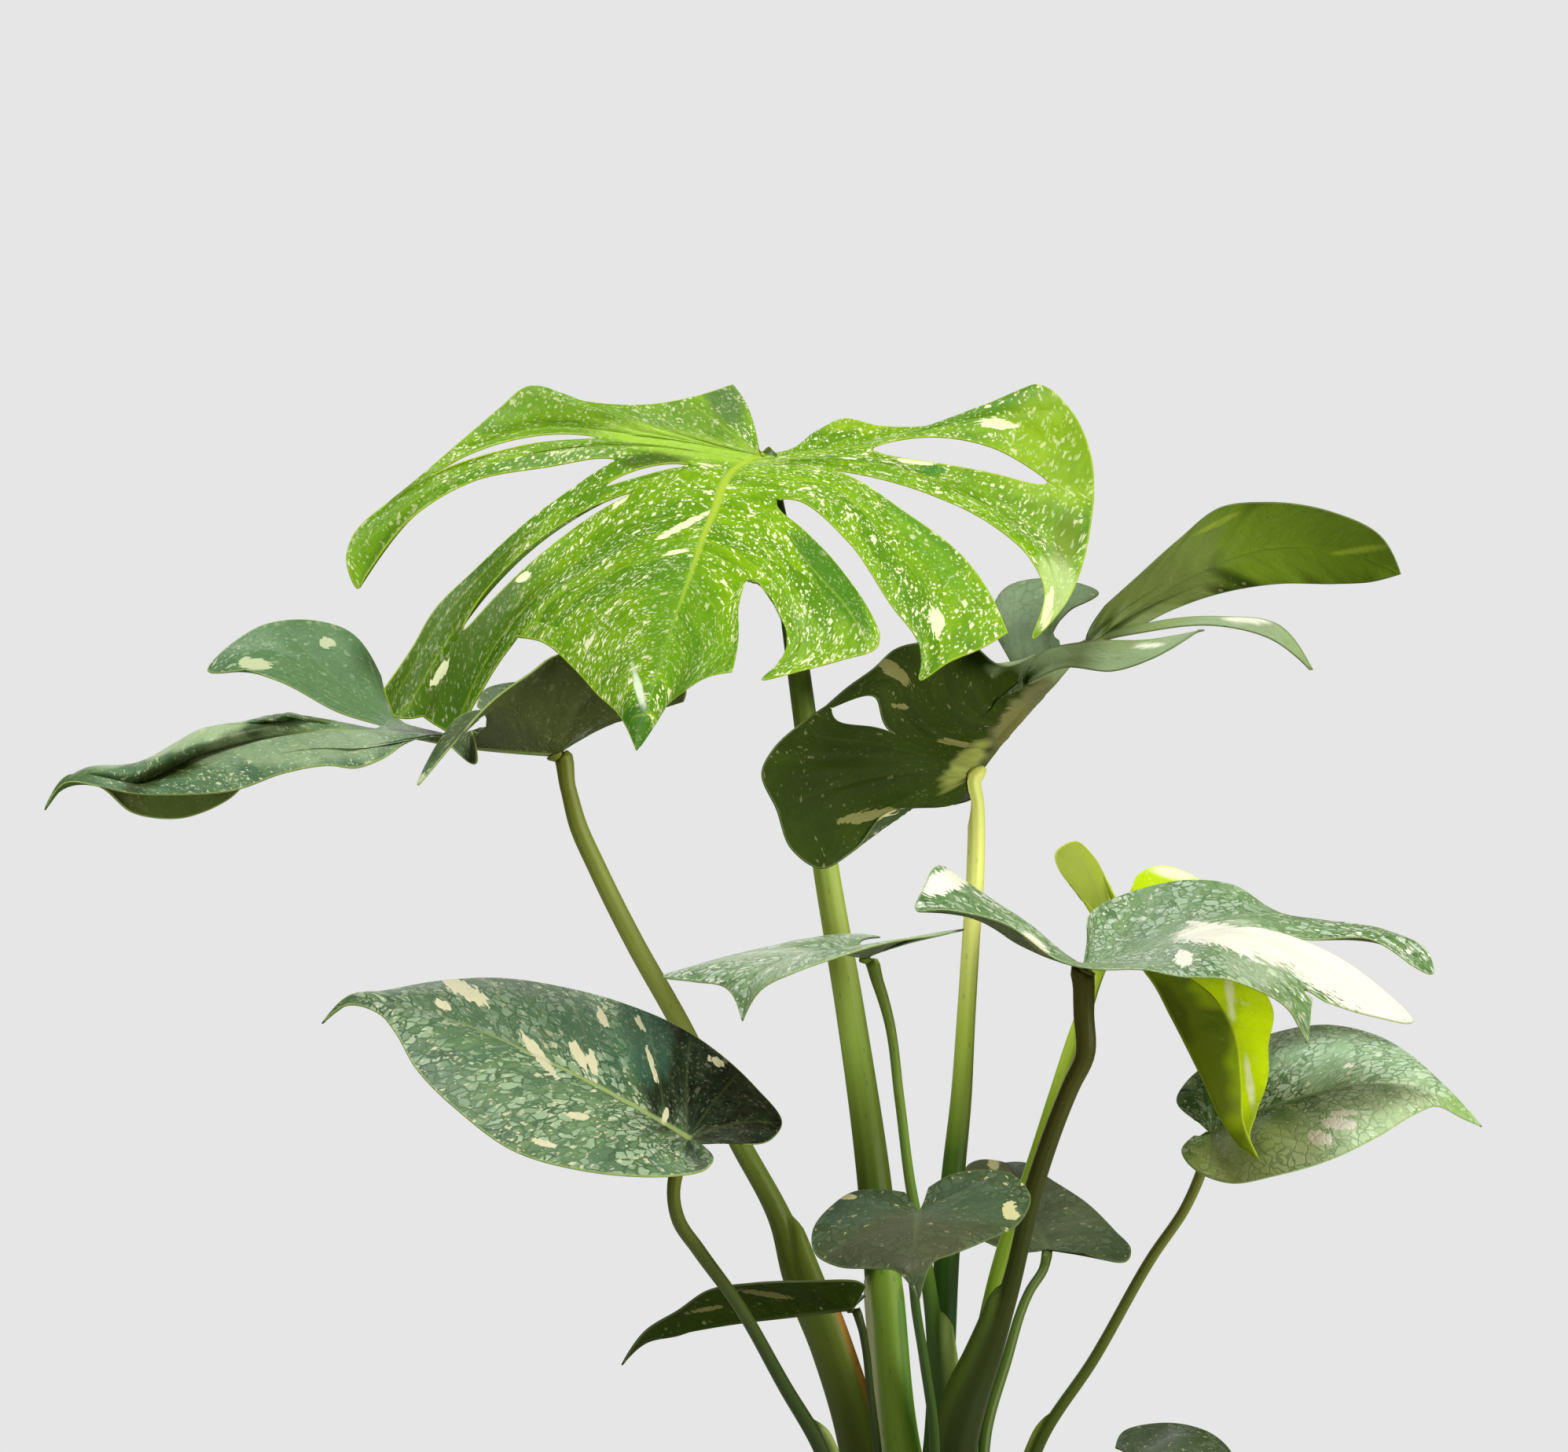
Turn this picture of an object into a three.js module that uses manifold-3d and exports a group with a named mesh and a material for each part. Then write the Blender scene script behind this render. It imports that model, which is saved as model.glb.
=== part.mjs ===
// A potted variegated monstera: twelve leaves on their stalks, standing in potting mix in a plain round
// pot. Millimetres, +Z up. The origin is the middle of the pot's underside. The plant is seen from -Y.
import * as THREE from 'three';
import { mergeVertices } from 'three/addons/utils/BufferGeometryUtils.js';
import Module from 'manifold-3d';

const wasm = await Module();
wasm.setup();

// Pot
const POT_HEIGHT = 175;
const POT_BASE_RADIUS = 74;
const POT_TOP_RADIUS = 100;
const RIM_RADIUS = 105;
const RIM_DEPTH = 24;
const WALL = 6;
const FLOOR = 8;
const POT_SIDES = 40;
const POT_EDGE = 2;
const RIM_EDGE = 1;
const RIM_FLARE = 0.8;

// Potting mix
const SOIL_LEVEL = 160;
const SOIL_SIDES = 30;
const STALK_FOOT = 136;
const HOLE_SIDES = 10;
const HOLE_DEPTH = 60;
const GAP = 0.3;
const SOIL_EDGE = 3;
const SOIL_DOME = 1.5;
const SOIL_RIPPLE = { height: 0.9, x: 9, y: 11 };

// Two shares nearer than this are the same one.
const TINY = 1e-6;

// Leaves
const BLADE_THICKNESS = 0.9;
const RIB_HEIGHT = { large: 1.1, middle: 0.9, small: 0.5 };
const VEIN_SHARES = {
  large: [0, 0.07, 0.18, 0.3, 0.43, 0.56, 0.7, 0.85, 1],
  middle: [0, 0.1, 0.25, 0.42, 0.6, 0.8, 1],
  small: [0, 0.15, 0.4, 0.7, 1],
};
const RIB_STEP = 0.25;

// A cut opens round, over this share of its vein, and is this much narrower at the leaf's edge.
const CUT_ROUND = 0.09;
const CUT_NARROWING = 0.8;

// A cut or a joint reshapes this share of the lobe beside it.
const REACH_OF_CUT = 0.6;

// Stalks
const STALK_SIDES = 7;
const STALK_STEP = 36;
const STRAIGHT_FOOT = 30;
const TOP_SWELL = 1.05;

// The space that a stalk leaves over it for its blade, and how far below the rib that space starts.
const ROOM = 13;
const SEAT_GAP = { large: 1.3, middle: 0.4, small: 0.3 };

// Colours
const POT_COLOUR = 0xd9d4ca;
const MIX_COLOUR = 0x3a2a1e;
const STALK_COLOUR = 0x6f9a35;
const OLD_GREEN = 0x5f8a63;
const BLADE_COLOURS = { crown: 0x7fb32e, unfurling: 0xa9cc12 };

// Places on the plant are given as [x, z, depth], the way somebody sees them from in front of it: x and z
// on the upright plane through the pot's axis, and how far the point lies behind that plane, along the line
// from the viewer's eye.
const VIEWER = new THREE.Vector3(-65, -1507, 528);

function place([x, z, depth]) {
  const reach = 1 - depth / VIEWER.y;
  return new THREE.Vector3(VIEWER.x + (x - VIEWER.x) * reach, depth, VIEWER.z + (z - VIEWER.z) * reach);
}

// A leaf has a joint, where its stalk ends, a rib that runs from there to the tip, and veins on the left
// and on the right of it. A vein is [share of the rib where it starts, places that it passes, place on the
// leaf's edge]. ['cut', start, width] after a vein is an open slit that begins at that share of the vein,
// and ['hole', start, end, width, lean] is a slit that closes again, which may lean to one side. up is the way
// that the upper face looks, and arch is how high a vein that has no places on its way rises, as a share of
// its length.
const LEAVES = {
  crown: {
    joint: [-75, 638, 50],
    rib: [[-83, 634, 44], [-94, 614, 14], [-104, 587, -32], [-111, 567, -62], [-125, 518, -100]],
    up: [-0.1, -0.75, 0.65], arch: 0.06, detail: 'large',
    left: [
      [0, [-77, 649, 56], [-81, 660, 62], [-86, 667, 66]],
      [0, [-84, 650, 56], [-98, 663, 66]],
      [0, [-98, 647, 58], [-118, 659, 70]],
      [0, [-112, 648, 62], [-146, 660, 74]],
      [0, [-125, 650, 65], [-170, 666, 76]],
      [0, [-130, 649, 66], [-180, 658, 74]],
      [0, [-134, 648, 66], [-168, 650, 71], [-194, 646, 68]],
      [0, [-130, 646, 65], [-170, 646, 69], [-209, 633, 62]],
      [0.03, [-128, 644, 62], [-160, 645, 65], [-195, 637, 62], [-226, 619, 54]],
      ['hole', 0.42, 0.86, 9],
      [0.03, [-128, 643, 61], [-160, 642, 63], [-204, 629, 60], [-241, 604, 48]],
      [0.035, [-128, 642, 61], [-160, 640, 62], [-202, 628, 59], [-243, 595, 44]],
      [0.04, [-128, 641, 60], [-160, 638, 61], [-200, 626, 58], [-238, 584, 42]],
      [0.06, [-128, 638, 57], [-160, 633, 58], [-192, 627, 56], [-216, 613, 50], [-236, 588, 42]],
      ['cut', 0.29, 1.2],
      [0.06, [-131, 636, 56], [-160, 619, 46], [-192, 591, 28], [-207, 576, 18], [-217, 559, 9],
        [-228, 543, 0]],
      [0.1, [-104, 634, 45], [-130, 629, 46], [-162, 609, 36], [-192, 581, 20], [-224, 532, -2]],
      ['hole', 0.1, 0.29, 3],
      [0.12, [-104, 631, 40], [-130, 624, 40], [-162, 605, 30], [-192, 575, 14], [-219, 531, -3]],
      [0.15, [-112, 627, 34], [-129, 622, 36], [-163, 602, 26], [-195, 568, 8], [-212, 532, -4]],
      ['hole', 0.22, 0.77, 4],
      [0.2, [-115, 619, 24], [-150, 600, 20], [-186, 565, 6], [-206, 528, -4]],
      [0.25, [-120, 611, 15], [-150, 594, 12], [-182, 562, 2], [-199, 525, -6]],
      [0.3, [-125, 603, 5], [-150, 588, 6], [-178, 565, 0], [-186, 546, -6], [-193, 534, -8]],
      ['cut', 0.84, 0.5],
      [0.3, [-125, 603, 4], [-150, 588, 0], [-173, 564, -14]],
      [0.42, [-125, 592, -14], [-163, 562, -28]],
      [0.55, [-128, 578, -36], [-151, 552, -46]],
      [0.7, [-128, 560, -58], [-141, 541, -66]],
      [0.86, [-126, 541, -82], [-131, 531, -86]],
    ],
    right: [
      [0, [-64, 640, 54], [-58, 642, 60], [-53, 646, 66]],
      [0, [-60, 639, 55], [-50, 648, 68], [-41, 653, 74]],
      [0, [-55, 639, 56], [-26, 650, 74]],
      [0, [-40, 641, 60], [-6, 650, 74]],
      [0, [-30, 643, 62], [22, 657, 72]],
      [0, [-20, 645, 63], [38, 667, 68]],
      [0, [-20, 644, 62], [20, 652, 64], [52, 656, 60]],
      [0, [-22, 643, 61], [18, 646, 62], [60, 637, 54]],
      [0.02, [-23, 641, 59], [0, 640, 60], [20, 636, 57], [40, 628, 53], [61, 621, 48]],
      ['hole', 0.35, 0.86, 6.5],
      [0.03, [-23, 638, 58], [20, 627, 54], [60, 612, 42]],
      [0.035, [-23, 636, 57], [20, 622, 52], [57, 596, 36]],
      [0.04, [-22, 634, 56], [19, 617, 50], [44, 597, 38], [49, 577, 26]],
      [0.045, [-22, 631, 55], [19, 613, 48], [41, 593, 36], [43, 578, 25], [36, 564, 18]],
      [0.05, [-40, 631, 53], [-6, 622, 50], [19, 610, 44], [35, 596, 35], [41, 582, 26], [39, 572, 20]],
      ['cut', 0.24, 1.2],
      [0.05, [-40, 631, 52], [-16, 616, 40], [10, 595, 22], [19, 582, 12], [26, 566, 0]],
      [0.07, [-40, 627, 48], [-18, 609, 34], [2, 588, 16], [16, 560, -5]],
      [0.09, [-42, 624, 44], [-22, 604, 28], [-4, 580, 8], [2, 554, -10]],
      [0.11, [-46, 621, 40], [-28, 600, 22], [-9, 574, 2], [-7, 555, -12], [-10, 547, -16]],
      [0.14, [-61, 620, 37], [-40, 603, 22], [-21, 576, 2], [-11, 563, -7], [-8, 555, -12]],
      ['cut', 0.2, 1.5],
      [0.14, [-70, 618, 34], [-48, 600, 17], [-37, 586, 5], [-29, 573, -8], [-26, 566, -14]],
      [0.2, [-70, 611, 24], [-48, 590, 6], [-36, 576, -8], [-27, 560, -19]],
      [0.26, [-72, 603, 14], [-55, 586, 0], [-44, 570, -14], [-41, 555, -23]],
      [0.32, [-75, 597, 4], [-62, 582, -6], [-54, 566, -18], [-56, 551, -28]],
      [0.38, [-80, 592, -4], [-67, 575, -13], [-62, 560, -21], [-74, 547, -33]],
      [0.4, [-82, 591, -7], [-69, 576, -13], [-64, 564, -19], [-64, 554, -25]],
      ['cut', 0.35, 1.5],
      [0.4, [-83, 589, -10], [-83, 574, -22], [-83, 565, -28], [-86, 550, -42]],
      [0.5, [-93, 574, -30], [-90, 556, -42], [-96, 548, -52]],
      [0.65, [-102, 560, -54], [-106, 542, -65]],
      [0.8, [-111, 541, -78], [-116, 533, -82]],
      [0.92, [-118, 529, -90], [-121, 525, -92]],
    ],
  },
  left_mid: {
    joint: [-157, 517, 10],
    rib: [[-192, 520, -2], [-230, 526, -10], [-262, 525, -14], [-300, 517, -18], [-333, 504, -20],
      [-352, 508, -22], [-366, 494, -24]],
    up: [0, -0.25, 1], arch: 0.05, detail: 'middle',
    left: [
      [0, [-150, 524, 4], [-128, 531, -6], [-106, 538, -14]],
      [0, [-148, 525, 0], [-128, 535, -12], [-105, 543, -18]],
      [0, [-150, 527, -4], [-135, 539, -18], [-112, 548, -24]],
      [0, [-152, 529, -8], [-141, 543, -20], [-126, 550, -25]],
      [0, [-155, 530, -12], [-149, 544, -24], [-141, 553, -27]],
      [0, [-160, 530, -14], [-157, 546, -27], [-156, 557, -33]],
      [0.03, [-166, 529, -20], [-168, 541, -36], [-169, 549, -46]],
      [0.06, [-172, 528, -24], [-178, 536, -46], [-184, 538, -62]],
      [0.09, [-176, 527, -26], [-184, 534, -50], [-192, 529, -68], [-202, 518, -76]],
      [0.12, [-180, 527, -26], [-188, 533, -50], [-196, 528, -66], [-214, 504, -80]],
      [0.15, [-184, 526, -26], [-190, 534, -48], [-198, 531, -62], [-208, 517, -72]],
      ['cut', 0.45, 1],
      [0.18, [-188, 524, -24], [-192, 526, -46], [-191, 521, -60]],
      [0.22, [-194, 524, -24], [-195, 523, -44], [-190, 514, -62]],
      [0.26, [-200, 524, -22], [-201, 525, -40], [-203, 522, -46]],
      ['cut', 0.6, 0.6],
      [0.3, [-212, 524, -20], [-220, 521, -30]],
      [0.36, [-230, 514, -40]],
      [0.42, [-239, 511, -42]],
      [0.5, [-250, 512, -42]],
      [0.6, [-268, 509, -42]],
      [0.72, [-288, 502, -40]],
      [0.82, [-310, 500, -34]],
      [0.9, [-333, 501, -28]],
      [0.95, [-346, 504, -26]],
      [0.98, [-357, 505, -25]],
    ],
    right: [
      [0, [-148, 523, 20], [-138, 530, 40]],
      [0, [-140, 528, 40], [-122, 536, 70]],
      [0, [-146, 530, 50], [-138, 541, 88]],
      [0, [-156, 528, 50], [-160, 546, 94]],
      [0.05, [-170, 528, 46], [-184, 544, 90]],
      [0.1, [-176, 525, 34], [-190, 536, 66]],
      ['cut', 0.3, 1],
      [0.16, [-206, 524, 20], [-222, 530, 46], [-229, 548, 70]],
      [0.2, [-212, 525, 20], [-228, 537, 48], [-243, 567, 80]],
      [0.24, [-216, 526, 20], [-236, 541, 52], [-258, 571, 82]],
      [0.28, [-220, 527, 20], [-244, 542, 52], [-277, 569, 76]],
      [0.32, [-222, 527, 18], [-248, 540, 48], [-276, 556, 64], [-299, 550, 60]],
      [0.34, [-226, 527, 14], [-248, 534, 38], [-270, 546, 50], [-284, 551, 54]],
      ['cut', 0.28, 1],
      [0.36, [-240, 526, 0], [-254, 529, 8]],
      [0.46, [-262, 530, 6]],
      [0.56, [-282, 531, 8]],
      [0.64, [-298, 526, 8], [-300, 515, 22], [-287, 503.5, 30]],
      [0.74, [-314, 520, 6], [-316, 508, 20], [-308, 491, 26]],
      [0.84, [-334, 513, 0], [-334, 502, 12], [-328, 492, 16]],
      [0.92, [-348, 510, -10], [-343, 503, -4]],
      [0.96, [-356, 508, -16]],
    ],
  },
  right_mid: {
    joint: [12, 507, 42],
    rib: [[26, 525, 62], [42, 543, 80], [59, 562, 96], [76, 575, 106], [96, 587, 112], [128, 600, 114],
      [160, 600, 112], [186, 590, 104]],
    up: [-0.5, 0.55, 0.65], arch: 0.05, detail: 'middle',
    left: [
      [0, [8, 499, 36], [-10, 495, 22]],
      [0, [-4, 498, 26], [-24, 492, 8]],
      [0, [-10, 499, 22], [-37, 477, -6]],
      [0, [-14, 503, 22], [-40, 492, 2], [-50, 470, -10]],
      [0, [-16, 506, 22], [-46, 497, 0], [-62, 478, -12]],
      [0, [-16, 509, 22], [-46, 503, 0], [-68, 494, -12]],
      [0, [-16, 511, 22], [-46, 510, 0], [-74, 509, -12]],
      [0, [-14, 514, 24], [-44, 516, 4], [-69, 519, -8]],
      [0.02, [-12, 517, 26], [-36, 523, 8], [-58, 529, -4]],
      [0.05, [-12, 521, 28], [-31, 530, 14], [-48, 536, 4]],
      ['hole', 0.58, 0.97, 10, 0.4],
      [0.07, [-10, 525, 32], [-26, 537, 18], [-40, 543, 8]],
      [0.09, [-4, 526, 36], [-18, 543, 24], [-29, 551, 16]],
      [0.12, [0, 530, 42], [-12, 550, 30], [-20, 559, 24]],
      [0.15, [6, 533, 48], [-4, 553, 38], [-8, 562, 34]],
      [0.18, [14, 537, 54], [8, 553, 46], [10, 562, 38]],
      [0.2, [19, 540, 58], [16, 552, 50], [22, 553, 36]],
      [0.22, [31, 546, 62], [33, 553, 55], [37, 557, 49]],
      ['cut', 0.3, 0.3],
      [0.24, [28, 548, 61.5], [38, 557, 54.5], [58, 562, 50], [83, 563, 42], [106, 567, 38]],
      [0.27, [36, 547, 66], [50, 553, 54], [70, 551, 44], [86, 556, 36], [104, 567, 34]],
      ['cut', 0.12, 0.6],
      [0.31, [60, 561, 84], [80, 568, 78], [112, 572, 70], [136, 569, 64], [150, 551, 58]],
      [0.34, [64, 563, 86], [82, 567, 78], [112, 569, 68], [134, 563, 62], [149, 551, 57]],
      ['cut', 0.1, 0.8],
      [0.36, [66, 577, 98]],
      [0.4, [77, 587, 99]],
      [0.5, [96, 604, 96]],
      [0.58, [113, 617, 90]],
      [0.68, [131, 619, 88]],
      [0.8, [158, 615, 90]],
      [0.92, [178, 605, 96]],
    ],
    right: [
      [0, [13, 500, 60], [4, 496, 84]],
      [0, [14, 505, 74], [-6, 508, 118]],
      [0, [10, 515, 86], [-12, 528, 130]],
      [0.04, [14, 524, 96], [-6, 546, 136]],
      [0.08, [18, 532, 100], [8, 560, 138]],
      ['cut', 0.45, 1.5],
      [0.12, [30, 544, 106], [18, 570, 134]],
      [0.16, [34, 552, 110], [25, 584, 140]],
      [0.2, [40, 556, 112], [40, 588, 144]],
      [0.24, [44, 560, 110], [50, 582, 134], [63, 582, 136]],
      [0.27, [44, 560, 108], [47, 570, 122], [52, 576, 126]],
      ['cut', 0.5, 1],
      [0.32, [60, 562, 102]],
      [0.37, [78, 568, 108]],
      [0.48, [92, 575, 116]],
      [0.58, [112, 582, 122]],
      [0.7, [136, 586, 124]],
      [0.82, [160, 586, 120]],
      [0.92, [175, 587, 110]],
    ],
  },
  right_low: {
    joint: [57, 430, -50],
    rib: [[80, 436, -64], [112, 440, -84], [128, 431, -94], [141, 418, -100], [148, 399, -102]],
    up: [0, -0.1, 1], arch: 0.04, detail: 'middle',
    left: [
      [0, [48, 436, -40], [36, 446, -34], [18, 458, -28], [5, 467, -24]],
      [0, [48, 435, -46], [34, 444, -46], [16, 456, -44], [-2, 471, -38]],
      [0, [46, 434, -54], [30, 441, -60], [14, 451, -62], [-8, 462, -60]],
      [0, [46, 433, -60], [30, 440, -70], [12, 450, -76], [-11, 453, -78]],
      [0, [48, 432, -66], [32, 439, -80], [16, 449, -90], [2, 453, -94]],
      [0, [52, 431, -72], [38, 438, -92], [26, 447, -104]],
      [0, [56, 431, -80], [46, 433, -108]],
      [0.08, [64, 431, -88], [62, 429, -122]],
      [0.2, [78, 431, -96], [80, 429, -128]],
      [0.34, [96, 434, -108], [97, 426, -136]],
      [0.48, [112, 434, -116], [115, 425, -138]],
      [0.62, [122, 428, -116], [129, 420, -132]],
      [0.8, [140, 413, -120]],
      [0.92, [146, 403, -108]],
    ],
    right: [
      [0, [58, 436, -40], [59, 442, -26]],
      [0, [59, 438, -32], [59, 450, -10]],
      [0, [62, 440, -24], [66, 456, 8]],
      [0.05, [74, 442, -20], [82, 462, 14]],
      [0.12, [88, 445, -24], [99, 465, 12]],
      [0.18, [100, 448, -26], [118, 463, 6]],
      [0.22, [112, 450, -28], [134, 453, 0]],
      [0.26, [116, 449, -32], [150, 449, -6], [182, 444, -10]],
      [0.29, [118, 448, -36], [150, 446, -16], [182, 442, -20], [197, 436, -22]],
      [0.31, [120, 446, -40], [150, 442, -24], [180, 439, -28], [199, 427, -30]],
      [0.33, [122, 445, -44], [150, 441, -32], [174, 441, -34], [190, 431, -34]],
      ['cut', 0.3, 0.6],
      [0.38, [122, 446, -58], [138, 443, -52], [160, 434, -54], [184, 416, -60]],
      [0.44, [124, 443, -68], [150, 430, -68], [191, 408, -68]],
      [0.5, [124, 440, -76], [150, 424, -80], [174, 410, -80]],
      [0.58, [128, 436, -86], [144, 423, -88], [155, 416, -90]],
      ['cut', 0.8, 0.6],
      [0.7, [140, 424, -92], [150, 417, -92]],
      [0.85, [149, 408, -98]],
    ],
  },
  left_low: {
    joint: [-104, 360, -70],
    rib: [[-141, 381, -74], [-163, 392, -74], [-192, 405, -72], [-225, 415, -68], [-240, 416, -66],
      [-253, 407, -66]],
    up: [0, -0.6, 0.8], arch: 0.09, detail: 'small',
    left: [
      [0, [-99, 357, -74], [-96, 355, -76]],
      [0, [-98, 356, -80], [-94, 351, -90]],
      [0, [-102, 353, -84], [-98, 347, -102]],
      [0, [-112, 354, -92], [-108, 345, -112]],
      [0.06, [-147, 347, -118]],
      [0.2, [-175, 355, -116]],
      [0.36, [-196, 370, -108]],
      [0.55, [-215, 389, -96]],
      [0.72, [-223, 403, -86]],
      [0.84, [-230, 411, -76]],
      [0.93, [-244, 414, -68]],
    ],
    right: [
      [0, [-99, 358, -66], [-94, 360, -60]],
      [0, [-88, 362, -56], [-70, 360, -42]],
      [0, [-86, 366, -54], [-66, 366, -34]],
      [0, [-92, 371, -52], [-77, 381, -24]],
      [0, [-104, 380, -48], [-102, 402, -18]],
      [0.1, [-134, 416, -16]],
      [0.28, [-158, 422, -20]],
      [0.45, [-179, 425, -28]],
      [0.62, [-205, 424, -40]],
      [0.78, [-228, 420, -54]],
      [0.9, [-242, 418, -62]],
    ],
  },
  centre_small: {
    joint: [-31, 434, -56],
    rib: [[-50, 436, -76], [-66, 432, -94], [-78, 424, -108], [-82, 408, -116]],
    up: [0, -0.2, 1], arch: 0.04, detail: 'small',
    left: [
      [0, [-23, 437, -66], [-14, 440, -78]],
      [0, [-18, 440, -72], [8, 445, -84]],
      [0, [-20, 440, -80], [-2, 443, -98]],
      [0.05, [-28, 439, -86], [-22, 440, -108]],
      [0.25, [-46, 433, -118]],
      [0.5, [-60, 428, -124]],
      [0.75, [-74, 421, -122]],
    ],
    right: [
      [0, [-34, 440, -46], [-26, 442, -36]],
      [0, [-42, 441, -42], [-38, 443, -18]],
      [0, [-50, 440, -48], [-60, 440, -20]],
      [0.1, [-84, 435, -36]],
      [0.28, [-102, 430, -54]],
      [0.44, [-114, 426, -70]],
      [0.62, [-102, 424, -88]],
      [0.8, [-88, 421, -102]],
    ],
  },
  centre_front: {
    joint: [-10, 330, -92],
    rib: [[-11, 326, -108], [-12, 318, -124], [-13, 306, -136], [-10, 294, -138]],
    up: [0, -0.75, 0.65], arch: 0.07, detail: 'small',
    left: [
      [0, [-13, 334, -86], [-16, 338, -82]],
      [0, [-19, 334, -86], [-25, 339, -78]],
      [0, [-24, 332, -90], [-37, 338, -80]],
      [0.03, [-46, 332, -86]],
      [0.12, [-53, 323, -96]],
      [0.25, [-52, 313, -108]],
      [0.42, [-43, 308, -118]],
      [0.62, [-29, 307, -128]],
      [0.8, [-19, 306, -134]],
      [0.92, [-14, 301, -137]],
    ],
    right: [
      [0, [-8, 334, -86], [-6, 340, -80]],
      [0, [-3, 335, -86], [3, 345, -76]],
      [0, [4, 335, -88], [16, 347, -76]],
      [0.02, [28, 345, -80]],
      [0.1, [35, 337, -88]],
      [0.22, [31, 326, -100]],
      [0.4, [16, 318, -114]],
      [0.6, [4, 313, -126]],
      [0.78, [-5, 309, -133]],
      [0.92, [-8, 302, -137]],
    ],
  },
  right_heart: {
    joint: [109, 362, -36],
    rib: [[141, 375, -40], [173, 382, -42], [195, 380, -44], [208, 373, -48], [219, 365, -54]],
    up: [0, -0.65, 0.75], arch: 0.09, detail: 'small',
    left: [
      [0, [106, 361, -40], [102, 361, -44]],
      [0, [104, 358, -46], [97, 355, -54]],
      [0, [106, 354, -52], [103, 347, -66]],
      [0, [112, 353, -56], [117, 342, -76]],
      [0.1, [135, 345, -82]],
      [0.28, [156, 351, -82]],
      [0.48, [177, 361, -76]],
      [0.66, [192, 370, -66]],
      [0.8, [202, 373, -56]],
      [0.92, [212, 368, -54]],
    ],
    right: [
      [0, [106, 365, -32], [102, 368, -28]],
      [0, [103, 369, -28], [95, 375, -18]],
      [0, [105, 374, -24], [99, 383, -8]],
      [0, [112, 378, -20], [112, 393, 0]],
      [0.08, [132, 402, 2]],
      [0.24, [157, 406, -2]],
      [0.42, [178, 401, -10]],
      [0.58, [191, 393, -20]],
      [0.74, [200, 385, -32]],
      [0.88, [211, 374, -46]],
    ],
  },
  back_right: {
    joint: [42, 315, 54],
    rib: [[38, 324, 72], [33, 335, 92], [29, 345, 112], [25, 350, 130]],
    up: [0, 0.5, 0.85], arch: 0.06, detail: 'small',
    left: [
      [0, [36, 314, 46], [28, 314, 38]],
      [0, [28, 317, 46], [14, 320, 36]],
      [0, [24, 322, 54], [6, 330, 48]],
      [0.1, [7, 341, 66]],
      [0.3, [9, 348, 84]],
      [0.55, [14, 351, 104]],
      [0.8, [20, 351, 120]],
    ],
    right: [
      [0, [48, 314, 48], [58, 313, 40]],
      [0, [54, 314, 48], [74, 310, 40]],
      [0, [56, 317, 54], [76, 315, 50]],
      [0.08, [70, 322, 64]],
      [0.28, [59, 333, 82]],
      [0.52, [44, 343, 102]],
      [0.78, [33, 350, 120]],
    ],
  },
  left_back: {
    joint: [-37, 291, -26],
    rib: [[-62, 288, -25], [-86, 285, -24], [-108, 281, -24], [-122, 278, -26], [-131, 268, -30]],
    up: [0, 0.2, 1], arch: 0.05, detail: 'small',
    left: [
      [0, [-34, 296, -31], [-32, 300, -36]],
      [0, [-38, 297, -36], [-36, 302, -46]],
      [0, [-48, 297, -40], [-54, 302, -50]],
      [0.2, [-78, 301, -49]],
      [0.42, [-96, 298, -44]],
      [0.64, [-108, 290, -38]],
      [0.82, [-122, 281, -32]],
    ],
    right: [
      [0, [-35, 293, -20], [-32, 296, -14]],
      [0, [-38, 294, -14], [-37, 296, -5]],
      [0, [-46, 293, -12], [-52, 295, -1]],
      [0.2, [-76, 291, 0]],
      [0.42, [-94, 285, -4]],
      [0.64, [-108, 280, -12]],
      [0.82, [-121, 277, -20]],
    ],
  },
  low_front: {
    joint: [76, 228, -62],
    rib: [[90, 228, -78], [104, 222, -92], [112, 210, -102]],
    up: [0, -0.3, 1], arch: 0.08, detail: 'small',
    left: [
      [0, [72, 227, -68], [68, 226, -74]],
      [0, [70, 224, -76], [62, 220, -86]],
      [0, [74, 222, -82], [68, 214, -98]],
      [0.2, [82, 212, -106]],
      [0.5, [96, 209, -110]],
      [0.8, [107, 208, -108]],
    ],
    right: [
      [0, [74, 232, -54], [70, 234, -46]],
      [0, [78, 235, -48], [74, 241, -34]],
      [0, [86, 237, -48], [90, 244, -34]],
      [0.2, [106, 241, -44]],
      [0.5, [117, 232, -62]],
      [0.8, [116, 219, -86]],
    ],
  },
  unfurling: {
    joint: [66, 434, 24],
    rib: [[75, 435, 15], [84, 426, 2], [93, 410, -16], [105, 386, -42], [115, 365, -66], [121, 357, -77],
      [128, 352, -84]],
    up: [0.9, -0.35, 0.3], arch: 0.04, detail: 'small',
    left: [
      [0, [65, 442, 26], [62, 452, 30]],
      [0, [64, 450, 30], [56, 466, 36], [47, 478, 42]],
      [0, [66, 452, 30], [60, 470, 38], [54, 481, 44]],
      [0, [68, 452, 30], [64, 468, 38], [60, 476, 42]],
      [0, [70, 450, 28], [67, 462, 34], [65, 468, 38]],
      [0, [72, 445, 22], [72, 453, 24], [70, 458, 28]],
      [0.06, [82, 440, 6], [88, 436, 0]],
      [0.2, [98, 427, -26]],
      [0.36, [111, 416, -46]],
      [0.52, [119, 400, -60]],
      [0.68, [121, 382, -70]],
      [0.84, [122, 366, -80]],
    ],
    right: [
      [0, [69, 438, 32], [76, 450, 44]],
      [0, [73, 444, 38], [80, 468, 54]],
      [0, [78, 448, 40], [88, 471, 58]],
      [0, [84, 446, 38], [106, 464, 54]],
      [0.06, [96, 436, 26], [116, 448, 42]],
      [0.16, [124, 430, 22]],
      [0.3, [134, 412, 4]],
      [0.46, [132, 398, -12]],
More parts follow.
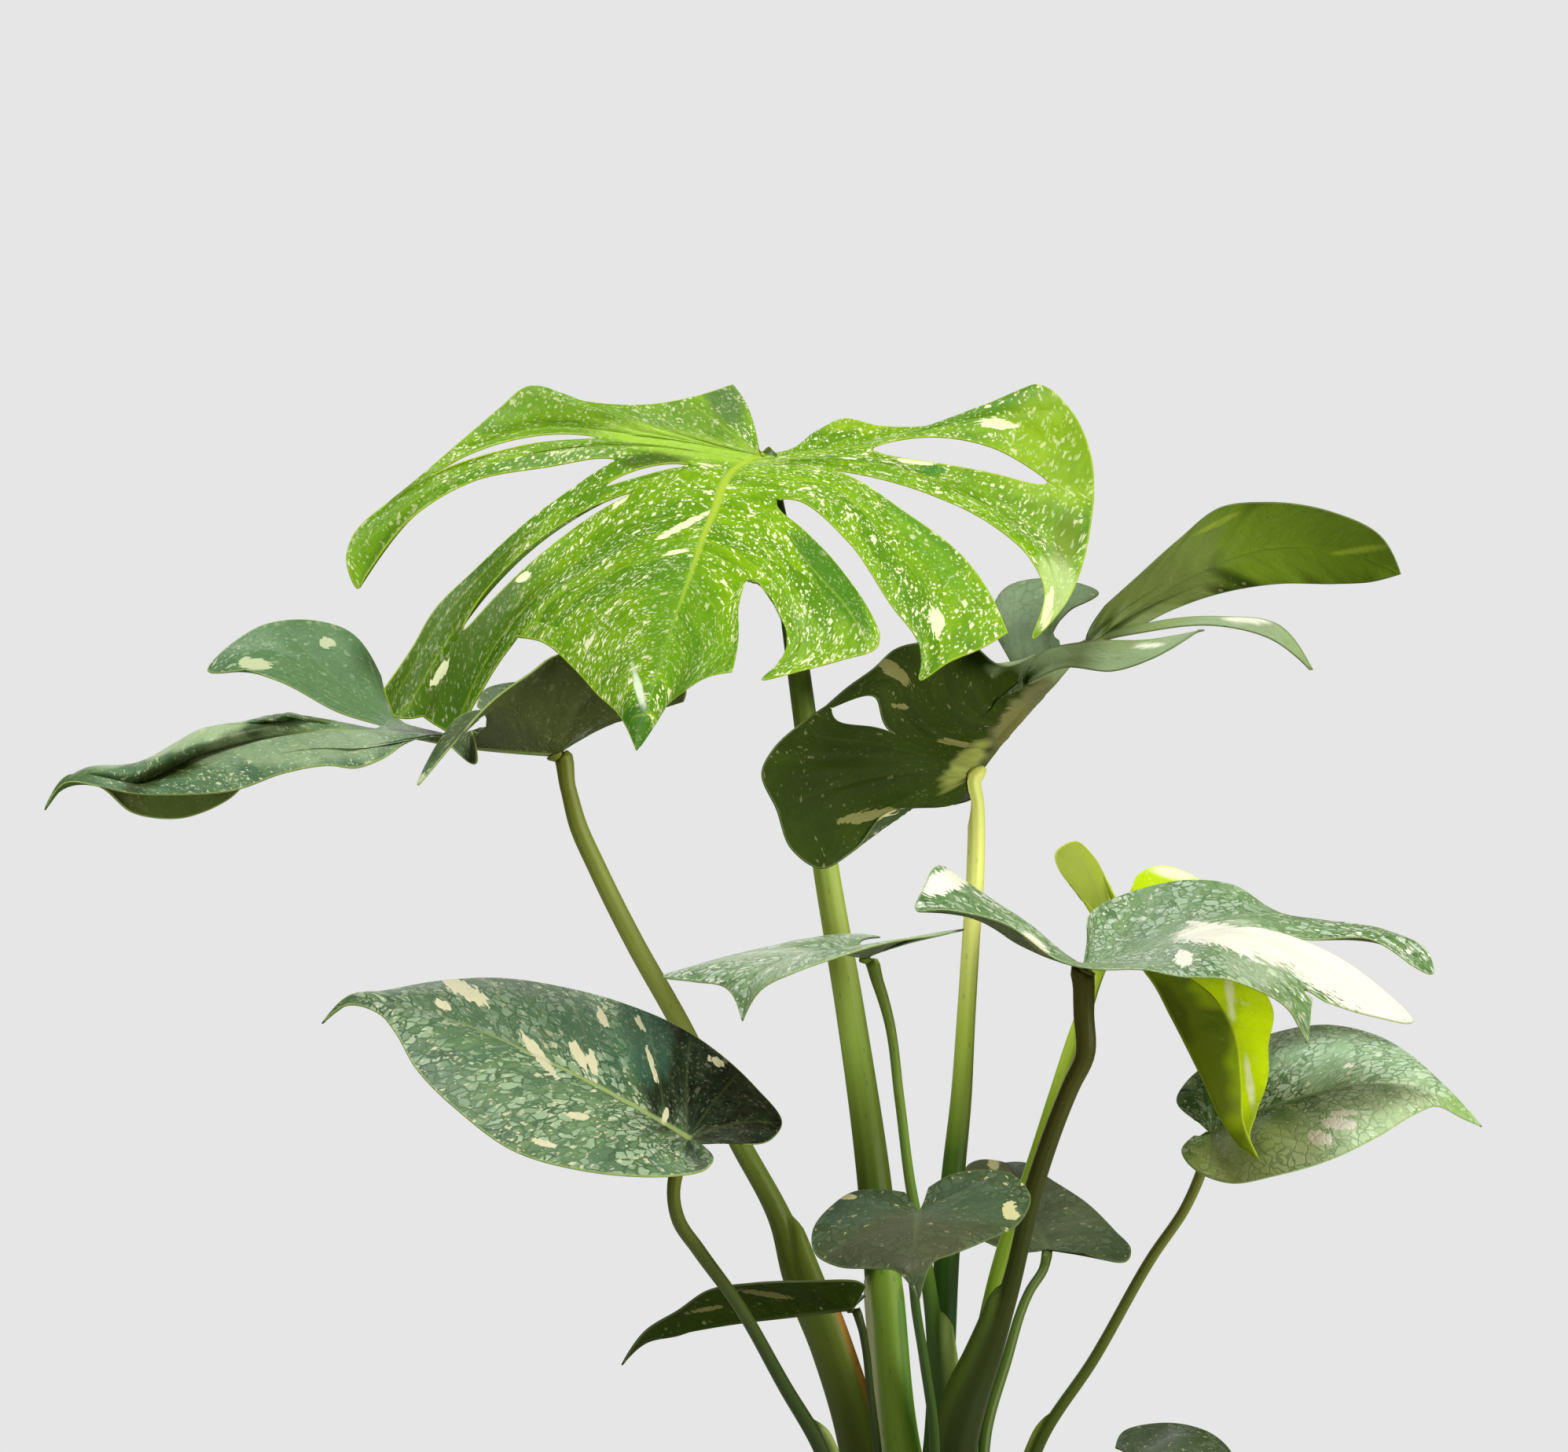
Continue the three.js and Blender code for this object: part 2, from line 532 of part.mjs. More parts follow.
      [0.62, [132, 386, -28]],
      [0.78, [127, 370, -52]],
      [0.92, [125, 358, -76]],
    ],
  },
};

// The stalk of each leaf: foot is [x, y, radius] where it stands in the mix, and path is [x, z, depth,
// radius] from there up to the leaf's joint.
const STALKS = {
  crown: {
    foot: [-6, 4, 10.2],
    path: [[-12, 200, 4, 9.8], [-19, 240, 6, 8.4], [-24, 295, 10, 7.6], [-28, 339, 14, 7],
      [-38, 411, 22, 6], [-48, 470, 30, 5.3], [-58, 542, 39, 4.9], [-64, 587, 48, 4.4],
      [-68.5, 617, 55, 3.8]],
  },
  left_mid: {
    foot: [-27, 10, 8.4],
    path: [[-31, 205, 12, 8.3], [-36, 240, 12, 8.2], [-47, 275, 12, 7.4], [-59, 305, 12, 7],
      [-66, 326, 12, 5], [-84, 360, 12, 4.3], [-108, 408, 12, 4.1], [-126, 440, 12, 3.9],
      [-141, 470, 12, 3.8], [-149, 488, 11, 3.7], [-153, 503, 10, 3.3]],
  },
  right_mid: {
    foot: [4, 24, 6.6],
    path: [[3, 200, 24, 6.4], [-1, 233, 23, 6], [0, 290, 22, 5.4], [4, 347, 24, 4.8], [7, 376, 26, 4.4],
      [9, 408, 30, 3.9], [11, 440, 34, 3.7], [13, 472, 37, 3.7], [13, 496, 40.5, 3.6]],
  },
  right_low: {
    foot: [8, -22, 9.6],
    path: [[6, 200, -24, 9.4], [5, 236, -26, 8.8], [10, 254, -28, 8], [17, 271, -30, 6.2],
      [26, 296, -34, 4], [38, 344, -40, 3.7], [52, 382, -46, 3.7], [57.5, 394, -48, 3.9],
      [57, 411, -49, 4.1], [57, 422, -50, 4.3]],
  },
  left_low: {
    foot: [-24, -22, 4],
    path: [[-37, 200, -26, 4], [-51, 236, -34, 3.2], [-64, 258, -42, 2.8], [-84, 293, -56, 2.5],
      [-100, 315, -66, 2.7], [-108, 327, -71, 2.7], [-110, 337, -74, 2.6], [-108, 350, -74, 3]],
  },
  centre_small: {
    foot: [-12, -15, 5.2],
    path: [[-8, 200, -12, 5.3], [-3, 236, -9, 5.3], [-2, 262, -12, 4.9], [-4, 284, -18, 3.4],
      [-7, 306, -26, 2.8], [-14, 344, -40, 2.1], [-18, 376, -48, 2], [-23, 411, -54, 2.1],
      [-27, 424, -55, 2.4]],
  },
  centre_front: {
    foot: [-7, -31, 2.8],
    path: [[-5, 200, -38, 2.6], [-4, 240, -56, 2.1], [-8, 270, -76, 1.9], [-12, 297, -92, 1.8],
      [-13, 316, -98, 1.8]],
  },
  right_heart: {
    foot: [23, -12, 3.2],
    path: [[30, 210, -12, 2.9], [39, 236, -14, 2.5], [61, 270, -20, 2.2], [85, 312, -28, 2.1],
      [99, 333, -34, 2.1], [105, 347, -37, 2.2]],
  },
  back_right: {
    foot: [19, 13, 3.3],
    path: [[16, 205, 18, 3], [17, 240, 28, 2.6], [25, 268, 38, 2.3], [35, 298, 48, 2], [41, 308, 52, 2]],
  },
  left_back: {
    foot: [-22, -8, 2.3],
    path: [[-25, 205, -10, 2.1], [-27, 233, -13, 1.8], [-30, 258, -18, 1.6], [-32, 276, -22, 1.6],
      [-34, 285, -25, 1.7]],
  },
  low_front: {
    foot: [26, -26, 2.8],
    path: [[38, 190, -36, 2.4], [54, 208, -48, 2], [68, 222, -58, 1.9]],
  },
  unfurling: {
    foot: [14, -1, 4.4],
    path: [[12, 200, 0, 4.3], [10, 236, 2, 4], [17, 283, 4, 3.5], [24, 312, 7, 3.4], [36, 347, 11, 3.3],
      [45, 376, 14, 3], [55, 406, 18, 3], [62, 424, 22, 2.9]],
  },
};

// Sheet

// Slopes of a smooth curve through rows of points at the stations u: each is the slope of the parabola
// through three neighbours.
function slopes(rows, u) {
  const last = rows.length - 1;
  const step = (i) => rows[0].map((_, j) => rows[i + 1][j].clone().sub(rows[i][j])
    .divideScalar(u[i + 1] - u[i]));
  const between = Array.from({ length: last }, (_, i) => step(i));
  const result = rows.map((row, i) => {
    if (i === 0) return between[0];
    if (i === last) return between[last - 1];
    const before = u[i] - u[i - 1];
    const after = u[i + 1] - u[i];
    return row.map((_, j) => between[i - 1][j].clone().multiplyScalar(after)
      .addScaledVector(between[i][j], before).divideScalar(before + after));
  });
  if (last > 1) {
    result[0] = result[0].map((s, j) => s.clone().multiplyScalar(1.5)
      .addScaledVector(result[1][j], -0.5));
    result[last] = result[last].map((s, j) => s.clone().multiplyScalar(1.5)
      .addScaledVector(result[last - 1][j], -0.5));
  }
  return result;
}

function hermite(a, b, slopeA, slopeB, span, t) {
  const t2 = t * t;
  const t3 = t2 * t;
  return a.clone().multiplyScalar(2 * t3 - 3 * t2 + 1).addScaledVector(b, 3 * t2 - 2 * t3)
    .addScaledVector(slopeA, span * (t3 - 2 * t2 + t)).addScaledVector(slopeB, span * (t3 - t2));
}

// A smooth curve through some points, as a function of the share of its length.
function smooth(points) {
  const u = [0];
  points.slice(1).forEach((p, i) => u.push(u[i] + p.distanceTo(points[i])));
  const rows = points.map((p) => [p]);
  const tangents = slopes(rows, u);
  return (share) => {
    const s = share * u[u.length - 1];
    let i = u.findIndex((end, k) => k > 0 && s <= end) - 1;
    if (i < 0) i = u.length - 2;
    const span = u[i + 1] - u[i];
    return hermite(points[i], points[i + 1], tangents[i][0], tangents[i + 1][0], span, (s - u[i]) / span);
  };
}

// One side of a leaf, as lobes: each has its veins as rows of points, and the cut that follows it.
function lobesOf(side, leaf, rib, along) {
  const up = new THREE.Vector3(...leaf.up).normalize();
  const row = ([at, ...places]) => {
    const root = rib(at);
    const points = places.map(place);
    const tip = points[points.length - 1];
    if (points.length === 1) {
      const middle = root.clone().lerp(tip, 0.5).addScaledVector(up, leaf.arch * root.distanceTo(tip));
      points.unshift(middle);
    }
    const curve = smooth([root, ...points]);
    return { at, points: along.map(curve) };
  };
  const lobes = [{ veins: [] }];
  side.forEach((entry) => {
    const lobe = lobes[lobes.length - 1];
    if (entry[0] === 'cut') {
      lobe.cut = { start: entry[1], end: 1, width: entry[2] };
      lobes.push({ veins: [] });
    } else if (entry[0] === 'hole') {
      const shared = lobe.veins[lobe.veins.length - 1];
      lobe.cut = { start: entry[1], end: entry[2], width: entry[3], lean: entry[4] ?? 0 };
      lobes.push({ veins: [{ at: shared.at, points: shared.points.map((p) => p.clone()) }] });
    } else {
      lobe.veins.push(row(entry));
    }
  });
  return lobes;
}

// Both edges of a cut run as one line up to its start, and again past its end where it closes.
function openCut(before, after, cut, along) {
  const off = (j, share) => Math.abs(along[j] - share);
  const nearest = (share) => along.reduce((best, q, j) => (off(j, share) < off(best, share) ? j : best), 0);
  const closes = cut.end < 1;
  const end = closes ? Math.min(nearest(cut.end), along.length - 2) : along.length;
  const start = Math.max(1, Math.min(nearest(cut.start), end - 2));
  const edge = before.veins[before.veins.length - 1].points;
  const inner = before.veins[before.veins.length - 2].points;
  const otherEdge = after.veins[0].points;
  const otherInner = after.veins[1].points;
  const moved = along.map((q, j) => {
    const middle = edge[j].clone().lerp(otherEdge[j], 0.5);
    const half = otherEdge[j].clone().sub(edge[j]).multiplyScalar(0.5);
    const across = otherInner[j].clone().sub(inner[j]).normalize();
    let open = 0;
    let wide = 0;
    let aside = 0;
    if (j > start && !closes) {
      const rest = 1 - Math.min(1, (q - along[start]) / CUT_ROUND);
      open = Math.sqrt(1 - rest * rest);
      wide = cut.width * open * (1 - CUT_NARROWING * (q - along[start]) / (1 - along[start]));
    } else if (j > start && j < end) {
      const way = (q - along[start]) / (along[end] - along[start]);
      wide = cut.width * (cut.lean ? Math.sin(Math.PI * way ** 2) : Math.sqrt(Math.sin(Math.PI * way)));
      aside = cut.lean * wide;
    }
    const move = half.multiplyScalar(open).addScaledVector(across, wide);
    middle.addScaledVector(across, aside);
    return [middle.clone().sub(move), middle.clone().add(move)];
  });
  before.lastFix = moved.map(([a], j) => a.sub(edge[j]));
  after.firstFix = moved.map(([, b], j) => b.sub(otherEdge[j]));
  after.joined = along.map((_, j) => j <= start || j >= end);
}

// The sheet of a leaf: points, and faces turned the same way. along holds the shares of a vein at which it
// has points.
function sheetOf(leaf, along) {
  const rib = smooth([leaf.joint, ...leaf.rib].map(place));
  const starts = [...leaf.left, ...leaf.right].map((v) => v[0]).filter((v) => typeof v === 'number');
  const marks = [...new Set([0, ...starts, 1])].sort((a, b) => a - b);
  const levels = [];
  const levelAt = (share) => levels.findIndex((level) => Math.abs(level - share) < TINY);
  marks.slice(0, -1).forEach((from, i) => {
    const parts = Math.ceil((marks[i + 1] - from) / RIB_STEP - TINY);
    for (let k = 0; k < parts; k += 1) levels.push(from + ((marks[i + 1] - from) * k) / parts);
  });
  levels.push(1);
  const points = levels.map(rib);
  const ribShare = new Map(levels.map((level, i) => [i, level]));
  const faces = [];
  const tipRow = along.map(() => levels.length - 1);

  [leaf.left, leaf.right].forEach((side, sideNumber) => {
    const lobes = lobesOf(side, leaf, rib, along);
    lobes[lobes.length - 1].veins.push({ at: 1, points: along.map(() => rib(1)) });
    lobes.slice(1).forEach((lobe, i) => openCut(lobes[i], lobe, lobes[i].cut, along));
    let previous = null;
    let previousLevel = 0;
    lobes.forEach((lobe, lobeNumber) => {
      const { veins } = lobe;
      const u = [0];
      veins.slice(1).forEach((vein, i) => {
        u.push(u[i] + 1 + vein.points[along.length - 1].distanceTo(veins[i].points[along.length - 1]));
      });
      const total = u[u.length - 1];
      const tangents = slopes(veins.map((vein) => vein.points), u);
      const rows = [];
      veins.slice(0, -1).forEach((vein, i) => {
        const next = veins[i + 1];
        if (next.at > vein.at) {
          levels.forEach((level, n) => {
            if (level > vein.at - TINY && level < next.at - TINY) {
              rows.push({ i, t: (level - vein.at) / (next.at - vein.at), n });
            }
          });
        } else {
          rows.push({ i, t: 0, n: levelAt(vein.at) });
        }
      });
      rows.push({ i: veins.length - 2, t: 1, n: levelAt(veins[veins.length - 1].at) });
      rows.forEach(({ i, t, n }, rowNumber) => {
        const where = (u[i] + (u[i + 1] - u[i]) * t) / total;
        const fade = (distance) => Math.max(0, 1 - distance / REACH_OF_CUT) ** 2;
        const line = along.map((q, j) => {
          const point = hermite(veins[i].points[j], veins[i + 1].points[j], tangents[i][j],
            tangents[i + 1][j], u[i + 1] - u[i], t);
          if (lobe.firstFix) point.addScaledVector(lobe.firstFix[j], fade(where));
          if (lobe.lastFix) point.addScaledVector(lobe.lastFix[j], fade(1 - where));
          return point;
        });
        const slip = points[n].clone().sub(line[0]);
        const seam = rowNumber === 0 && lobeNumber > 0;
        let ids = tipRow;
        if (levels[n] < 1) {
          ids = along.map((q, j) => {
            if (j === 0) return n;
            if (seam && lobe.joined[j]) return previous[j];
            points.push(line[j].addScaledVector(slip, (1 - q) ** 2));
            return points.length - 1;
          });
        }
        const strip = [];
        if (seam) {
          for (let m = previousLevel; m < n; m += 1) strip.push([m, previous[1], previous[1], m + 1]);
        } else if (previous) {
          for (let j = 0; j < along.length - 1; j += 1) {
            strip.push([previous[j], previous[j + 1], ids[j + 1], ids[j]]);
          }
        }
        faces.push(...strip.map((corners) => (sideNumber ? corners.reverse() : corners)));
        previous = ids;
        previousLevel = n;
      });
    });
  });
  return { points, faces, ribShare };
}

// The solid of a leaf: its sheet given a thickness, with a rib standing out below, thinner towards the
// tip.
function bladeSolid(leaf, along) {
  const { points, faces, ribShare } = sheetOf(leaf, along);
  const triangles = [];
  faces.forEach(([a, b, c, d]) => {
    const alike = points[a].distanceTo(points[c]) <= points[b].distanceTo(points[d]);
    const halves = alike ? [[a, b, c], [a, c, d]] : [[a, b, d], [b, c, d]];
    halves.forEach((t) => {
      if (t[0] !== t[1] && t[1] !== t[2] && t[0] !== t[2]) triangles.push(t);
    });
  });
  const normals = points.map(() => new THREE.Vector3());
  triangles.forEach(([a, b, c]) => {
    const normal = points[b].clone().sub(points[a]).cross(points[c].clone().sub(points[a]));
    [a, b, c].forEach((i) => normals[i].add(normal));
  });
  const up = new THREE.Vector3(...leaf.up);
  const sum = normals.reduce((total, n) => total.add(n), new THREE.Vector3());
  const flip = sum.dot(up) < 0;
  if (flip) triangles.forEach((t) => t.reverse());
  const positions = [];
  const count = points.length;
  points.forEach((p, i) => {
    const n = normals[i].normalize().multiplyScalar(flip ? -1 : 1);
    positions.push(...p.clone().addScaledVector(n, BLADE_THICKNESS / 2).toArray());
  });
  points.forEach((p, i) => {
    const share = ribShare.get(i);
    const ridge = share === undefined ? 0 : RIB_HEIGHT[leaf.detail] * (1 - share ** 2);
    positions.push(...p.clone().addScaledVector(normals[i], -BLADE_THICKNESS / 2 - ridge).toArray());
  });
  const index = [];
  const edges = new Set();
  triangles.forEach(([a, b, c]) => {
    index.push(a, b, c, c + count, b + count, a + count);
    [[a, b], [b, c], [c, a]].forEach(([s, e]) => edges.add(`${s} ${e}`));
  });
  edges.forEach((key) => {
    const [s, e] = key.split(' ').map(Number);
    if (!edges.has(`${e} ${s}`)) index.push(e, s, s + count, e, s + count, e + count);
  });
  return { geometry: solidGeometry(positions, index), facing: normals[0] };
}

function solidGeometry(positions, index) {
  const geometry = new THREE.BufferGeometry();
  geometry.setAttribute('position', new THREE.Float32BufferAttribute(positions, 3));
  geometry.setIndex(index);
  return geometry;
}

// Stalks

// The solid of a stalk: rings round a smooth path, closed by a pointed end at the top and a flat one below.
function stalkSolid({ foot, path }, joint) {
  const [footX, footY, footRadius] = foot;
  const low = [STALK_FOOT, STALK_FOOT + STRAIGHT_FOOT / 2, STALK_FOOT + STRAIGHT_FOOT];
  const nodes = [
    ...low.map((z) => ({ p: new THREE.Vector3(footX, footY, z), r: footRadius })),
    ...path.map(([x, z, depth, r]) => ({ p: place([x, z, depth]), r })),
  ];
  const topRadius = path[path.length - 1][3];
  nodes.push({ p: place(joint), r: topRadius * TOP_SWELL });
  const curve = new THREE.CatmullRomCurve3(nodes.map(({ p }) => p), false, 'centripetal');
  const spans = nodes.length - 1;
  const count = Math.ceil(curve.getLength() / STALK_STEP);
  const even = Array.from({ length: count + 1 }, (_, n) => curve.getUtoTmapping(n / count));
  const straight = 2 / spans;
  const rings = [0, straight, ...even.filter((share) => share > 1.15 * straight)].map((share) => {
    const i = Math.min(Math.floor(share * spans), spans - 1);
    return { share, r: nodes[i].r + (nodes[i + 1].r - nodes[i].r) * (share * spans - i) };
  });
  const positions = [];
  const index = [];
  let side = new THREE.Vector3(1, 0, 0);
  rings.forEach(({ share, r }, n) => {
    const tangent = curve.getTangent(share);
    side = side.clone().sub(tangent.clone().multiplyScalar(side.dot(tangent))).normalize();
    const other = tangent.clone().cross(side);
    const centre = curve.getPoint(share);
    for (let k = 0; k < STALK_SIDES; k += 1) {
      const angle = (2 * Math.PI * k) / STALK_SIDES;
      positions.push(...centre.clone().addScaledVector(side, r * Math.cos(angle))
        .addScaledVector(other, r * Math.sin(angle)).toArray());
      const next = (k + 1) % STALK_SIDES;
      if (n > 0) {
        const [a, b] = [(n - 1) * STALK_SIDES, n * STALK_SIDES];
        index.push(a + k, a + next, b + next, a + k, b + next, b + k);
      }
    }
  });
  const last = (rings.length - 1) * STALK_SIDES;
  const ends = positions.length / 3;
  const crown = curve.getPoint(1).addScaledVector(curve.getTangent(1), topRadius * 0.5);
  positions.push(...curve.getPoint(0).toArray(), ...crown.toArray());
  for (let k = 0; k < STALK_SIDES; k += 1) {
    const next = (k + 1) % STALK_SIDES;
    index.push(ends, next, k, ends + 1, last + k, last + next);
  }
  return solidGeometry(positions, index);
}

// Cutting

function toManifold(geometry) {
  const bare = new THREE.BufferGeometry();
  bare.setAttribute('position', geometry.attributes.position.clone());
  if (geometry.index) bare.setIndex(geometry.index.clone());
  const merged = mergeVertices(bare, 1e-5);
  const corners = [];
  const { array } = merged.index;
  for (let k = 0; k < array.length; k += 3) {
    const [a, b, c] = array.slice(k, k + 3);
    if (a !== b && b !== c && c !== a) corners.push(a, b, c);
  }
  return new wasm.Manifold(new wasm.Mesh({
    numProp: 3,
    vertProperties: new Float32Array(merged.attributes.position.array),
    triVerts: new Uint32Array(corners),
  }));
}

function toGeometry(solid) {
  const mesh = solid.getMesh();
  return solidGeometry(Array.from(mesh.vertProperties), Array.from(mesh.triVerts));
}

// What a stalk may not enter: the space over its leaf's joint, from just below the rib.
function roomOver(leaf, facing) {
  const below = BLADE_THICKNESS / 2 + RIB_HEIGHT[leaf.detail] + SEAT_GAP[leaf.detail];
  const box = new THREE.BoxGeometry(ROOM, ROOM, ROOM).translate(0, 0, ROOM / 2 - below);
  box.applyQuaternion(new THREE.Quaternion().setFromUnitVectors(new THREE.Vector3(0, 0, 1), facing));
  return toManifold(box.translate(...place(leaf.joint).toArray()));
}

// Pot and potting mix

function potGeometry() {
  const taper = (z) => POT_BASE_RADIUS + ((POT_TOP_RADIUS - POT_BASE_RADIUS) * z) / POT_HEIGHT;
  const rimLow = POT_HEIGHT - RIM_DEPTH;
  const profile = [
    [0, 0], [POT_BASE_RADIUS - POT_EDGE, 0], [POT_BASE_RADIUS, POT_EDGE],
    [taper(rimLow - POT_EDGE), rimLow - POT_EDGE], [RIM_RADIUS - 1.5 * RIM_EDGE, rimLow],
    [RIM_RADIUS, rimLow + POT_EDGE], [RIM_RADIUS + RIM_FLARE, POT_HEIGHT - POT_EDGE],
    [RIM_RADIUS - RIM_EDGE, POT_HEIGHT], [taper(POT_HEIGHT) - RIM_EDGE, POT_HEIGHT],
    [innerRadius(POT_HEIGHT) + RIM_EDGE, POT_HEIGHT - POT_EDGE], [innerRadius(FLOOR), FLOOR], [0, FLOOR],
  ].map(([r, z]) => new THREE.Vector2(r, z));
  return lathe(profile, POT_SIDES);
}

function innerRadius(z) {
  return POT_BASE_RADIUS + ((POT_TOP_RADIUS - POT_BASE_RADIUS) * z) / POT_HEIGHT - WALL;
}

// A lathe turns round Y, so it is stood up along Z.
function lathe(profile, sides) {
  return new THREE.LatheGeometry(profile, sides).rotateX(Math.PI / 2);
}

function soilGeometry(stalks) {
  const shrink = Math.cos(Math.PI / POT_SIDES);
  const edge = (z) => (innerRadius(z) - 2 * GAP) * shrink;
  const profile = [
    [0, FLOOR + GAP], [edge(FLOOR + GAP), FLOOR + GAP],
    [edge(SOIL_LEVEL - SOIL_EDGE), SOIL_LEVEL - SOIL_EDGE],
    [edge(SOIL_LEVEL) * 0.96, SOIL_LEVEL - SOIL_EDGE / 3],
    [edge(SOIL_LEVEL) * 0.8, SOIL_LEVEL + SOIL_DOME / 3],
    [edge(SOIL_LEVEL) * 0.6, SOIL_LEVEL + SOIL_DOME * (2 / 3)], [0, SOIL_LEVEL + SOIL_DOME],
  ].map(([r, z]) => new THREE.Vector2(r, z));
  const body = lathe(profile, SOIL_SIDES);
  const spot = body.attributes.position;
  for (let i = 0; i < spot.count; i += 1) {
    const [x, y, z] = [spot.getX(i), spot.getY(i), spot.getZ(i)];
    const ripple = Math.sin(x / SOIL_RIPPLE.x) * Math.cos(y / SOIL_RIPPLE.y);
    if (z > SOIL_LEVEL) spot.setZ(i, z + SOIL_RIPPLE.height * ripple);
  }
  return Object.values(stalks).reduce((soil, { foot: [x, y, r] }) => {
    const radius = (r + GAP) / Math.cos(Math.PI / HOLE_SIDES);
    const hole = new THREE.CylinderGeometry(radius, radius, HOLE_DEPTH, HOLE_SIDES).rotateX(Math.PI / 2)
      .translate(x, y, STALK_FOOT - GAP + HOLE_DEPTH / 2);
    return soil.subtract(toManifold(hole));
  }, toManifold(body));
}

// The plant in its pot

const monstera = new THREE.Group();

function add(name, geometry, colour, roughness) {
  const finish = new THREE.MeshStandardMaterial({ color: colour, roughness, metalness: 0 });
  const mesh = new THREE.Mesh(geometry, finish);
  mesh.name = name;
  monstera.add(mesh);
}

add('pot', potGeometry(), POT_COLOUR, 0.7);
add('potting_mix', toGeometry(soilGeometry(STALKS)), MIX_COLOUR, 0.95);
Object.entries(LEAVES).forEach(([name, leaf]) => {
  const along = VEIN_SHARES[leaf.detail];
  const blade = bladeSolid(leaf, along);
  const stalk = toManifold(stalkSolid(STALKS[name], leaf.joint)).subtract(roomOver(leaf, blade.facing));
  add(`${name}_blade`, blade.geometry, BLADE_COLOURS[name] ?? OLD_GREEN, 0.45);
  add(`${name}_stalk`, toGeometry(stalk), STALK_COLOUR, 0.5);
});

export default monstera;
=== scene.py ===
"""A potted variegated monstera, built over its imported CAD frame.

Every leaf is a sheet of veins: curves that run from the rib to the margin, with smooth rows laid between
them. The blades, stalks, potting mix and pot are numpy surfaces, in millimetres until the mesh is made. The
finishes are procedural and follow the veins.
"""
import math

import bpy
import numpy as np
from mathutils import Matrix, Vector


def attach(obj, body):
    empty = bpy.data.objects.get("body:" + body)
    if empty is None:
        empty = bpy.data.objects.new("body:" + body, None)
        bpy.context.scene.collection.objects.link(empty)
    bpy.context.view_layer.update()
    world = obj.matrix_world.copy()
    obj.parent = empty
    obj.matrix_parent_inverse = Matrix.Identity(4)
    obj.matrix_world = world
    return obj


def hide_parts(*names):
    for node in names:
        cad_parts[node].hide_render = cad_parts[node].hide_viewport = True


bl_info = {
    "name": "Potted variegated monstera",
    "version": (1, 0, 0),
    "blender": (4, 5, 0),
    "location": "View3D > Sidebar > Monstera",
    "description": "Builds the pieces of a potted variegated monstera over its CAD frame",
    "category": "Add Mesh",
}

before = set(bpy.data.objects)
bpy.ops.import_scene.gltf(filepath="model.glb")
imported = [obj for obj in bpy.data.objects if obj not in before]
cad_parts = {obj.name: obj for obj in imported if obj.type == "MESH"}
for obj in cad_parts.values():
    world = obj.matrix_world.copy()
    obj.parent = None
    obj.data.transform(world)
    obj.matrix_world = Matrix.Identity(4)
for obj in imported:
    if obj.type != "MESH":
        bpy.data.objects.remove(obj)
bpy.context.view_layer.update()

# The viewer's eye in the row frame, in millimetres. Places on the plant are given as seen from there, as
# [x, z, depth]: x and z on the upright plane through the pot's axis, and how far behind it the point lies.
VIEWER = np.array([-65.0, -1507.0, 528.0])

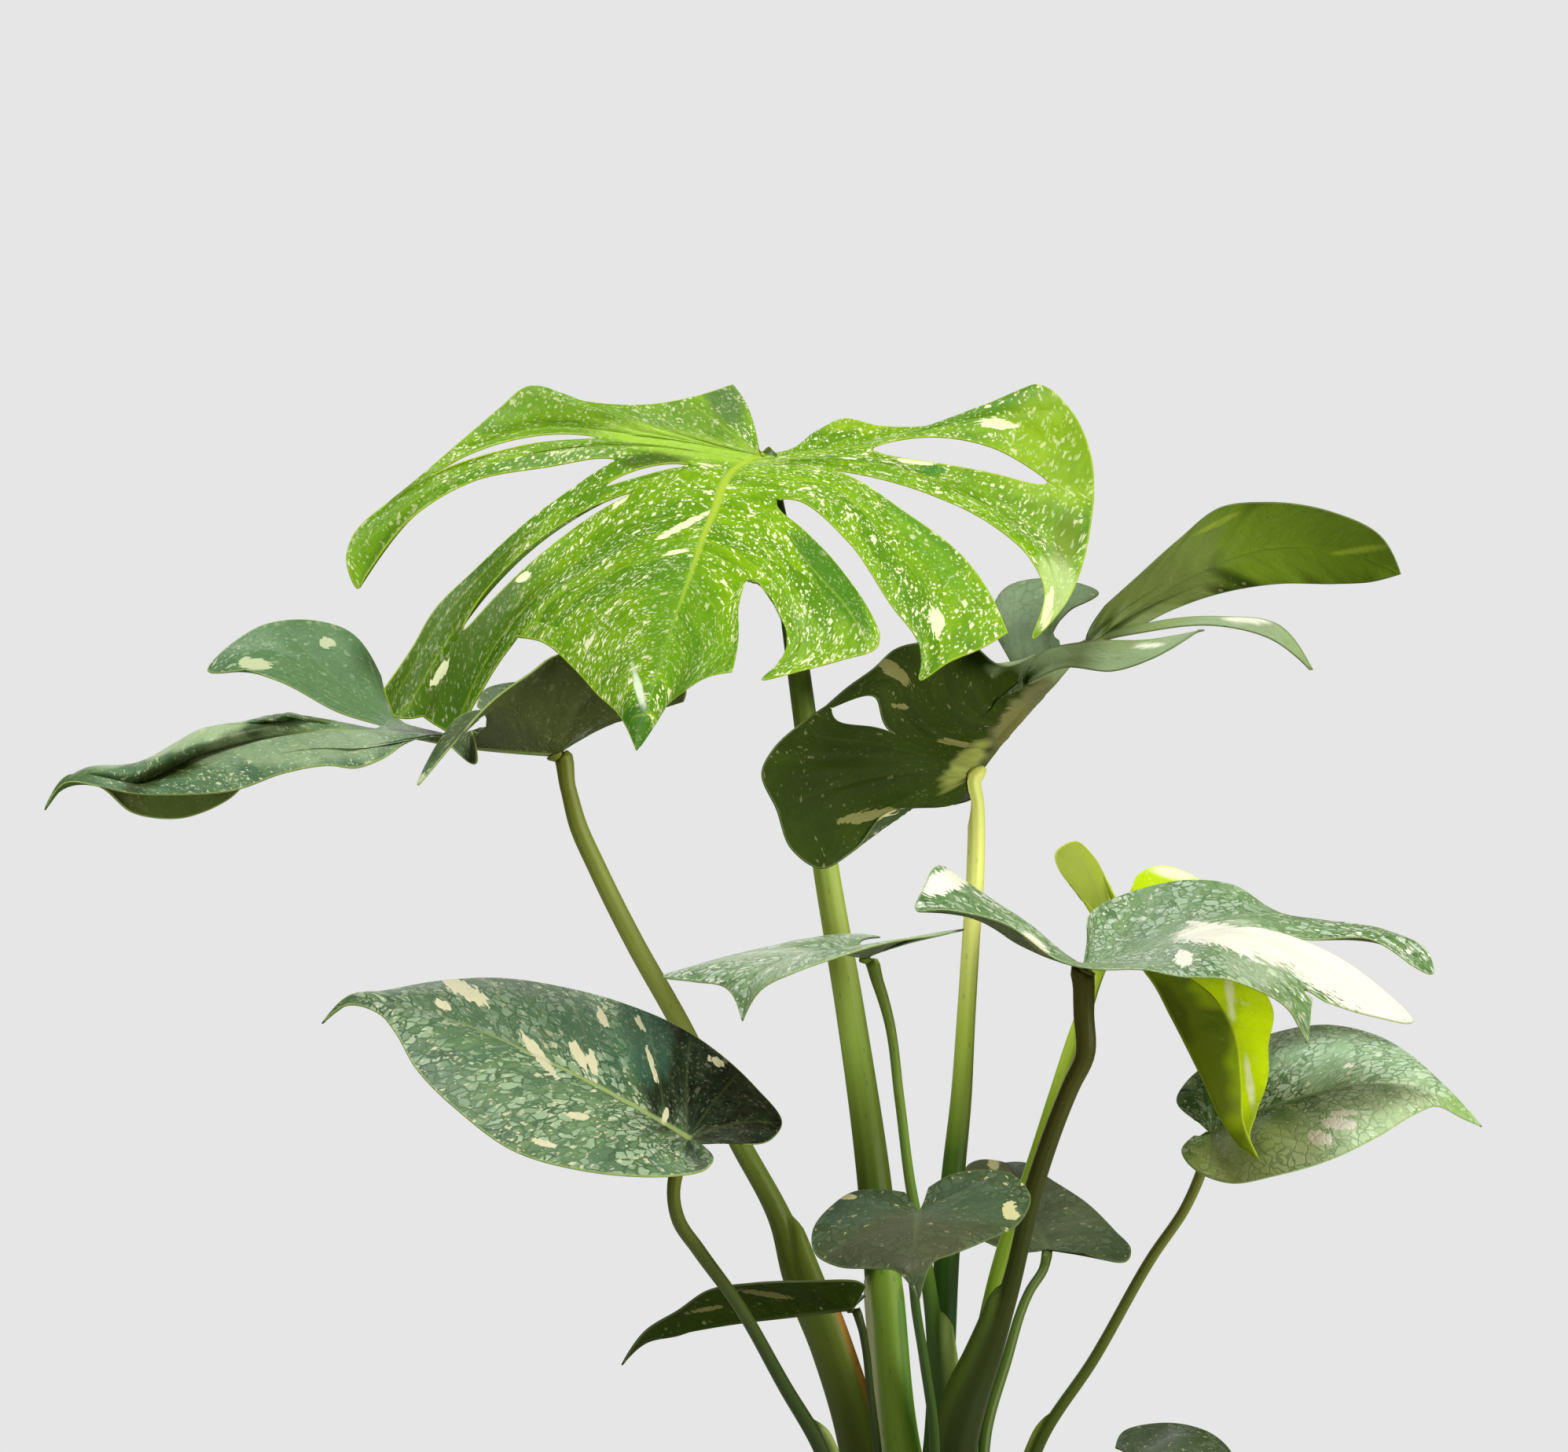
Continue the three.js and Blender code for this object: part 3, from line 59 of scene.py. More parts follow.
# A leaf has a joint, where its stalk ends, a rib from there to the tip, and veins on its left and right:
# each is [share of the rib where it starts, places that it passes, place on the margin]. After a vein,
# ["cut", start, width] is an open slit that begins at that share of the vein, and a hole is a slit that
# closes again, ["hole", start, end, width], with a fifth value where it leans to one side. up is the way
# the upper face looks, and arch how high a vein with no places on its way rises, as a share of its length.
LEAVES = {
    "crown": {
        "joint": [-75, 638, 50],
        "rib": [[-83, 634, 44], [-94, 614, 14], [-104, 587, -32], [-111, 567, -62], [-125, 518, -100]],
        "up": [-0.1, -0.75, 0.65], "arch": 0.06, "detail": "large",
        "left": [
            [0, [-77, 649, 56], [-81, 660, 62], [-86, 667, 66]],
            [0, [-84, 650, 56], [-98, 663, 66]], [0, [-98, 647, 58], [-118, 659, 70]],
            [0, [-112, 648, 62], [-146, 660, 74]], [0, [-125, 650, 65], [-170, 666, 76]],
            [0, [-130, 649, 66], [-180, 658, 74]],
            [0, [-134, 648, 66], [-168, 650, 71], [-194, 646, 68]],
            [0, [-130, 646, 65], [-170, 646, 69], [-209, 633, 62]],
            [0.03, [-128, 644, 62], [-160, 645, 65], [-195, 637, 62], [-226, 619, 54]],
            ["hole", 0.42, 0.86, 9],
            [0.03, [-128, 643, 61], [-160, 642, 63], [-204, 629, 60], [-241, 604, 48]],
            [0.035, [-128, 642, 61], [-160, 640, 62], [-202, 628, 59], [-243, 595, 44]],
            [0.04, [-128, 641, 60], [-160, 638, 61], [-200, 626, 58], [-238, 584, 42]],
            [0.06, [-128, 638, 57], [-160, 633, 58], [-192, 627, 56], [-216, 613, 50], [-236, 588, 42]],
            ["cut", 0.29, 1.2],
            [0.06, [-131, 636, 56], [-160, 619, 46], [-192, 591, 28], [-207, 576, 18], [-217, 559, 9],
             [-228, 543, 0]],
            [0.1, [-104, 634, 45], [-130, 629, 46], [-162, 609, 36], [-192, 581, 20], [-224, 532, -2]],
            ["hole", 0.1, 0.29, 3],
            [0.12, [-104, 631, 40], [-130, 624, 40], [-162, 605, 30], [-192, 575, 14], [-219, 531, -3]],
            [0.15, [-112, 627, 34], [-129, 622, 36], [-163, 602, 26], [-195, 568, 8], [-212, 532, -4]],
            ["hole", 0.22, 0.77, 4],
            [0.2, [-115, 619, 24], [-150, 600, 20], [-186, 565, 6], [-206, 528, -4]],
            [0.25, [-120, 611, 15], [-150, 594, 12], [-182, 562, 2], [-199, 525, -6]],
            [0.3, [-125, 603, 5], [-150, 588, 6], [-178, 565, 0], [-186, 546, -6], [-193, 534, -8]],
            ["cut", 0.84, 0.5],
            [0.3, [-125, 603, 4], [-150, 588, 0], [-173, 564, -14]],
            [0.42, [-125, 592, -14], [-163, 562, -28]], [0.55, [-128, 578, -36], [-151, 552, -46]],
            [0.7, [-128, 560, -58], [-141, 541, -66]], [0.86, [-126, 541, -82], [-131, 531, -86]],
        ],
        "right": [
            [0, [-64, 640, 54], [-58, 642, 60], [-53, 646, 66]],
            [0, [-60, 639, 55], [-50, 648, 68], [-41, 653, 74]],
            [0, [-55, 639, 56], [-26, 650, 74]], [0, [-40, 641, 60], [-6, 650, 74]],
            [0, [-30, 643, 62], [22, 657, 72]], [0, [-20, 645, 63], [38, 667, 68]],
            [0, [-20, 644, 62], [20, 652, 64], [52, 656, 60]],
            [0, [-22, 643, 61], [18, 646, 62], [60, 637, 54]],
            [0.02, [-23, 641, 59], [0, 640, 60], [20, 636, 57], [40, 628, 53], [61, 621, 48]],
            ["hole", 0.35, 0.86, 6.5],
            [0.03, [-23, 638, 58], [20, 627, 54], [60, 612, 42]],
            [0.035, [-23, 636, 57], [20, 622, 52], [57, 596, 36]],
            [0.04, [-22, 634, 56], [19, 617, 50], [44, 597, 38], [49, 577, 26]],
            [0.045, [-22, 631, 55], [19, 613, 48], [41, 593, 36], [43, 578, 25], [36, 564, 18]],
            [0.05, [-40, 631, 53], [-6, 622, 50], [19, 610, 44], [35, 596, 35], [41, 582, 26],
             [39, 572, 20]],
            ["cut", 0.24, 1.2],
            [0.05, [-40, 631, 52], [-16, 616, 40], [10, 595, 22], [19, 582, 12], [26, 566, 0]],
            [0.07, [-40, 627, 48], [-18, 609, 34], [2, 588, 16], [16, 560, -5]],
            [0.09, [-42, 624, 44], [-22, 604, 28], [-4, 580, 8], [2, 554, -10]],
            [0.11, [-46, 621, 40], [-28, 600, 22], [-9, 574, 2], [-7, 555, -12], [-10, 547, -16]],
            [0.14, [-61, 620, 37], [-40, 603, 22], [-21, 576, 2], [-11, 563, -7], [-8, 555, -12]],
            ["cut", 0.2, 1.5],
            [0.14, [-70, 618, 34], [-48, 600, 17], [-37, 586, 5], [-29, 573, -8], [-26, 566, -14]],
            [0.2, [-70, 611, 24], [-48, 590, 6], [-36, 576, -8], [-27, 560, -19]],
            [0.26, [-72, 603, 14], [-55, 586, 0], [-44, 570, -14], [-41, 555, -23]],
            [0.32, [-75, 597, 4], [-62, 582, -6], [-54, 566, -18], [-56, 551, -28]],
            [0.38, [-80, 592, -4], [-67, 575, -13], [-62, 560, -21], [-74, 547, -33]],
            [0.4, [-82, 591, -7], [-69, 576, -13], [-64, 564, -19], [-64, 554, -25]],
            ["cut", 0.35, 1.5],
            [0.4, [-83, 589, -10], [-83, 574, -22], [-83, 565, -28], [-86, 550, -42]],
            [0.5, [-93, 574, -30], [-90, 556, -42], [-96, 548, -52]],
            [0.65, [-102, 560, -54], [-106, 542, -65]], [0.8, [-111, 541, -78], [-116, 533, -82]],
            [0.92, [-118, 529, -90], [-121, 525, -92]],
        ],
    },
    "left_mid": {
        "joint": [-157, 517, 10],
        "rib": [[-192, 520, -2], [-230, 526, -10], [-262, 525, -14], [-300, 517, -18], [-333, 504, -20],
                [-352, 508, -22],
            [-366, 494, -24]],
        "up": [0, -0.25, 1], "arch": 0.05, "detail": "middle",
        "left": [
            [0, [-150, 524, 4], [-128, 531, -6], [-106, 538, -14]],
            [0, [-148, 525, 0], [-128, 535, -12], [-105, 543, -18]],
            [0, [-150, 527, -4], [-135, 539, -18], [-112, 548, -24]],
            [0, [-152, 529, -8], [-141, 543, -20], [-126, 550, -25]],
            [0, [-155, 530, -12], [-149, 544, -24], [-141, 553, -27]],
            [0, [-160, 530, -14], [-157, 546, -27], [-156, 557, -33]],
            [0.03, [-166, 529, -20], [-168, 541, -36], [-169, 549, -46]],
            [0.06, [-172, 528, -24], [-178, 536, -46], [-184, 538, -62]],
            [0.09, [-176, 527, -26], [-184, 534, -50], [-192, 529, -68], [-202, 518, -76]],
            [0.12, [-180, 527, -26], [-188, 533, -50], [-196, 528, -66], [-214, 504, -80]],
            [0.15, [-184, 526, -26], [-190, 534, -48], [-198, 531, -62], [-208, 517, -72]],
            ["cut", 0.45, 1],
            [0.18, [-188, 524, -24], [-192, 526, -46], [-191, 521, -60]],
            [0.22, [-194, 524, -24], [-195, 523, -44], [-190, 514, -62]],
            [0.26, [-200, 524, -22], [-201, 525, -40], [-203, 522, -46]],
            ["cut", 0.6, 0.6],
            [0.3, [-212, 524, -20], [-220, 521, -30]], [0.36, [-230, 514, -40]], [0.42, [-239, 511, -42]],
            [0.5, [-250, 512, -42]], [0.6, [-268, 509, -42]], [0.72, [-288, 502, -40]],
            [0.82, [-310, 500, -34]], [0.9, [-333, 501, -28]], [0.95, [-346, 504, -26]],
            [0.98, [-357, 505, -25]],
        ],
        "right": [
            [0, [-148, 523, 20], [-138, 530, 40]], [0, [-140, 528, 40], [-122, 536, 70]],
            [0, [-146, 530, 50], [-138, 541, 88]], [0, [-156, 528, 50], [-160, 546, 94]],
            [0.05, [-170, 528, 46], [-184, 544, 90]], [0.1, [-176, 525, 34], [-190, 536, 66]],
            ["cut", 0.3, 1],
            [0.16, [-206, 524, 20], [-222, 530, 46], [-229, 548, 70]],
            [0.2, [-212, 525, 20], [-228, 537, 48], [-243, 567, 80]],
            [0.24, [-216, 526, 20], [-236, 541, 52], [-258, 571, 82]],
            [0.28, [-220, 527, 20], [-244, 542, 52], [-277, 569, 76]],
            [0.32, [-222, 527, 18], [-248, 540, 48], [-276, 556, 64], [-299, 550, 60]],
            [0.34, [-226, 527, 14], [-248, 534, 38], [-270, 546, 50], [-284, 551, 54]],
            ["cut", 0.28, 1],
            [0.36, [-240, 526, 0], [-254, 529, 8]],
            [0.44, [-258, 530, -16], [-258, 531, -2], [-258, 530, 8]],
            [0.5, [-271, 529, -20], [-270, 532, -12], [-271, 531, 8]],
            [0.58, [-286, 525, -23], [-284, 529, -16], [-290, 524, 4], [-288, 514, 18]],
            [0.66, [-301, 521, -25], [-299, 526, -18], [-303, 522, 6], [-300, 514, 20], [-286, 503.5, 29]],
            [0.74, [-316, 515, -26], [-313, 520, -18], [-317, 515, 2], [-316, 505, 18], [-308, 491, 26]],
            [0.84, [-334, 508, -24], [-332, 512, -16], [-335, 508, -4], [-334, 500, 12], [-328, 492, 16]],
            [0.92, [-348, 510, -10], [-343, 503, -4]], [0.96, [-356, 508, -16]],
        ],
    },
    "right_mid": {
        "joint": [12, 507, 42],
        "rib": [[26, 525, 62], [42, 543, 80], [59, 562, 96], [76, 575, 106], [96, 587, 112],
                [128, 600, 114],
            [160, 600, 112], [186, 590, 104]],
        "up": [-0.5, 0.55, 0.65], "arch": 0.05, "detail": "middle",
        "left": [
            [0, [8, 499, 36], [-10, 495, 22]], [0, [-4, 498, 26], [-24, 492, 8]],
            [0, [-10, 499, 22], [-37, 477, -6]],
            [0, [-14, 503, 22], [-40, 492, 2], [-50, 470, -10]],
            [0, [-16, 506, 22], [-46, 497, 0], [-62, 478, -12]],
            [0, [-16, 509, 22], [-46, 503, 0], [-68, 494, -12]],
            [0, [-16, 511, 22], [-46, 510, 0], [-74, 509, -12]],
            [0, [-14, 514, 24], [-44, 516, 4], [-69, 519, -8]],
            [0.02, [-12, 517, 26], [-36, 523, 8], [-58, 529, -4]],
            [0.05, [-12, 521, 28], [-31, 530, 14], [-48, 536, 4]],
            ["hole", 0.58, 0.97, 10, 0.4],
            [0.07, [-10, 525, 32], [-26, 537, 18], [-40, 543, 8]],
            [0.09, [-4, 526, 36], [-18, 543, 24], [-29, 551, 16]],
            [0.12, [0, 530, 42], [-12, 550, 30], [-20, 559, 24]],
            [0.15, [6, 533, 48], [-4, 553, 38], [-8, 562, 34]],
            [0.18, [14, 537, 54], [8, 553, 46], [10, 562, 38]],
            [0.2, [19, 540, 58], [16, 552, 50], [22, 553, 36]],
            [0.22, [31, 546, 62], [33, 553, 55], [37, 557, 49]],
            ["cut", 0.3, 0.3],
            [0.24, [28, 548, 61.5], [38, 557, 54.5], [58, 562, 50], [83, 563, 42], [106, 567, 38]],
            [0.27, [36, 547, 66], [50, 553, 54], [70, 551, 44], [86, 556, 36], [104, 567, 34]],
            ["cut", 0.12, 0.6],
            [0.31, [60, 561, 84], [80, 568, 78], [112, 572, 70], [136, 569, 64], [150, 551, 58]],
            [0.34, [64, 563, 86], [82, 567, 78], [112, 569, 68], [134, 563, 62], [149, 551, 57]],
            ["cut", 0.1, 0.8],
            [0.36, [66, 577, 98]], [0.4, [77, 587, 99]], [0.5, [96, 604, 96]], [0.58, [113, 617, 90]],
            [0.68, [131, 619, 88]], [0.8, [158, 615, 90]], [0.92, [178, 605, 96]],
        ],
        "right": [
            [0, [13, 500, 60], [4, 496, 84]], [0, [14, 505, 74], [-6, 508, 118]],
            [0, [10, 515, 86], [-12, 528, 130]], [0.04, [14, 524, 96], [-6, 546, 136]],
            [0.08, [18, 532, 100], [8, 560, 138]],
            ["cut", 0.45, 1.5],
            [0.12, [30, 544, 106], [18, 570, 134]], [0.16, [34, 552, 110], [25, 584, 140]],
            [0.2, [40, 556, 112], [40, 588, 144]],
            [0.24, [44, 560, 110], [50, 582, 134], [63, 582, 136]],
            [0.27, [44, 560, 108], [47, 570, 122], [52, 576, 126]],
            ["cut", 0.5, 1],
            [0.32, [60, 562, 102]], [0.37, [78, 568, 108]], [0.48, [92, 575, 116]], [0.58, [112, 582, 122]],
            [0.7, [136, 586, 124]], [0.82, [160, 586, 120]], [0.92, [175, 587, 110]],
        ],
    },
    "right_low": {
        "joint": [57, 430, -50],
        "rib": [[80, 436, -64], [112, 440, -84], [128, 431, -94], [141, 418, -100], [148, 399, -102]],
        "up": [0, -0.1, 1], "arch": 0.04, "detail": "middle",
        "left": [
            [0, [48, 436, -40], [36, 446, -34], [18, 458, -28], [5, 467, -24]],
            [0, [48, 435, -46], [34, 444, -46], [16, 456, -44], [-2, 471, -38]],
            [0, [46, 434, -54], [30, 441, -60], [14, 451, -62], [-8, 462, -60]],
            [0, [46, 433, -60], [30, 440, -70], [12, 450, -76], [-11, 453, -78]],
            [0, [48, 432, -66], [32, 439, -80], [16, 449, -90], [2, 453, -94]],
            [0, [52, 431, -72], [38, 438, -92], [26, 447, -104]],
            [0, [56, 431, -80], [46, 433, -108]], [0.08, [64, 431, -88], [62, 429, -122]],
            [0.2, [78, 431, -96], [80, 429, -128]], [0.34, [96, 434, -108], [97, 426, -136]],
            [0.48, [112, 434, -116], [115, 425, -138]], [0.62, [122, 428, -116], [129, 420, -132]],
            [0.8, [140, 413, -120]], [0.92, [146, 403, -108]],
        ],
        "right": [
            [0, [58, 436, -40], [59, 442, -26]], [0, [59, 438, -32], [59, 450, -10]],
            [0, [62, 440, -24], [66, 456, 8]], [0.05, [74, 442, -20], [82, 462, 14]],
            [0.12, [88, 445, -24], [99, 465, 12]], [0.18, [100, 448, -26], [118, 463, 6]],
            [0.22, [112, 450, -28], [134, 453, 0]],
            [0.26, [116, 449, -32], [150, 449, -6], [182, 444, -10]],
            [0.29, [118, 448, -36], [150, 446, -16], [182, 442, -20], [197, 436, -22]],
            [0.31, [120, 446, -40], [150, 442, -24], [180, 439, -28], [199, 427, -30]],
            [0.33, [122, 445, -44], [150, 441, -32], [174, 441, -34], [190, 431, -34]],
            ["cut", 0.3, 0.6],
            [0.38, [122, 446, -58], [138, 443, -52], [160, 434, -54], [184, 416, -60]],
            [0.44, [124, 443, -68], [150, 430, -68], [191, 408, -68]],
            [0.5, [124, 440, -76], [150, 424, -80], [174, 410, -80]],
            [0.58, [128, 436, -86], [144, 423, -88], [155, 416, -90]],
            ["cut", 0.8, 0.6],
            [0.7, [140, 424, -92], [150, 417, -92]], [0.85, [149, 408, -98]],
        ],
    },
    "left_low": {
        "joint": [-104, 360, -70],
        "rib": [[-141, 381, -74], [-163, 392, -74], [-192, 405, -72], [-225, 415, -68], [-240, 416, -66],
                [-253, 407, -66]],
        "up": [0, -0.6, 0.8], "arch": 0.09, "detail": "small",
        "left": [
            [0, [-99, 357, -74], [-96, 355, -76]], [0, [-98, 356, -80], [-94, 351, -90]],
            [0, [-102, 353, -84], [-98, 347, -102]], [0, [-112, 354, -92], [-108, 345, -112]],
            [0.06, [-147, 347, -118]], [0.2, [-175, 355, -116]], [0.36, [-196, 370, -108]],
            [0.55, [-215, 389, -96]], [0.72, [-223, 403, -86]], [0.84, [-230, 411, -76]],
            [0.93, [-244, 414, -68]],
        ],
        "right": [
            [0, [-99, 358, -66], [-94, 360, -60]], [0, [-88, 362, -56], [-70, 360, -42]],
            [0, [-86, 366, -54], [-66, 366, -34]], [0, [-92, 371, -52], [-77, 381, -24]],
            [0, [-104, 380, -48], [-102, 402, -18]], [0.1, [-134, 416, -16]], [0.28, [-158, 422, -20]],
            [0.45, [-179, 425, -28]], [0.62, [-205, 424, -40]], [0.78, [-228, 420, -54]],
            [0.9, [-242, 418, -62]],
        ],
    },
    "centre_small": {
        "joint": [-31, 434, -56],
        "rib": [[-50, 436, -76], [-66, 432, -94], [-78, 424, -108], [-82, 408, -116]],
        "up": [0, -0.2, 1], "arch": 0.04, "detail": "small",
        "left": [
            [0, [-23, 437, -66], [-14, 440, -78]], [0, [-18, 440, -72], [8, 445, -84]],
            [0, [-20, 440, -80], [-2, 443, -98]], [0.05, [-28, 439, -86], [-22, 440, -108]],
            [0.25, [-46, 433, -118]], [0.5, [-60, 428, -124]], [0.75, [-74, 421, -122]],
        ],
        "right": [
            [0, [-34, 440, -46], [-26, 442, -36]], [0, [-42, 441, -42], [-38, 443, -18]],
            [0, [-50, 440, -48], [-60, 440, -20]], [0.1, [-84, 435, -36]], [0.28, [-102, 430, -54]],
            [0.44, [-114, 426, -70]], [0.62, [-102, 424, -88]], [0.8, [-88, 421, -102]],
        ],
    },
    "centre_front": {
        "joint": [-10, 330, -92],
        "rib": [[-11, 326, -108], [-12, 318, -124], [-13, 306, -136], [-10, 294, -138]],
        "up": [0, -0.75, 0.65], "arch": 0.07, "detail": "small",
        "left": [
            [0, [-13, 334, -86], [-16, 338, -82]], [0, [-19, 334, -86], [-25, 339, -78]],
            [0, [-24, 332, -90], [-37, 338, -80]], [0.03, [-46, 332, -86]], [0.12, [-53, 323, -96]],
            [0.25, [-52, 313, -108]], [0.42, [-43, 308, -118]], [0.62, [-29, 307, -128]],
            [0.8, [-19, 306, -134]], [0.92, [-14, 301, -137]],
        ],
        "right": [
            [0, [-8, 334, -86], [-6, 340, -80]], [0, [-3, 335, -86], [3, 345, -76]],
            [0, [4, 335, -88], [16, 347, -76]], [0.02, [28, 345, -80]], [0.1, [35, 337, -88]],
            [0.22, [31, 326, -100]], [0.4, [16, 318, -114]], [0.6, [4, 313, -126]], [0.78, [-5, 309, -133]],
            [0.92, [-8, 302, -137]],
        ],
    },
    "right_heart": {
        "joint": [109, 362, -36],
        "rib": [[141, 375, -40], [173, 382, -42], [195, 380, -44], [208, 373, -48], [219, 365, -54]],
        "up": [0, -0.65, 0.75], "arch": 0.09, "detail": "small",
        "left": [
            [0, [106, 361, -40], [102, 361, -44]], [0, [104, 358, -46], [97, 355, -54]],
            [0, [106, 354, -52], [103, 347, -66]], [0, [112, 353, -56], [117, 342, -76]],
            [0.1, [135, 345, -82]], [0.28, [156, 351, -82]], [0.48, [177, 361, -76]],
            [0.66, [192, 370, -66]], [0.8, [202, 373, -56]], [0.92, [212, 368, -54]],
        ],
        "right": [
            [0, [106, 365, -32], [102, 368, -28]], [0, [103, 369, -28], [95, 375, -18]],
            [0, [105, 374, -24], [99, 383, -8]], [0, [112, 378, -20], [112, 393, 0]], [0.08, [132, 402, 2]],
            [0.24, [157, 406, -2]], [0.42, [178, 401, -10]], [0.58, [191, 393, -20]],
            [0.74, [200, 385, -32]], [0.88, [211, 374, -46]],
        ],
    },
    "back_right": {
        "joint": [42, 315, 54],
        "rib": [[38, 324, 72], [33, 335, 92], [29, 345, 112], [25, 350, 130]],
        "up": [0, 0.5, 0.85], "arch": 0.06, "detail": "small",
        "left": [
            [0, [36, 314, 46], [28, 314, 38]], [0, [28, 317, 46], [14, 320, 36]],
            [0, [24, 322, 54], [6, 330, 48]], [0.1, [7, 341, 66]], [0.3, [9, 348, 84]],
            [0.55, [14, 351, 104]], [0.8, [20, 351, 120]],
        ],
        "right": [
            [0, [48, 314, 48], [58, 313, 40]], [0, [54, 314, 48], [74, 310, 40]],
            [0, [56, 317, 54], [76, 315, 50]], [0.08, [70, 322, 64]], [0.28, [59, 333, 82]],
            [0.52, [44, 343, 102]], [0.78, [33, 350, 120]],
        ],
    },
    "left_back": {
        "joint": [-37, 291, -26],
        "rib": [[-62, 288, -25], [-86, 285, -24], [-108, 281, -24], [-122, 278, -26], [-131, 268, -30]],
        "up": [0, 0.2, 1], "arch": 0.05, "detail": "small",
        "left": [
            [0, [-34, 296, -31], [-32, 300, -36]], [0, [-38, 297, -36], [-36, 302, -46]],
            [0, [-48, 297, -40], [-54, 302, -50]], [0.2, [-78, 301, -49]], [0.42, [-96, 298, -44]],
            [0.64, [-108, 290, -38]], [0.82, [-122, 281, -32]],
        ],
        "right": [
            [0, [-35, 293, -20], [-32, 296, -14]], [0, [-38, 294, -14], [-37, 296, -5]],
            [0, [-46, 293, -12], [-52, 295, -1]], [0.2, [-76, 291, 0]], [0.42, [-94, 285, -4]],
            [0.64, [-108, 280, -12]], [0.82, [-121, 277, -20]],
        ],
    },
    "low_front": {
        "joint": [76, 228, -62],
        "rib": [[90, 228, -78], [104, 222, -92], [112, 210, -102]],
        "up": [0, -0.3, 1], "arch": 0.08, "detail": "small",
        "left": [
            [0, [72, 227, -68], [68, 226, -74]], [0, [70, 224, -76], [62, 220, -86]],
            [0, [74, 222, -82], [68, 214, -98]], [0.2, [82, 212, -106]], [0.5, [96, 209, -110]],
            [0.8, [107, 208, -108]],
        ],
        "right": [
            [0, [74, 232, -54], [70, 234, -46]], [0, [78, 235, -48], [74, 241, -34]],
            [0, [86, 237, -48], [90, 244, -34]], [0.2, [106, 241, -44]], [0.5, [117, 232, -62]],
            [0.8, [116, 219, -86]],
        ],
    },
    "unfurling": {
        "joint": [66, 434, 24],
        "rib": [[75, 435, 15], [84, 426, 2], [93, 410, -16], [105, 386, -42], [115, 365, -66],
                [121, 357, -77],
            [128, 352, -84]],
        "up": [0.9, -0.35, 0.3], "arch": 0.04, "detail": "small",
        "left": [
            [0, [65, 442, 26], [62, 452, 30]],
            [0, [64, 450, 30], [56, 466, 36], [47, 478, 42]],
            [0, [66, 452, 30], [60, 470, 38], [54, 481, 44]],
            [0, [68, 452, 30], [64, 468, 38], [60, 476, 42]],
            [0, [70, 450, 28], [67, 462, 34], [65, 468, 38]],
            [0, [72, 445, 22], [72, 453, 24], [70, 458, 28]],
            [0.06, [82, 440, 6], [88, 436, 0]], [0.2, [98, 427, -26]], [0.36, [111, 416, -46]],
            [0.52, [119, 400, -60]], [0.68, [121, 382, -70]], [0.84, [122, 366, -80]],
        ],
        "right": [
            [0, [69, 438, 32], [76, 450, 44]], [0, [73, 444, 38], [80, 468, 54]],
            [0, [78, 448, 40], [88, 471, 58]], [0, [84, 446, 38], [106, 464, 54]],
            [0.06, [96, 436, 26], [116, 448, 42]], [0.16, [124, 430, 22]], [0.3, [134, 412, 4]],
            [0.46, [132, 398, -12]], [0.62, [132, 386, -28]], [0.78, [127, 370, -52]],
            [0.92, [125, 358, -76]],
        ],
    },
}

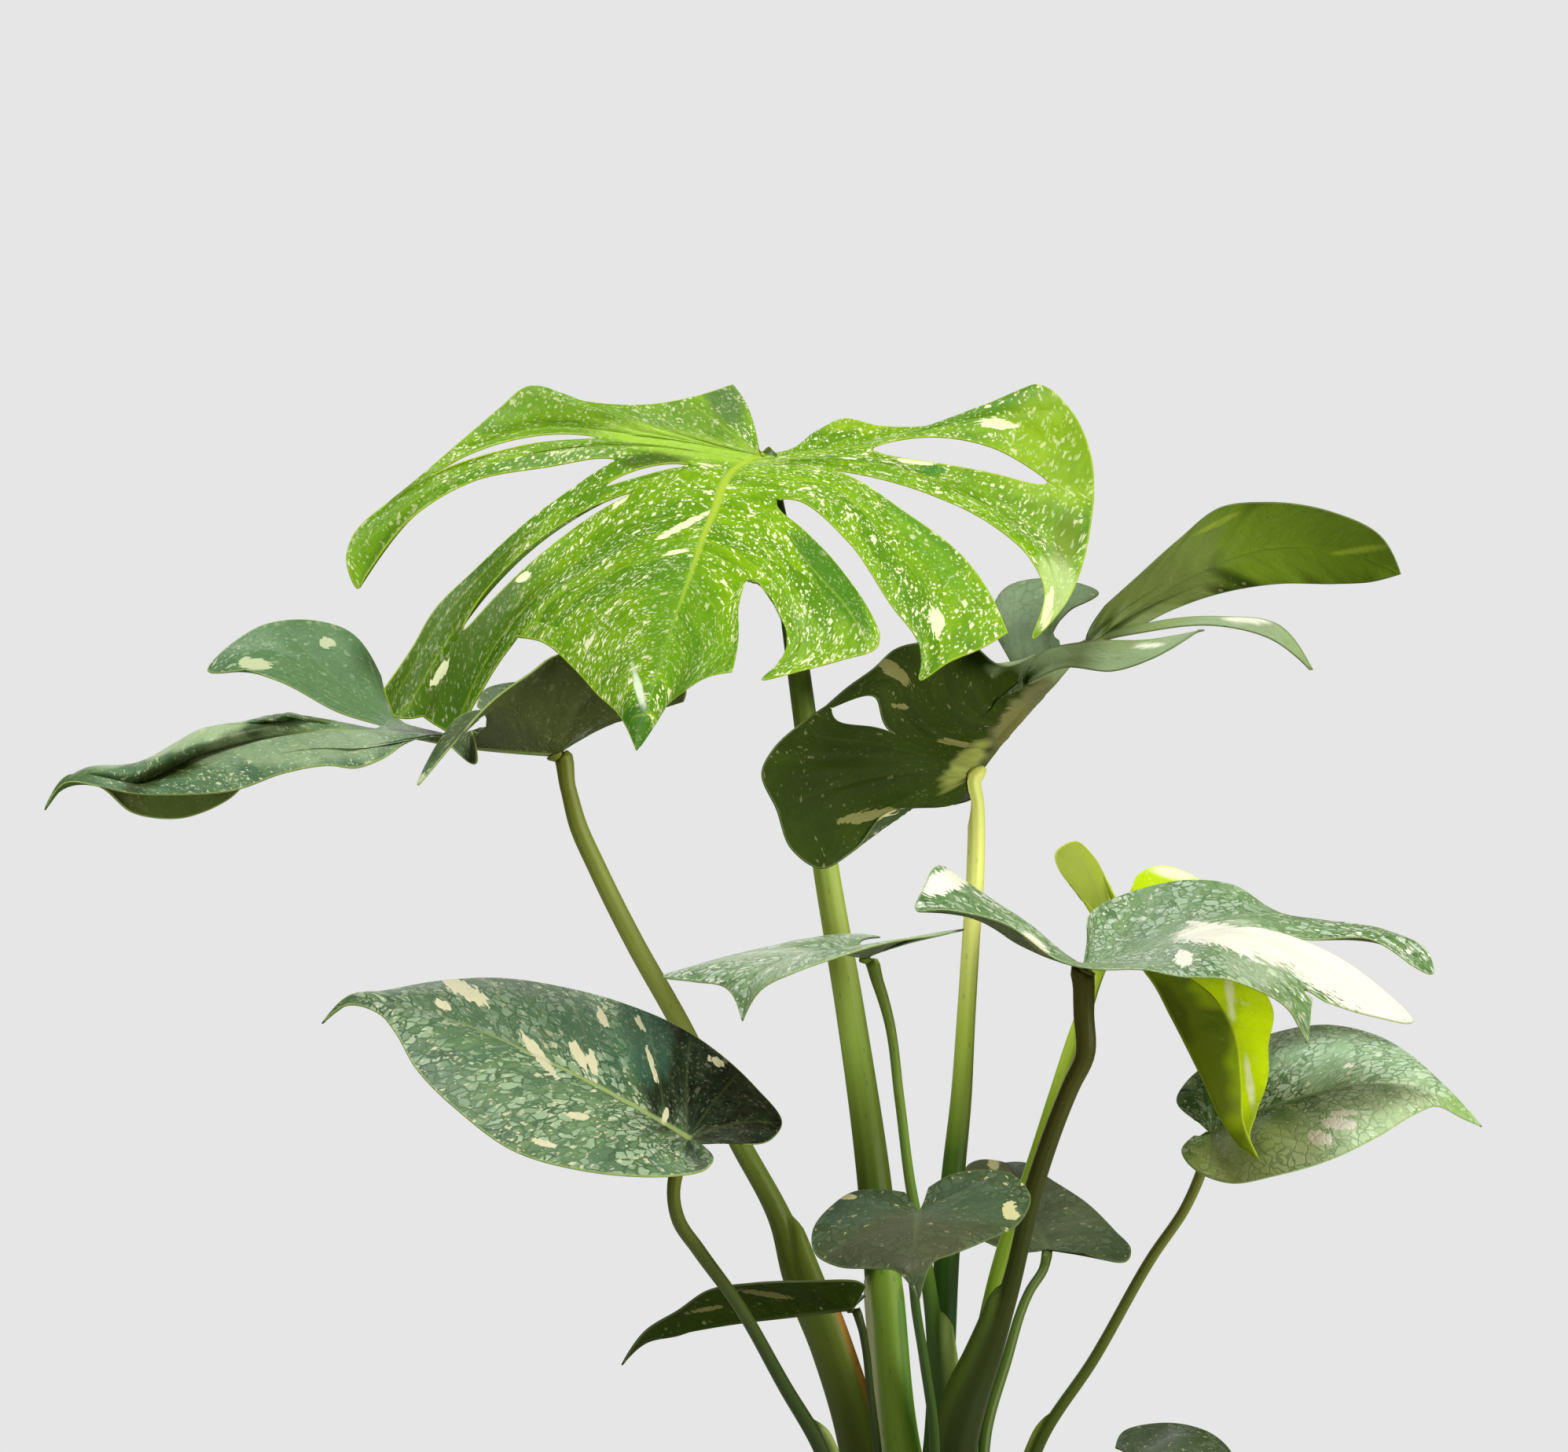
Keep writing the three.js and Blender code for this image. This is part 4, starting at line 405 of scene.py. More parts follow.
# A stalk has a foot [x, y, radius] in the row frame, and a path of places as seen, [x, z, depth, radius].
STALKS = {
    "crown": {
        "foot": [-6, 4, 10.2],
        "path": [
            [-12, 200, 4, 9.8], [-19, 240, 6, 8.4], [-24, 295, 10, 7.6], [-28, 339, 14, 7],
            [-38, 411, 22, 6], [-48, 470, 30, 5.3], [-58, 542, 39, 4.9], [-64, 587, 48, 4.4],
            [-68.5, 617, 55, 3.8],
        ],
    },
    "left_mid": {
        "foot": [-27, 10, 8.4],
        "path": [
            [-31, 205, 12, 8.3], [-36, 240, 12, 8.2], [-47, 275, 12, 7.4], [-59, 305, 12, 7],
            [-66, 326, 12, 5], [-84, 360, 12, 4.3], [-108, 408, 12, 4.1], [-126, 440, 12, 3.9],
            [-141, 470, 12, 3.8], [-149, 488, 11, 3.7], [-153, 503, 10, 3.3],
        ],
    },
    "right_mid": {
        "foot": [4, 24, 6.6],
        "path": [
            [3, 200, 24, 6.4], [-1, 233, 23, 6], [0, 290, 22, 5.4], [4, 347, 24, 4.8], [7, 376, 26, 4.4],
            [9, 408, 30, 3.9], [11, 440, 34, 3.7], [13, 472, 37, 3.7], [13, 496, 40.5, 3.6],
        ],
    },
    "right_low": {
        "foot": [8, -22, 9.6],
        "path": [
            [6, 200, -24, 9.4], [5, 236, -26, 8.8], [10, 254, -28, 8], [17, 271, -30, 6.2],
            [26, 296, -34, 4], [38, 344, -40, 3.7], [52, 382, -46, 3.7], [57.5, 394, -48, 3.9],
            [57, 411, -49, 4.1], [57, 422, -50, 4.3],
        ],
    },
    "left_low": {
        "foot": [-24, -22, 4],
        "path": [
            [-37, 200, -26, 4], [-51, 236, -34, 3.2], [-64, 258, -42, 2.8], [-84, 293, -56, 2.5],
            [-100, 315, -66, 2.7], [-108, 327, -71, 2.7], [-110, 337, -74, 2.6], [-108, 350, -74, 3],
        ],
    },
    "centre_small": {
        "foot": [-12, -15, 5.2],
        "path": [
            [-8, 200, -12, 5.3], [-3, 236, -9, 5.3], [-2, 262, -12, 4.9], [-4, 284, -18, 3.4],
            [-7, 306, -26, 2.8], [-14, 344, -40, 2.1], [-18, 376, -48, 2], [-23, 411, -54, 2.1],
            [-27, 424, -55, 2.4],
        ],
    },
    "centre_front": {
        "foot": [-7, -31, 2.8],
        "path": [
            [-5, 200, -38, 2.6], [-4, 240, -56, 2.1], [-8, 270, -76, 1.9], [-12, 297, -92, 1.8],
            [-13, 316, -98, 1.8],
        ],
    },
    "right_heart": {
        "foot": [23, -12, 3.2],
        "path": [
            [30, 210, -12, 2.9], [39, 236, -14, 2.5], [61, 270, -20, 2.2], [85, 312, -28, 2.1],
            [99, 333, -34, 2.1], [105, 347, -37, 2.2],
        ],
    },
    "back_right": {
        "foot": [19, 13, 3.3],
        "path": [
            [16, 205, 18, 3], [17, 240, 28, 2.6], [25, 268, 38, 2.3], [35, 298, 48, 2], [41, 308, 52, 2],
        ],
    },
    "left_back": {
        "foot": [-22, -8, 2.3],
        "path": [
            [-25, 205, -10, 2.1], [-27, 233, -13, 1.8], [-30, 258, -18, 1.6], [-32, 276, -22, 1.6],
            [-34, 285, -25, 1.7],
        ],
    },
    "low_front": {
        "foot": [26, -26, 2.8],
        "path": [[38, 190, -36, 2.4], [54, 208, -48, 2], [68, 222, -58, 1.9]],
    },
    "unfurling": {
        "foot": [14, -1, 4.4],
        "path": [
            [12, 200, 0, 4.3], [10, 236, 2, 4], [17, 283, 4, 3.5], [24, 312, 7, 3.4], [36, 347, 11, 3.3],
            [45, 376, 14, 3], [55, 406, 18, 3], [62, 424, 22, 2.9],
        ],
    },
}

# Cream patches: [x, z, depth, radius_x, radius_z, radius_depth, turn], all as seen.
SPOTS = {
    "crown": [
        [22, 651, 62, 8, 2.2, 60, -5], [-11, 635.5, 58, 8, 1.4, 60, -5], [-106.5, 609, 20, 12, 1.5, 60, 28],
        [-109.4, 598.4, 8, 6, 1.1, 60, 12], [-3, 570, -6, 2.8, 7, 60, 12], [42, 575, 30, 2.4, 8, 60, -12],
        [-171, 588.5, 20, 3.4, 2, 60, 30], [-205, 549, 6, 1.8, 7, 60, -30], [-183, 545, 0, 1.8, 8, 60, -32],
    ],
    "left_mid": [
        [-280, 553, 66, 7, 2.6, 60, -4], [-251, 561.6, 76, 3.2, 2.2, 60, -20],
        [-216, 505, -76, 6, 3, 60, 20],
    ],
    "right_mid": [
        [-20, 550, 22, 3, 8, 60, 50], [-32, 491, 4, 12, 2.4, 60, 10], [28, 528, 60, 6, 11, 60, -25],
        [4.5, 521, 44, 8, 1.3, 60, -12], [-18, 536, 26, 4, 1.2, 60, -10],
    ],
    "right_low": [
        [0, 464, -36, 13, 5, 60, 18], [122, 441, -70, 44, 9, 36, -14], [165, 424, -62, 48, 17, 30, -30],
        [37, 440, -80, 8, 1.8, 60, -42], [98, 433, -120, 4, 4, 60, -10], [104, 447, -30, 6, 1, 60, -8],
    ],
    "left_low": [
        [-195, 420, -40, 13, 3.2, 60, -30], [-165, 394, -70, 2.2, 12, 60, 38],
        [-149, 394, -70, 2.2, 7, 60, 30], [-143, 390.4, -70, 1.8, 6, 60, 12],
        [-139, 409, -60, 1.9, 5.5, 60, 20], [-124, 407, -60, 1.5, 4.5, 60, 30],
        [-119, 390, -60, 1.2, 8, 60, 18], [-93, 391.4, -60, 5.5, 2, 60, -30],
        [-113.5, 369, -60, 1.4, 4, 60, -15], [-204, 414, -50, 4, 1.8, 60, -30],
        [-163, 358, -110, 6, 1.4, 60, -15], [-149, 369, -100, 5, 1.6, 60, -8],
    ],
    "centre_front": [[27, 330, -86, 3.6, 4, 40, 20], [-40, 336, -88, 5, 1.2, 40, -5]],
    "right_heart": [
        [161, 366, -70, 7.5, 2.6, 60, -5], [153, 360, -74, 5.5, 3.2, 60, -18],
        [165, 389.5, -72, 3, 1.2, 60, 8], [163, 370, -72, 6, 1.4, 60, 4],
    ],
    "back_right": [[20, 349, 118, 2.6, 3, 40, 0]],
    "left_back": [[-72, 297, -40, 12, 1.2, 60, -8], [-96, 291, -40, 7, 1, 60, 10]],
}

# Stretches of a blade with a tone laid over it. Some are its own tone, one for each line of cells that grew
# into it; the others are painted shade on stretches in shadow, painted light on stretches that the light
# reaches, and painted highlights of gloss: [x, z, radius_x, radius_z, turn (all as seen), colour, strength].
SHADE_LIGHT_AND_TONE_WASHES = {
    "crown": [
        # The first is painted shade on the lower left lobes, which hang away from the light.
        [-205, 568, 30, 45, -35, "#385a0a", 0.85], [-224, 612, 24, 20, 30, "#5e8a1c", 0.6],
        [-150, 652, 60, 12, -4, "#66901c", 0.5], [45, 640, 20, 26, 0, "#a0c41e", 0.5],
        [45, 583, 9, 14, -10, "#c4dc96", 0.7], [-104, 566, 16, 34, 12, "#4f8a20", 0.5],
        [-45, 590, 8, 24, 32, "#37701a", 0.85], [-8, 604, 6, 30, 34, "#5f9a1c", 0.5],
        # The first is a painted highlight of gloss down the drip tip.
        [-124, 543, 1.5, 9, 14, "#e4f2dc", 0.9], [-126, 526, 7, 10, 0, "#2f6414", 0.9],
        [-115, 637, 16, 3, 8, "#41591c", 0.9], [-5, 632, 5, 2, -5, "#2f7a1a", 0.9],
        [50, 604, 6, 11, 0, "#6f7f1c", 0.5], [-30, 654, 22, 6, 0, "#a4c624", 0.5],
        # The first is painted light along a crease near the joint, where the folded sheet shades itself.
        [-108, 643, 32, 5, -11, "#a8d048", 0.8], [-88, 660, 9, 7, -60, "#41641a", 0.7],
    ],
    "left_mid": [
        # The first is shade painted on the strip of the fold that faces down; the second is painted light on
        # the strip above it, which lies in the fold's shadow.
        [-301, 516, 38, 4, 24.6, "#2c3a12", 1.0], [-316, 520, 34, 3.2, 17, "#a3bb90", 0.75],
        [-355, 506, 12, 8, 0, "#3c5a2a", 0.8], [-252, 556, 46, 24, -20, "#587e4f", 0.8],
        [-196, 520, 14, 12, 0, "#2e3a16", 0.7], [-305, 494, 24, 6, 0, "#4b6124", 0.9],
        [-168, 538, 34, 14, 20, "#4f5a36", 0.5], [-262, 519, 40, 7, 3, "#a0b590", 0.5],
    ],
    "right_mid": [
        [35, 535, 25, 6.5, 49, "#7d7f5c", 0.8], [69, 558, 42, 9, 3, "#9ab287", 0.85],
        [117, 567, 42, 8, -6, "#9ab08a", 0.85], [148, 556, 8, 12, 20, "#869f6e", 0.85],
        # Both are painted light: the first over the tip, the second over a stretch that the crown shades.
        [150, 603, 60, 18, -4, "#84a82c", 0.75], [88, 586, 32, 16, 42, "#7d9150", 0.7],
        [170, 600, 10, 1.2, 8, "#b4cc48", 0.8], [112, 611, 9, 1.0, 26, "#a6bc44", 0.7],
        [40, 575, 22, 18, 40, "#86a07a", 0.8], [8, 512, 12, 4, 45, "#a4b060", 0.9],
        [-30, 510, 34, 22, 20, "#26360a", 0.5], [84, 560.5, 6, 1.0, 3, "#e4ead8", 0.9],
        [97, 556, 4, 1.4, -12, "#e4ead8", 0.9], [124, 571, 8, 1.2, -3, "#e4ead8", 0.9],
    ],
    "right_low": [
        [60, 440, 64, 26, 0, "#84a07e", 0.3], [118, 455, 40, 14, -8, "#84a07e", 0.3],
        [128, 430, 12, 9, 0, "#a7bca2", 0.6], [150, 436, 30, 3, -20, "#c9d4c4", 0.7],
    ],
    "left_low": [
        # The first is a painted shadow: the dark right part of the blade, which the leaves above shade.
        [-91, 386, 41, 31, -42, "#0e1408", 1.0], [-125, 400, 14, 16, 20, "#35604e", 0.6],
        [-175, 412, 52, 13, -14, "#435c46", 0.6], [-160, 370, 62, 15, -32, "#7d9a78", 0.2],
        [-250, 409, 16, 8, 20, "#456232", 0.8],
    ],
    "centre_small": [[-30, 437, 70, 20, 0, "#9fb494", 0.35]],
    "centre_front": [
        [-14, 318, 30, 12, 5, "#4b4c38", 0.8], [-38, 332, 16, 8, 10, "#435a49", 0.6],
        [10, 334, 20, 8, 0, "#465a46", 0.6],
    ],
    "right_heart": [
        # The first three are painted light over stretches in shade, most of all the lower half.
        [165, 392, 40, 14, -8, "#b4d2b4", 0.5], [125, 352, 28, 12, 8, "#bccb74", 0.75],
        [170, 360, 46, 18, 14, "#c8e0b6", 0.6], [212, 372, 10, 8, -30, "#7fa854", 0.6],
    ],
    "back_right": [[30, 335, 50, 20, 0, "#585e46", 0.6]],
    "unfurling": [
        # The bright yellows of the inner face are painted light, and the near-white streaks are painted
        # highlights of gloss in its groove.
        [102, 392, 46, 12, -61, "#95a812", 0.95], [112, 424, 12, 10, -40, "#d2ee00", 0.95],
        [126, 398, 8.5, 30, -8, "#daf600", 0.95], [116.5, 417, 1.5, 9, 6, "#f8fce0", 0.9],
        [124.4, 382, 1.3, 12, 8, "#f8fce0", 0.9], [57, 467, 13, 20, 25, "#98a83a", 0.9],
        [86, 468, 18, 8, 0, "#b8d60a", 0.9], [95, 468, 10, 2.4, -8, "#f8fce4", 0.9],
        [127, 365, 4, 12, -6, "#a8c61a", 0.8], [94, 412, 14, 4, -60, "#3e4a12", 0.5],
    ],
}

# A stalk's wings are the edges of its sheath, where the next leaf came out: [angle round the stalk, half
# its spread in degrees, top, bottom (heights as seen), how far it stands out, colour], with 0 degrees to
# the right and 270 towards the viewer.
WINGS = {
    "crown": [
        [285, 62, 312, 170, 1.6, "#84ac40"], [212, 18, 306, 170, 2.0, "#ccd8b4"],
        [318, 20, 300, 170, 1.8, "#5c8f28"],
    ],
    "left_mid": [[322, 34, 328, 170, 3.6, "#728832"], [336, 15, 296, 180, 4.2, "#cf9440"]],
    "right_low": [[200, 30, 300, 180, 4.0, "#42561a"]],
    "centre_small": [[340, 40, 290, 190, 4.6, "#9fbd66"]],
    "left_low": [[20, 32, 243, 180, 3.4, "#8aa050"]],
    "right_heart": [[170, 28, 246, 180, 2.2, "#8a9c48"]],
    "unfurling": [[300, 28, 280, 180, 1.4, "#8fb83c"]],
    "right_mid": [[250, 40, 262, 180, 1.6, "#5f8a2c"]],
}

# A stalk's colours, evenly spread from its foot to its blade.
TINTS = {
    "crown": [
        "#476c14", "#587f1e", "#4d7418", "#3f5812", "#7c983a", "#a5bd5a", "#86a344", "#42551c", "#3b5012",
    ],
    "left_mid": ["#42500f", "#475412", "#4b5c18", "#5f742a", "#6c8030", "#8a9a4a", "#8a9a48", "#6b7628"],
    "right_mid": ["#12360a", "#173b0c", "#1a3f0c", "#22470e", "#3a5a14", "#96ab42", "#d6de80", "#c6d272"],
    "right_low": ["#202c08", "#222f09", "#24300a", "#28350b", "#2e390c", "#38400f", "#474b15", "#54561c"],
    "left_low": ["#22370e", "#2a4014", "#293c12", "#32461a", "#4c5a20", "#5c661e"],
    "centre_small": ["#3c6a18", "#2f5214", "#2f5514", "#3c611a", "#587a2a", "#74933c", "#6f8434"],
    "centre_front": ["#2a4a12", "#2f4c16", "#34501a", "#3c5a20"],
    "right_heart": ["#2c4010", "#384a14", "#46561c", "#5a6628", "#717a36"],
    "back_right": ["#2c4a12", "#3c5a1a", "#4a6420", "#4c6024"],
    "left_back": ["#2a4012", "#2c4214", "#33441a", "#2c3a10"],
    "low_front": ["#3b5f1c", "#466a20", "#506f26", "#5a742a"],
    "unfurling": ["#3f6a10", "#4c7416", "#6a8f22", "#7a9a2a", "#8ca832", "#a2b83c"],
}

# One look for each group of leaves. Colours: light and dark stretches of the face, the rib, the face below,
# cream, the silvery sheen painted on blisters, cream seen from below, light shining through, and the seams.
# Shares: cream cells of each size of fleck, how clear the veins and the rib are, roughness, gloss, blisters,
# and how much light comes through.
LOOKS = {
    "young": {
        "leaves": ["crown"], "light": "#7daa12", "dark": "#44780f", "rib": "#a9c63a", "below": "#4f7012",
        "cream": "#e5ebc0", "pale": "#a0c850", "stain": "#8f9a50", "glow": "#98c400",
        "flecks": (0.25, 0.14, 0.045, 0.008), "lines": 0.3, "band": 0.9, "rough": 0.42, "gloss": 0.15,
        "blister": 0.12, "through": 0.25, "seam": "#3f7010",
    },
    "silver": {
        "leaves": ["right_low", "right_heart", "centre_small"], "light": "#6f8f5c", "dark": "#4f7346",
        "rib": "#93ab72", "below": "#4d561f", "cream": "#e2e3d6", "pale": "#b2c6b4", "stain": "#8d8a60",
        "glow": "#7fa020", "flecks": (0.10, 0.09, 0.03, 0.006), "lines": 0.15, "band": 0.5, "rough": 0.36,
        "gloss": 0.25, "blister": 1.0, "through": 0.10, "seam": "#3f5f38",
    },
    "grey": {
        "leaves": ["left_low"], "light": "#567349", "dark": "#3a5842", "rib": "#93a860", "below": "#4c5a22",
        "cream": "#bebd9f", "pale": "#9db498", "stain": "#74794c", "glow": "#7fa020",
        "flecks": (0.10, 0.08, 0.03, 0.006), "lines": 0.08, "band": 0.7, "rough": 0.38, "gloss": 0.25,
        "blister": 0.9, "through": 0.10, "seam": "#2c4530",
    },
    "slate": {
        "leaves": ["left_mid"], "light": "#587750", "dark": "#3c5c45", "rib": "#93a860", "below": "#525f2c",
        "cream": "#b4c098", "pale": "#8fa98a", "stain": "#74794c", "glow": "#7fa020",
        "flecks": (0.16, 0.11, 0.03, 0.004), "lines": 0.12, "band": 0.7, "rough": 0.4, "gloss": 0.22,
        "blister": 0.2, "through": 0.10, "seam": "#3a563c",
    },
    "shaded": {
        "leaves": ["right_mid", "centre_front", "back_right", "left_back", "low_front"], "light": "#46583a",
        "dark": "#36462c", "rib": "#66764a", "below": "#2f4205", "cream": "#b9b98c", "pale": "#6f8468",
        "stain": "#77794a", "glow": "#6f9a10", "flecks": (0.03, 0.02, 0.008, 0.002), "lines": 0.08,
        "band": 0.35, "rough": 0.42, "gloss": 0.13, "blister": 0.4, "through": 0.14, "seam": "#24301c",
    },
    "fresh": {
        "leaves": ["unfurling"], "light": "#c4e010", "dark": "#a8d00a", "rib": "#d3e84a",
        "below": "#8ca414", "cream": "#e6efa8", "pale": "#d2e476", "stain": "#b5c060", "glow": "#d8f400",
        "flecks": (0.06, 0.06, 0.03, 0.01), "lines": 0.05, "band": 0.6, "rough": 0.28, "gloss": 0.3,
        "blister": 0.1, "through": 0.3, "seam": "#8aac0a",
    },
}

# The settings of a node that mixes two colours.
COLOURS = {"out": 2, "data_type": "RGBA"}

# How strongly the skin's wax bends light.
WAX_IOR = 1.45

# The length and the width of the cells in each size of fleck, in millimetres.
FLECK_SIZES = ((1.0, 0.75), (1.7, 1.15), (3.2, 1.9), (8.0, 3.6))

# The slot of a leaf's finish, where it isn't the grey-green one.
LEAF_SLOTS = {
    "crown": "young_leaf", "unfurling": "new_leaf", "centre_front": "green_leaf", "back_right": "green_leaf",
    "left_back": "green_leaf", "low_front": "green_leaf",
}

# How finely a blade is laid out, how far apart its main veins lie, and how high its rib stands out. Lengths
# here and below are in millimetres.
DETAIL = {
    "large": {"step": 2.0, "veins": 30.0, "rib": 1.5},
    "middle": {"step": 1.8, "veins": 22.0, "rib": 1.2},
    "small": {"step": 1.5, "veins": 16.0, "rib": 0.6},
}

# The seat of a stalk is measured on a rough sheet, within this reach of the joint.
ROUGH_SHEET = {"step": 6.0, "veins": 17.0}
SEAT_REACH = 12.0

# A cut: the share of a vein in which its end opens out, how much it narrows on its way to the margin, and
# the share of a lobe over which its pull dies away.
CUT_ROUND = 0.09
CUT_NARROWING = 0.8
REACH_OF_CUT = 0.6

# The relief of a blade: how round its edge is, how far from an edge and from the rib the relief fades, the
# half widths of the rib, of a vein and of the dip round it, and the heights as shares of the rib's height.
# The pucker's height is a length. MARGIN_REACH is how far in from an edge the finish is told of it, and
# edges sharper than BLADE_CREASE, in degrees, stay sharp.
BLADE_THICKNESS = 0.8
EDGE_BULGE = 0.35
EDGE_FADE = 7.0
RIB_FADE = 7.0
MARGIN_REACH = 10.0
RIB_WIDTH = 1.5
RIB_TIP_WIDTH = 0.7
VEIN_WIDTH = 1.4
DIP_WIDTH = 5.0
SWELL_HEIGHT = 0.18
RIB_GROOVE = 0.3
VEIN_GROOVE = 0.12
RIB_BELOW = 0.9
VEIN_BELOW = 0.2
PUCKER_HEIGHT = 0.06
BLADE_CREASE = 50

# A stalk: its rings and facets, the heights of its straight foot, its ribbing and slow swelling as shares
# of its radius, and how near its top is pressed flat to the blade. KNEE is three places on from the seat,
# as (onward, sunk, radius) in shares of the radius at the stalk's top.
STALK_STEP = 2.5
STALK_SIDES = 40
STALK_FOOT = 136.0
STRAIGHT_FOOT = (0, 15, 30)
RIBBING = {"height": 0.018, "count": 9}
SWELLING = {"height": 0.012, "length": 23.0}
KNEE = ((0, 0, 1.05), (0.8, 0.4, 0.85), (1.6, 0.7, 0.4))
PRESS_REACH = 20.0
PRESS_FADE = 10.0

# A sheath's edge: how far its point drops from the middle of a wing to its side, and the length in which it
# rises.
WING_DROP = 9.0
WING_RISE = 6.0

# The pot, with creases sharper than 35 degrees, and the mix: how far under the soil level it lies, how
# high it ripples, how far it falls to the wall, and how far it and its loose pieces stay from the outside.
# CHIP_TIP is how far a loose piece tips, in radians. LIP is the lip's middle, half its width and its rise.
POT_HEIGHT = 175.0
POT_BASE_RADIUS = 74.0
POT_TOP_RADIUS = 100.0
POT_CREASE = 35
LIP = {"radius": 99.35, "half": 5.6, "rise": 3.0}
SOIL_LEVEL = 160.0
MIX_FOOT = 130.0
MIX_DROP = 3.5
MIX_RIPPLE = 1.1
MIX_FALL = 2.0
WALL_ROOM = 6.4
CHIP_ROOM = 14.0
CHIP_TIP = 0.45

# The studio, in metres and watts: [name, place, what it faces, size, power, colour] for each light. The
# camera's lens and sensor are in millimetres, and the floor fades between two shares of its radius.
LIGHTS = (
    ("soft_key", (-0.4, -0.8, 2.2), (-0.05, 0.0, 0.4), 0.7, 46, "#ffffff"),
    ("right_soft", (1.5, -0.9, 0.7), (0.05, 0.0, 0.4), 0.9, 32, "#fff8e4"),
    ("front_fill", (-0.5, -2.2, 0.9), (-0.05, 0.0, 0.4), 1.6, 5, "#fff0cc"),
    ("back_fill", (-0.6, 2.3, 1.2), (-0.05, 0.0, 0.4), 1.8, 14, "#ffffff"),
)
SURROUND = {"colour": "#ffeec4", "strength": 0.22}
FLOOR_COLOUR = "#c4c4c3"
FLOOR_FADE = (0.55, 0.98)
LENS = 85
SENSOR_WIDTH = 36


# Curves and sheets

def linear(code):
    """An sRGB colour like "#7ab82a" as linear values: ((c + 0.055) / 1.055) ** 2.4, or c / 12.92."""
    c = np.array([int(code[i:i + 2], 16) for i in (1, 3, 5)]) / 255
    return tuple(np.where(c > 0.04045, ((c + 0.055) / 1.055) ** 2.4, c / 12.92))


def unit(vectors):
    """Vectors divided by their length."""
    return vectors / np.maximum(np.linalg.norm(vectors, axis=-1, keepdims=True), 1e-9)


def place(seen):
    """Places as seen, in the row frame: the eye plus 1 + depth / 1507 times its way to (x, 0, z)."""
    seen = np.asarray(seen, float).reshape(-1, 3)
    flat = np.column_stack([seen[:, 0], np.zeros(len(seen)), seen[:, 1]])
    return VIEWER + (flat - VIEWER) * (1 - seen[:, 2:] / VIEWER[1])


def seen_from(points):
    """The reverse of place: x, z and depth as seen of points in the row frame."""
    reach = 1 - points[:, 1] / VIEWER[1]
    return np.column_stack([VIEWER[0] + (points[:, 0] - VIEWER[0]) / reach,
                            VIEWER[2] + (points[:, 2] - VIEWER[2]) / reach, points[:, 1]])


def slopes(rows, u):
    """Slopes at the stations u: those of parabolas through three neighbours, carried on to the ends."""
    gap = np.diff(u).reshape((-1,) + (1,) * (rows.ndim - 1))
    step = np.diff(rows, axis=0) / gap
    if len(rows) == 2:
        return np.concatenate([step, step])
    inner = (step[:-1] * gap[1:] + step[1:] * gap[:-1]) / (gap[1:] + gap[:-1])
    return np.concatenate([1.5 * step[:1] - 0.5 * inner[:1], inner, 1.5 * step[-1:] - 0.5 * inner[-1:]])


def hermite(a, b, slope_a, slope_b, span, t):
    """The cubic from a to b with those slopes: a (2t3 - 3t2 + 1) + b (3t2 - 2t3) + the slopes' terms."""
    t2 = t * t
    t3 = t2 * t
    return (a * (2 * t3 - 3 * t2 + 1) + b * (3 * t2 - 2 * t3)
            + slope_a * (span * (t3 - 2 * t2 + t)) + slope_b * (span * (t3 - t2)))


def smooth(points, shares):
    """A smooth curve through points, at shares of its length, in cubic pieces."""
    points = np.asarray(points, float)
    u = np.concatenate([[0], np.cumsum(np.linalg.norm(np.diff(points, axis=0), axis=1))])
    s = np.asarray(shares, float) * u[-1]
    i = np.clip(np.searchsorted(u, s) - 1, 0, len(u) - 2)
    span = (u[i + 1] - u[i])[:, None]
    tangents = slopes(points, u)
    return hermite(points[i], points[i + 1], tangents[i], tangents[i + 1], span, (s - u[i])[:, None] / span)


def vein_line(entry, leaf, rib, along):
    """One vein as a smooth curve from rib to margin; with no places on its way it rises as an arch."""
    root = smooth(rib, [entry[0]])
    points = place(entry[1:])
    if len(points) == 1:
        rise = leaf["arch"] * np.linalg.norm(points - root) * unit(np.array(leaf["up"], float))
        points = np.concatenate([(root + points) / 2 + rise, points])
    return smooth(np.concatenate([root, points]), along)


def lobes_of(side, leaf, rib, along):
    """One side of a leaf as lobes: where on the rib their veins start, the veins, and the cut after."""
    lobes = [{"at": [], "lines": []}]
    for entry in side:
        lobe = lobes[-1]
        if entry[0] == "cut":
            lobe["cut"] = (entry[1], 1.0, entry[2], 0.0)
            lobes.append({"at": [], "lines": []})
        elif entry[0] == "hole":
            lobe["cut"] = (*entry[1:4], sum(entry[4:]))
            lobes.append({"at": lobe["at"][-1:], "lines": lobe["lines"][-1:]})
        else:
            lobe["at"].append(entry[0])
            lobe["lines"].append(vein_line(entry, leaf, rib, along))
    lobes[-1]["at"].append(1.0)
    lobes[-1]["lines"].append(np.repeat(smooth(rib, [1.0]), len(along), axis=0))
    for lobe in lobes:
        lobe["at"] = np.array(lobe["at"], float)
        lobe["lines"] = np.stack(lobe["lines"])
    for before, after in zip(lobes, lobes[1:]):
        open_cut(before, after, along)
    return lobes


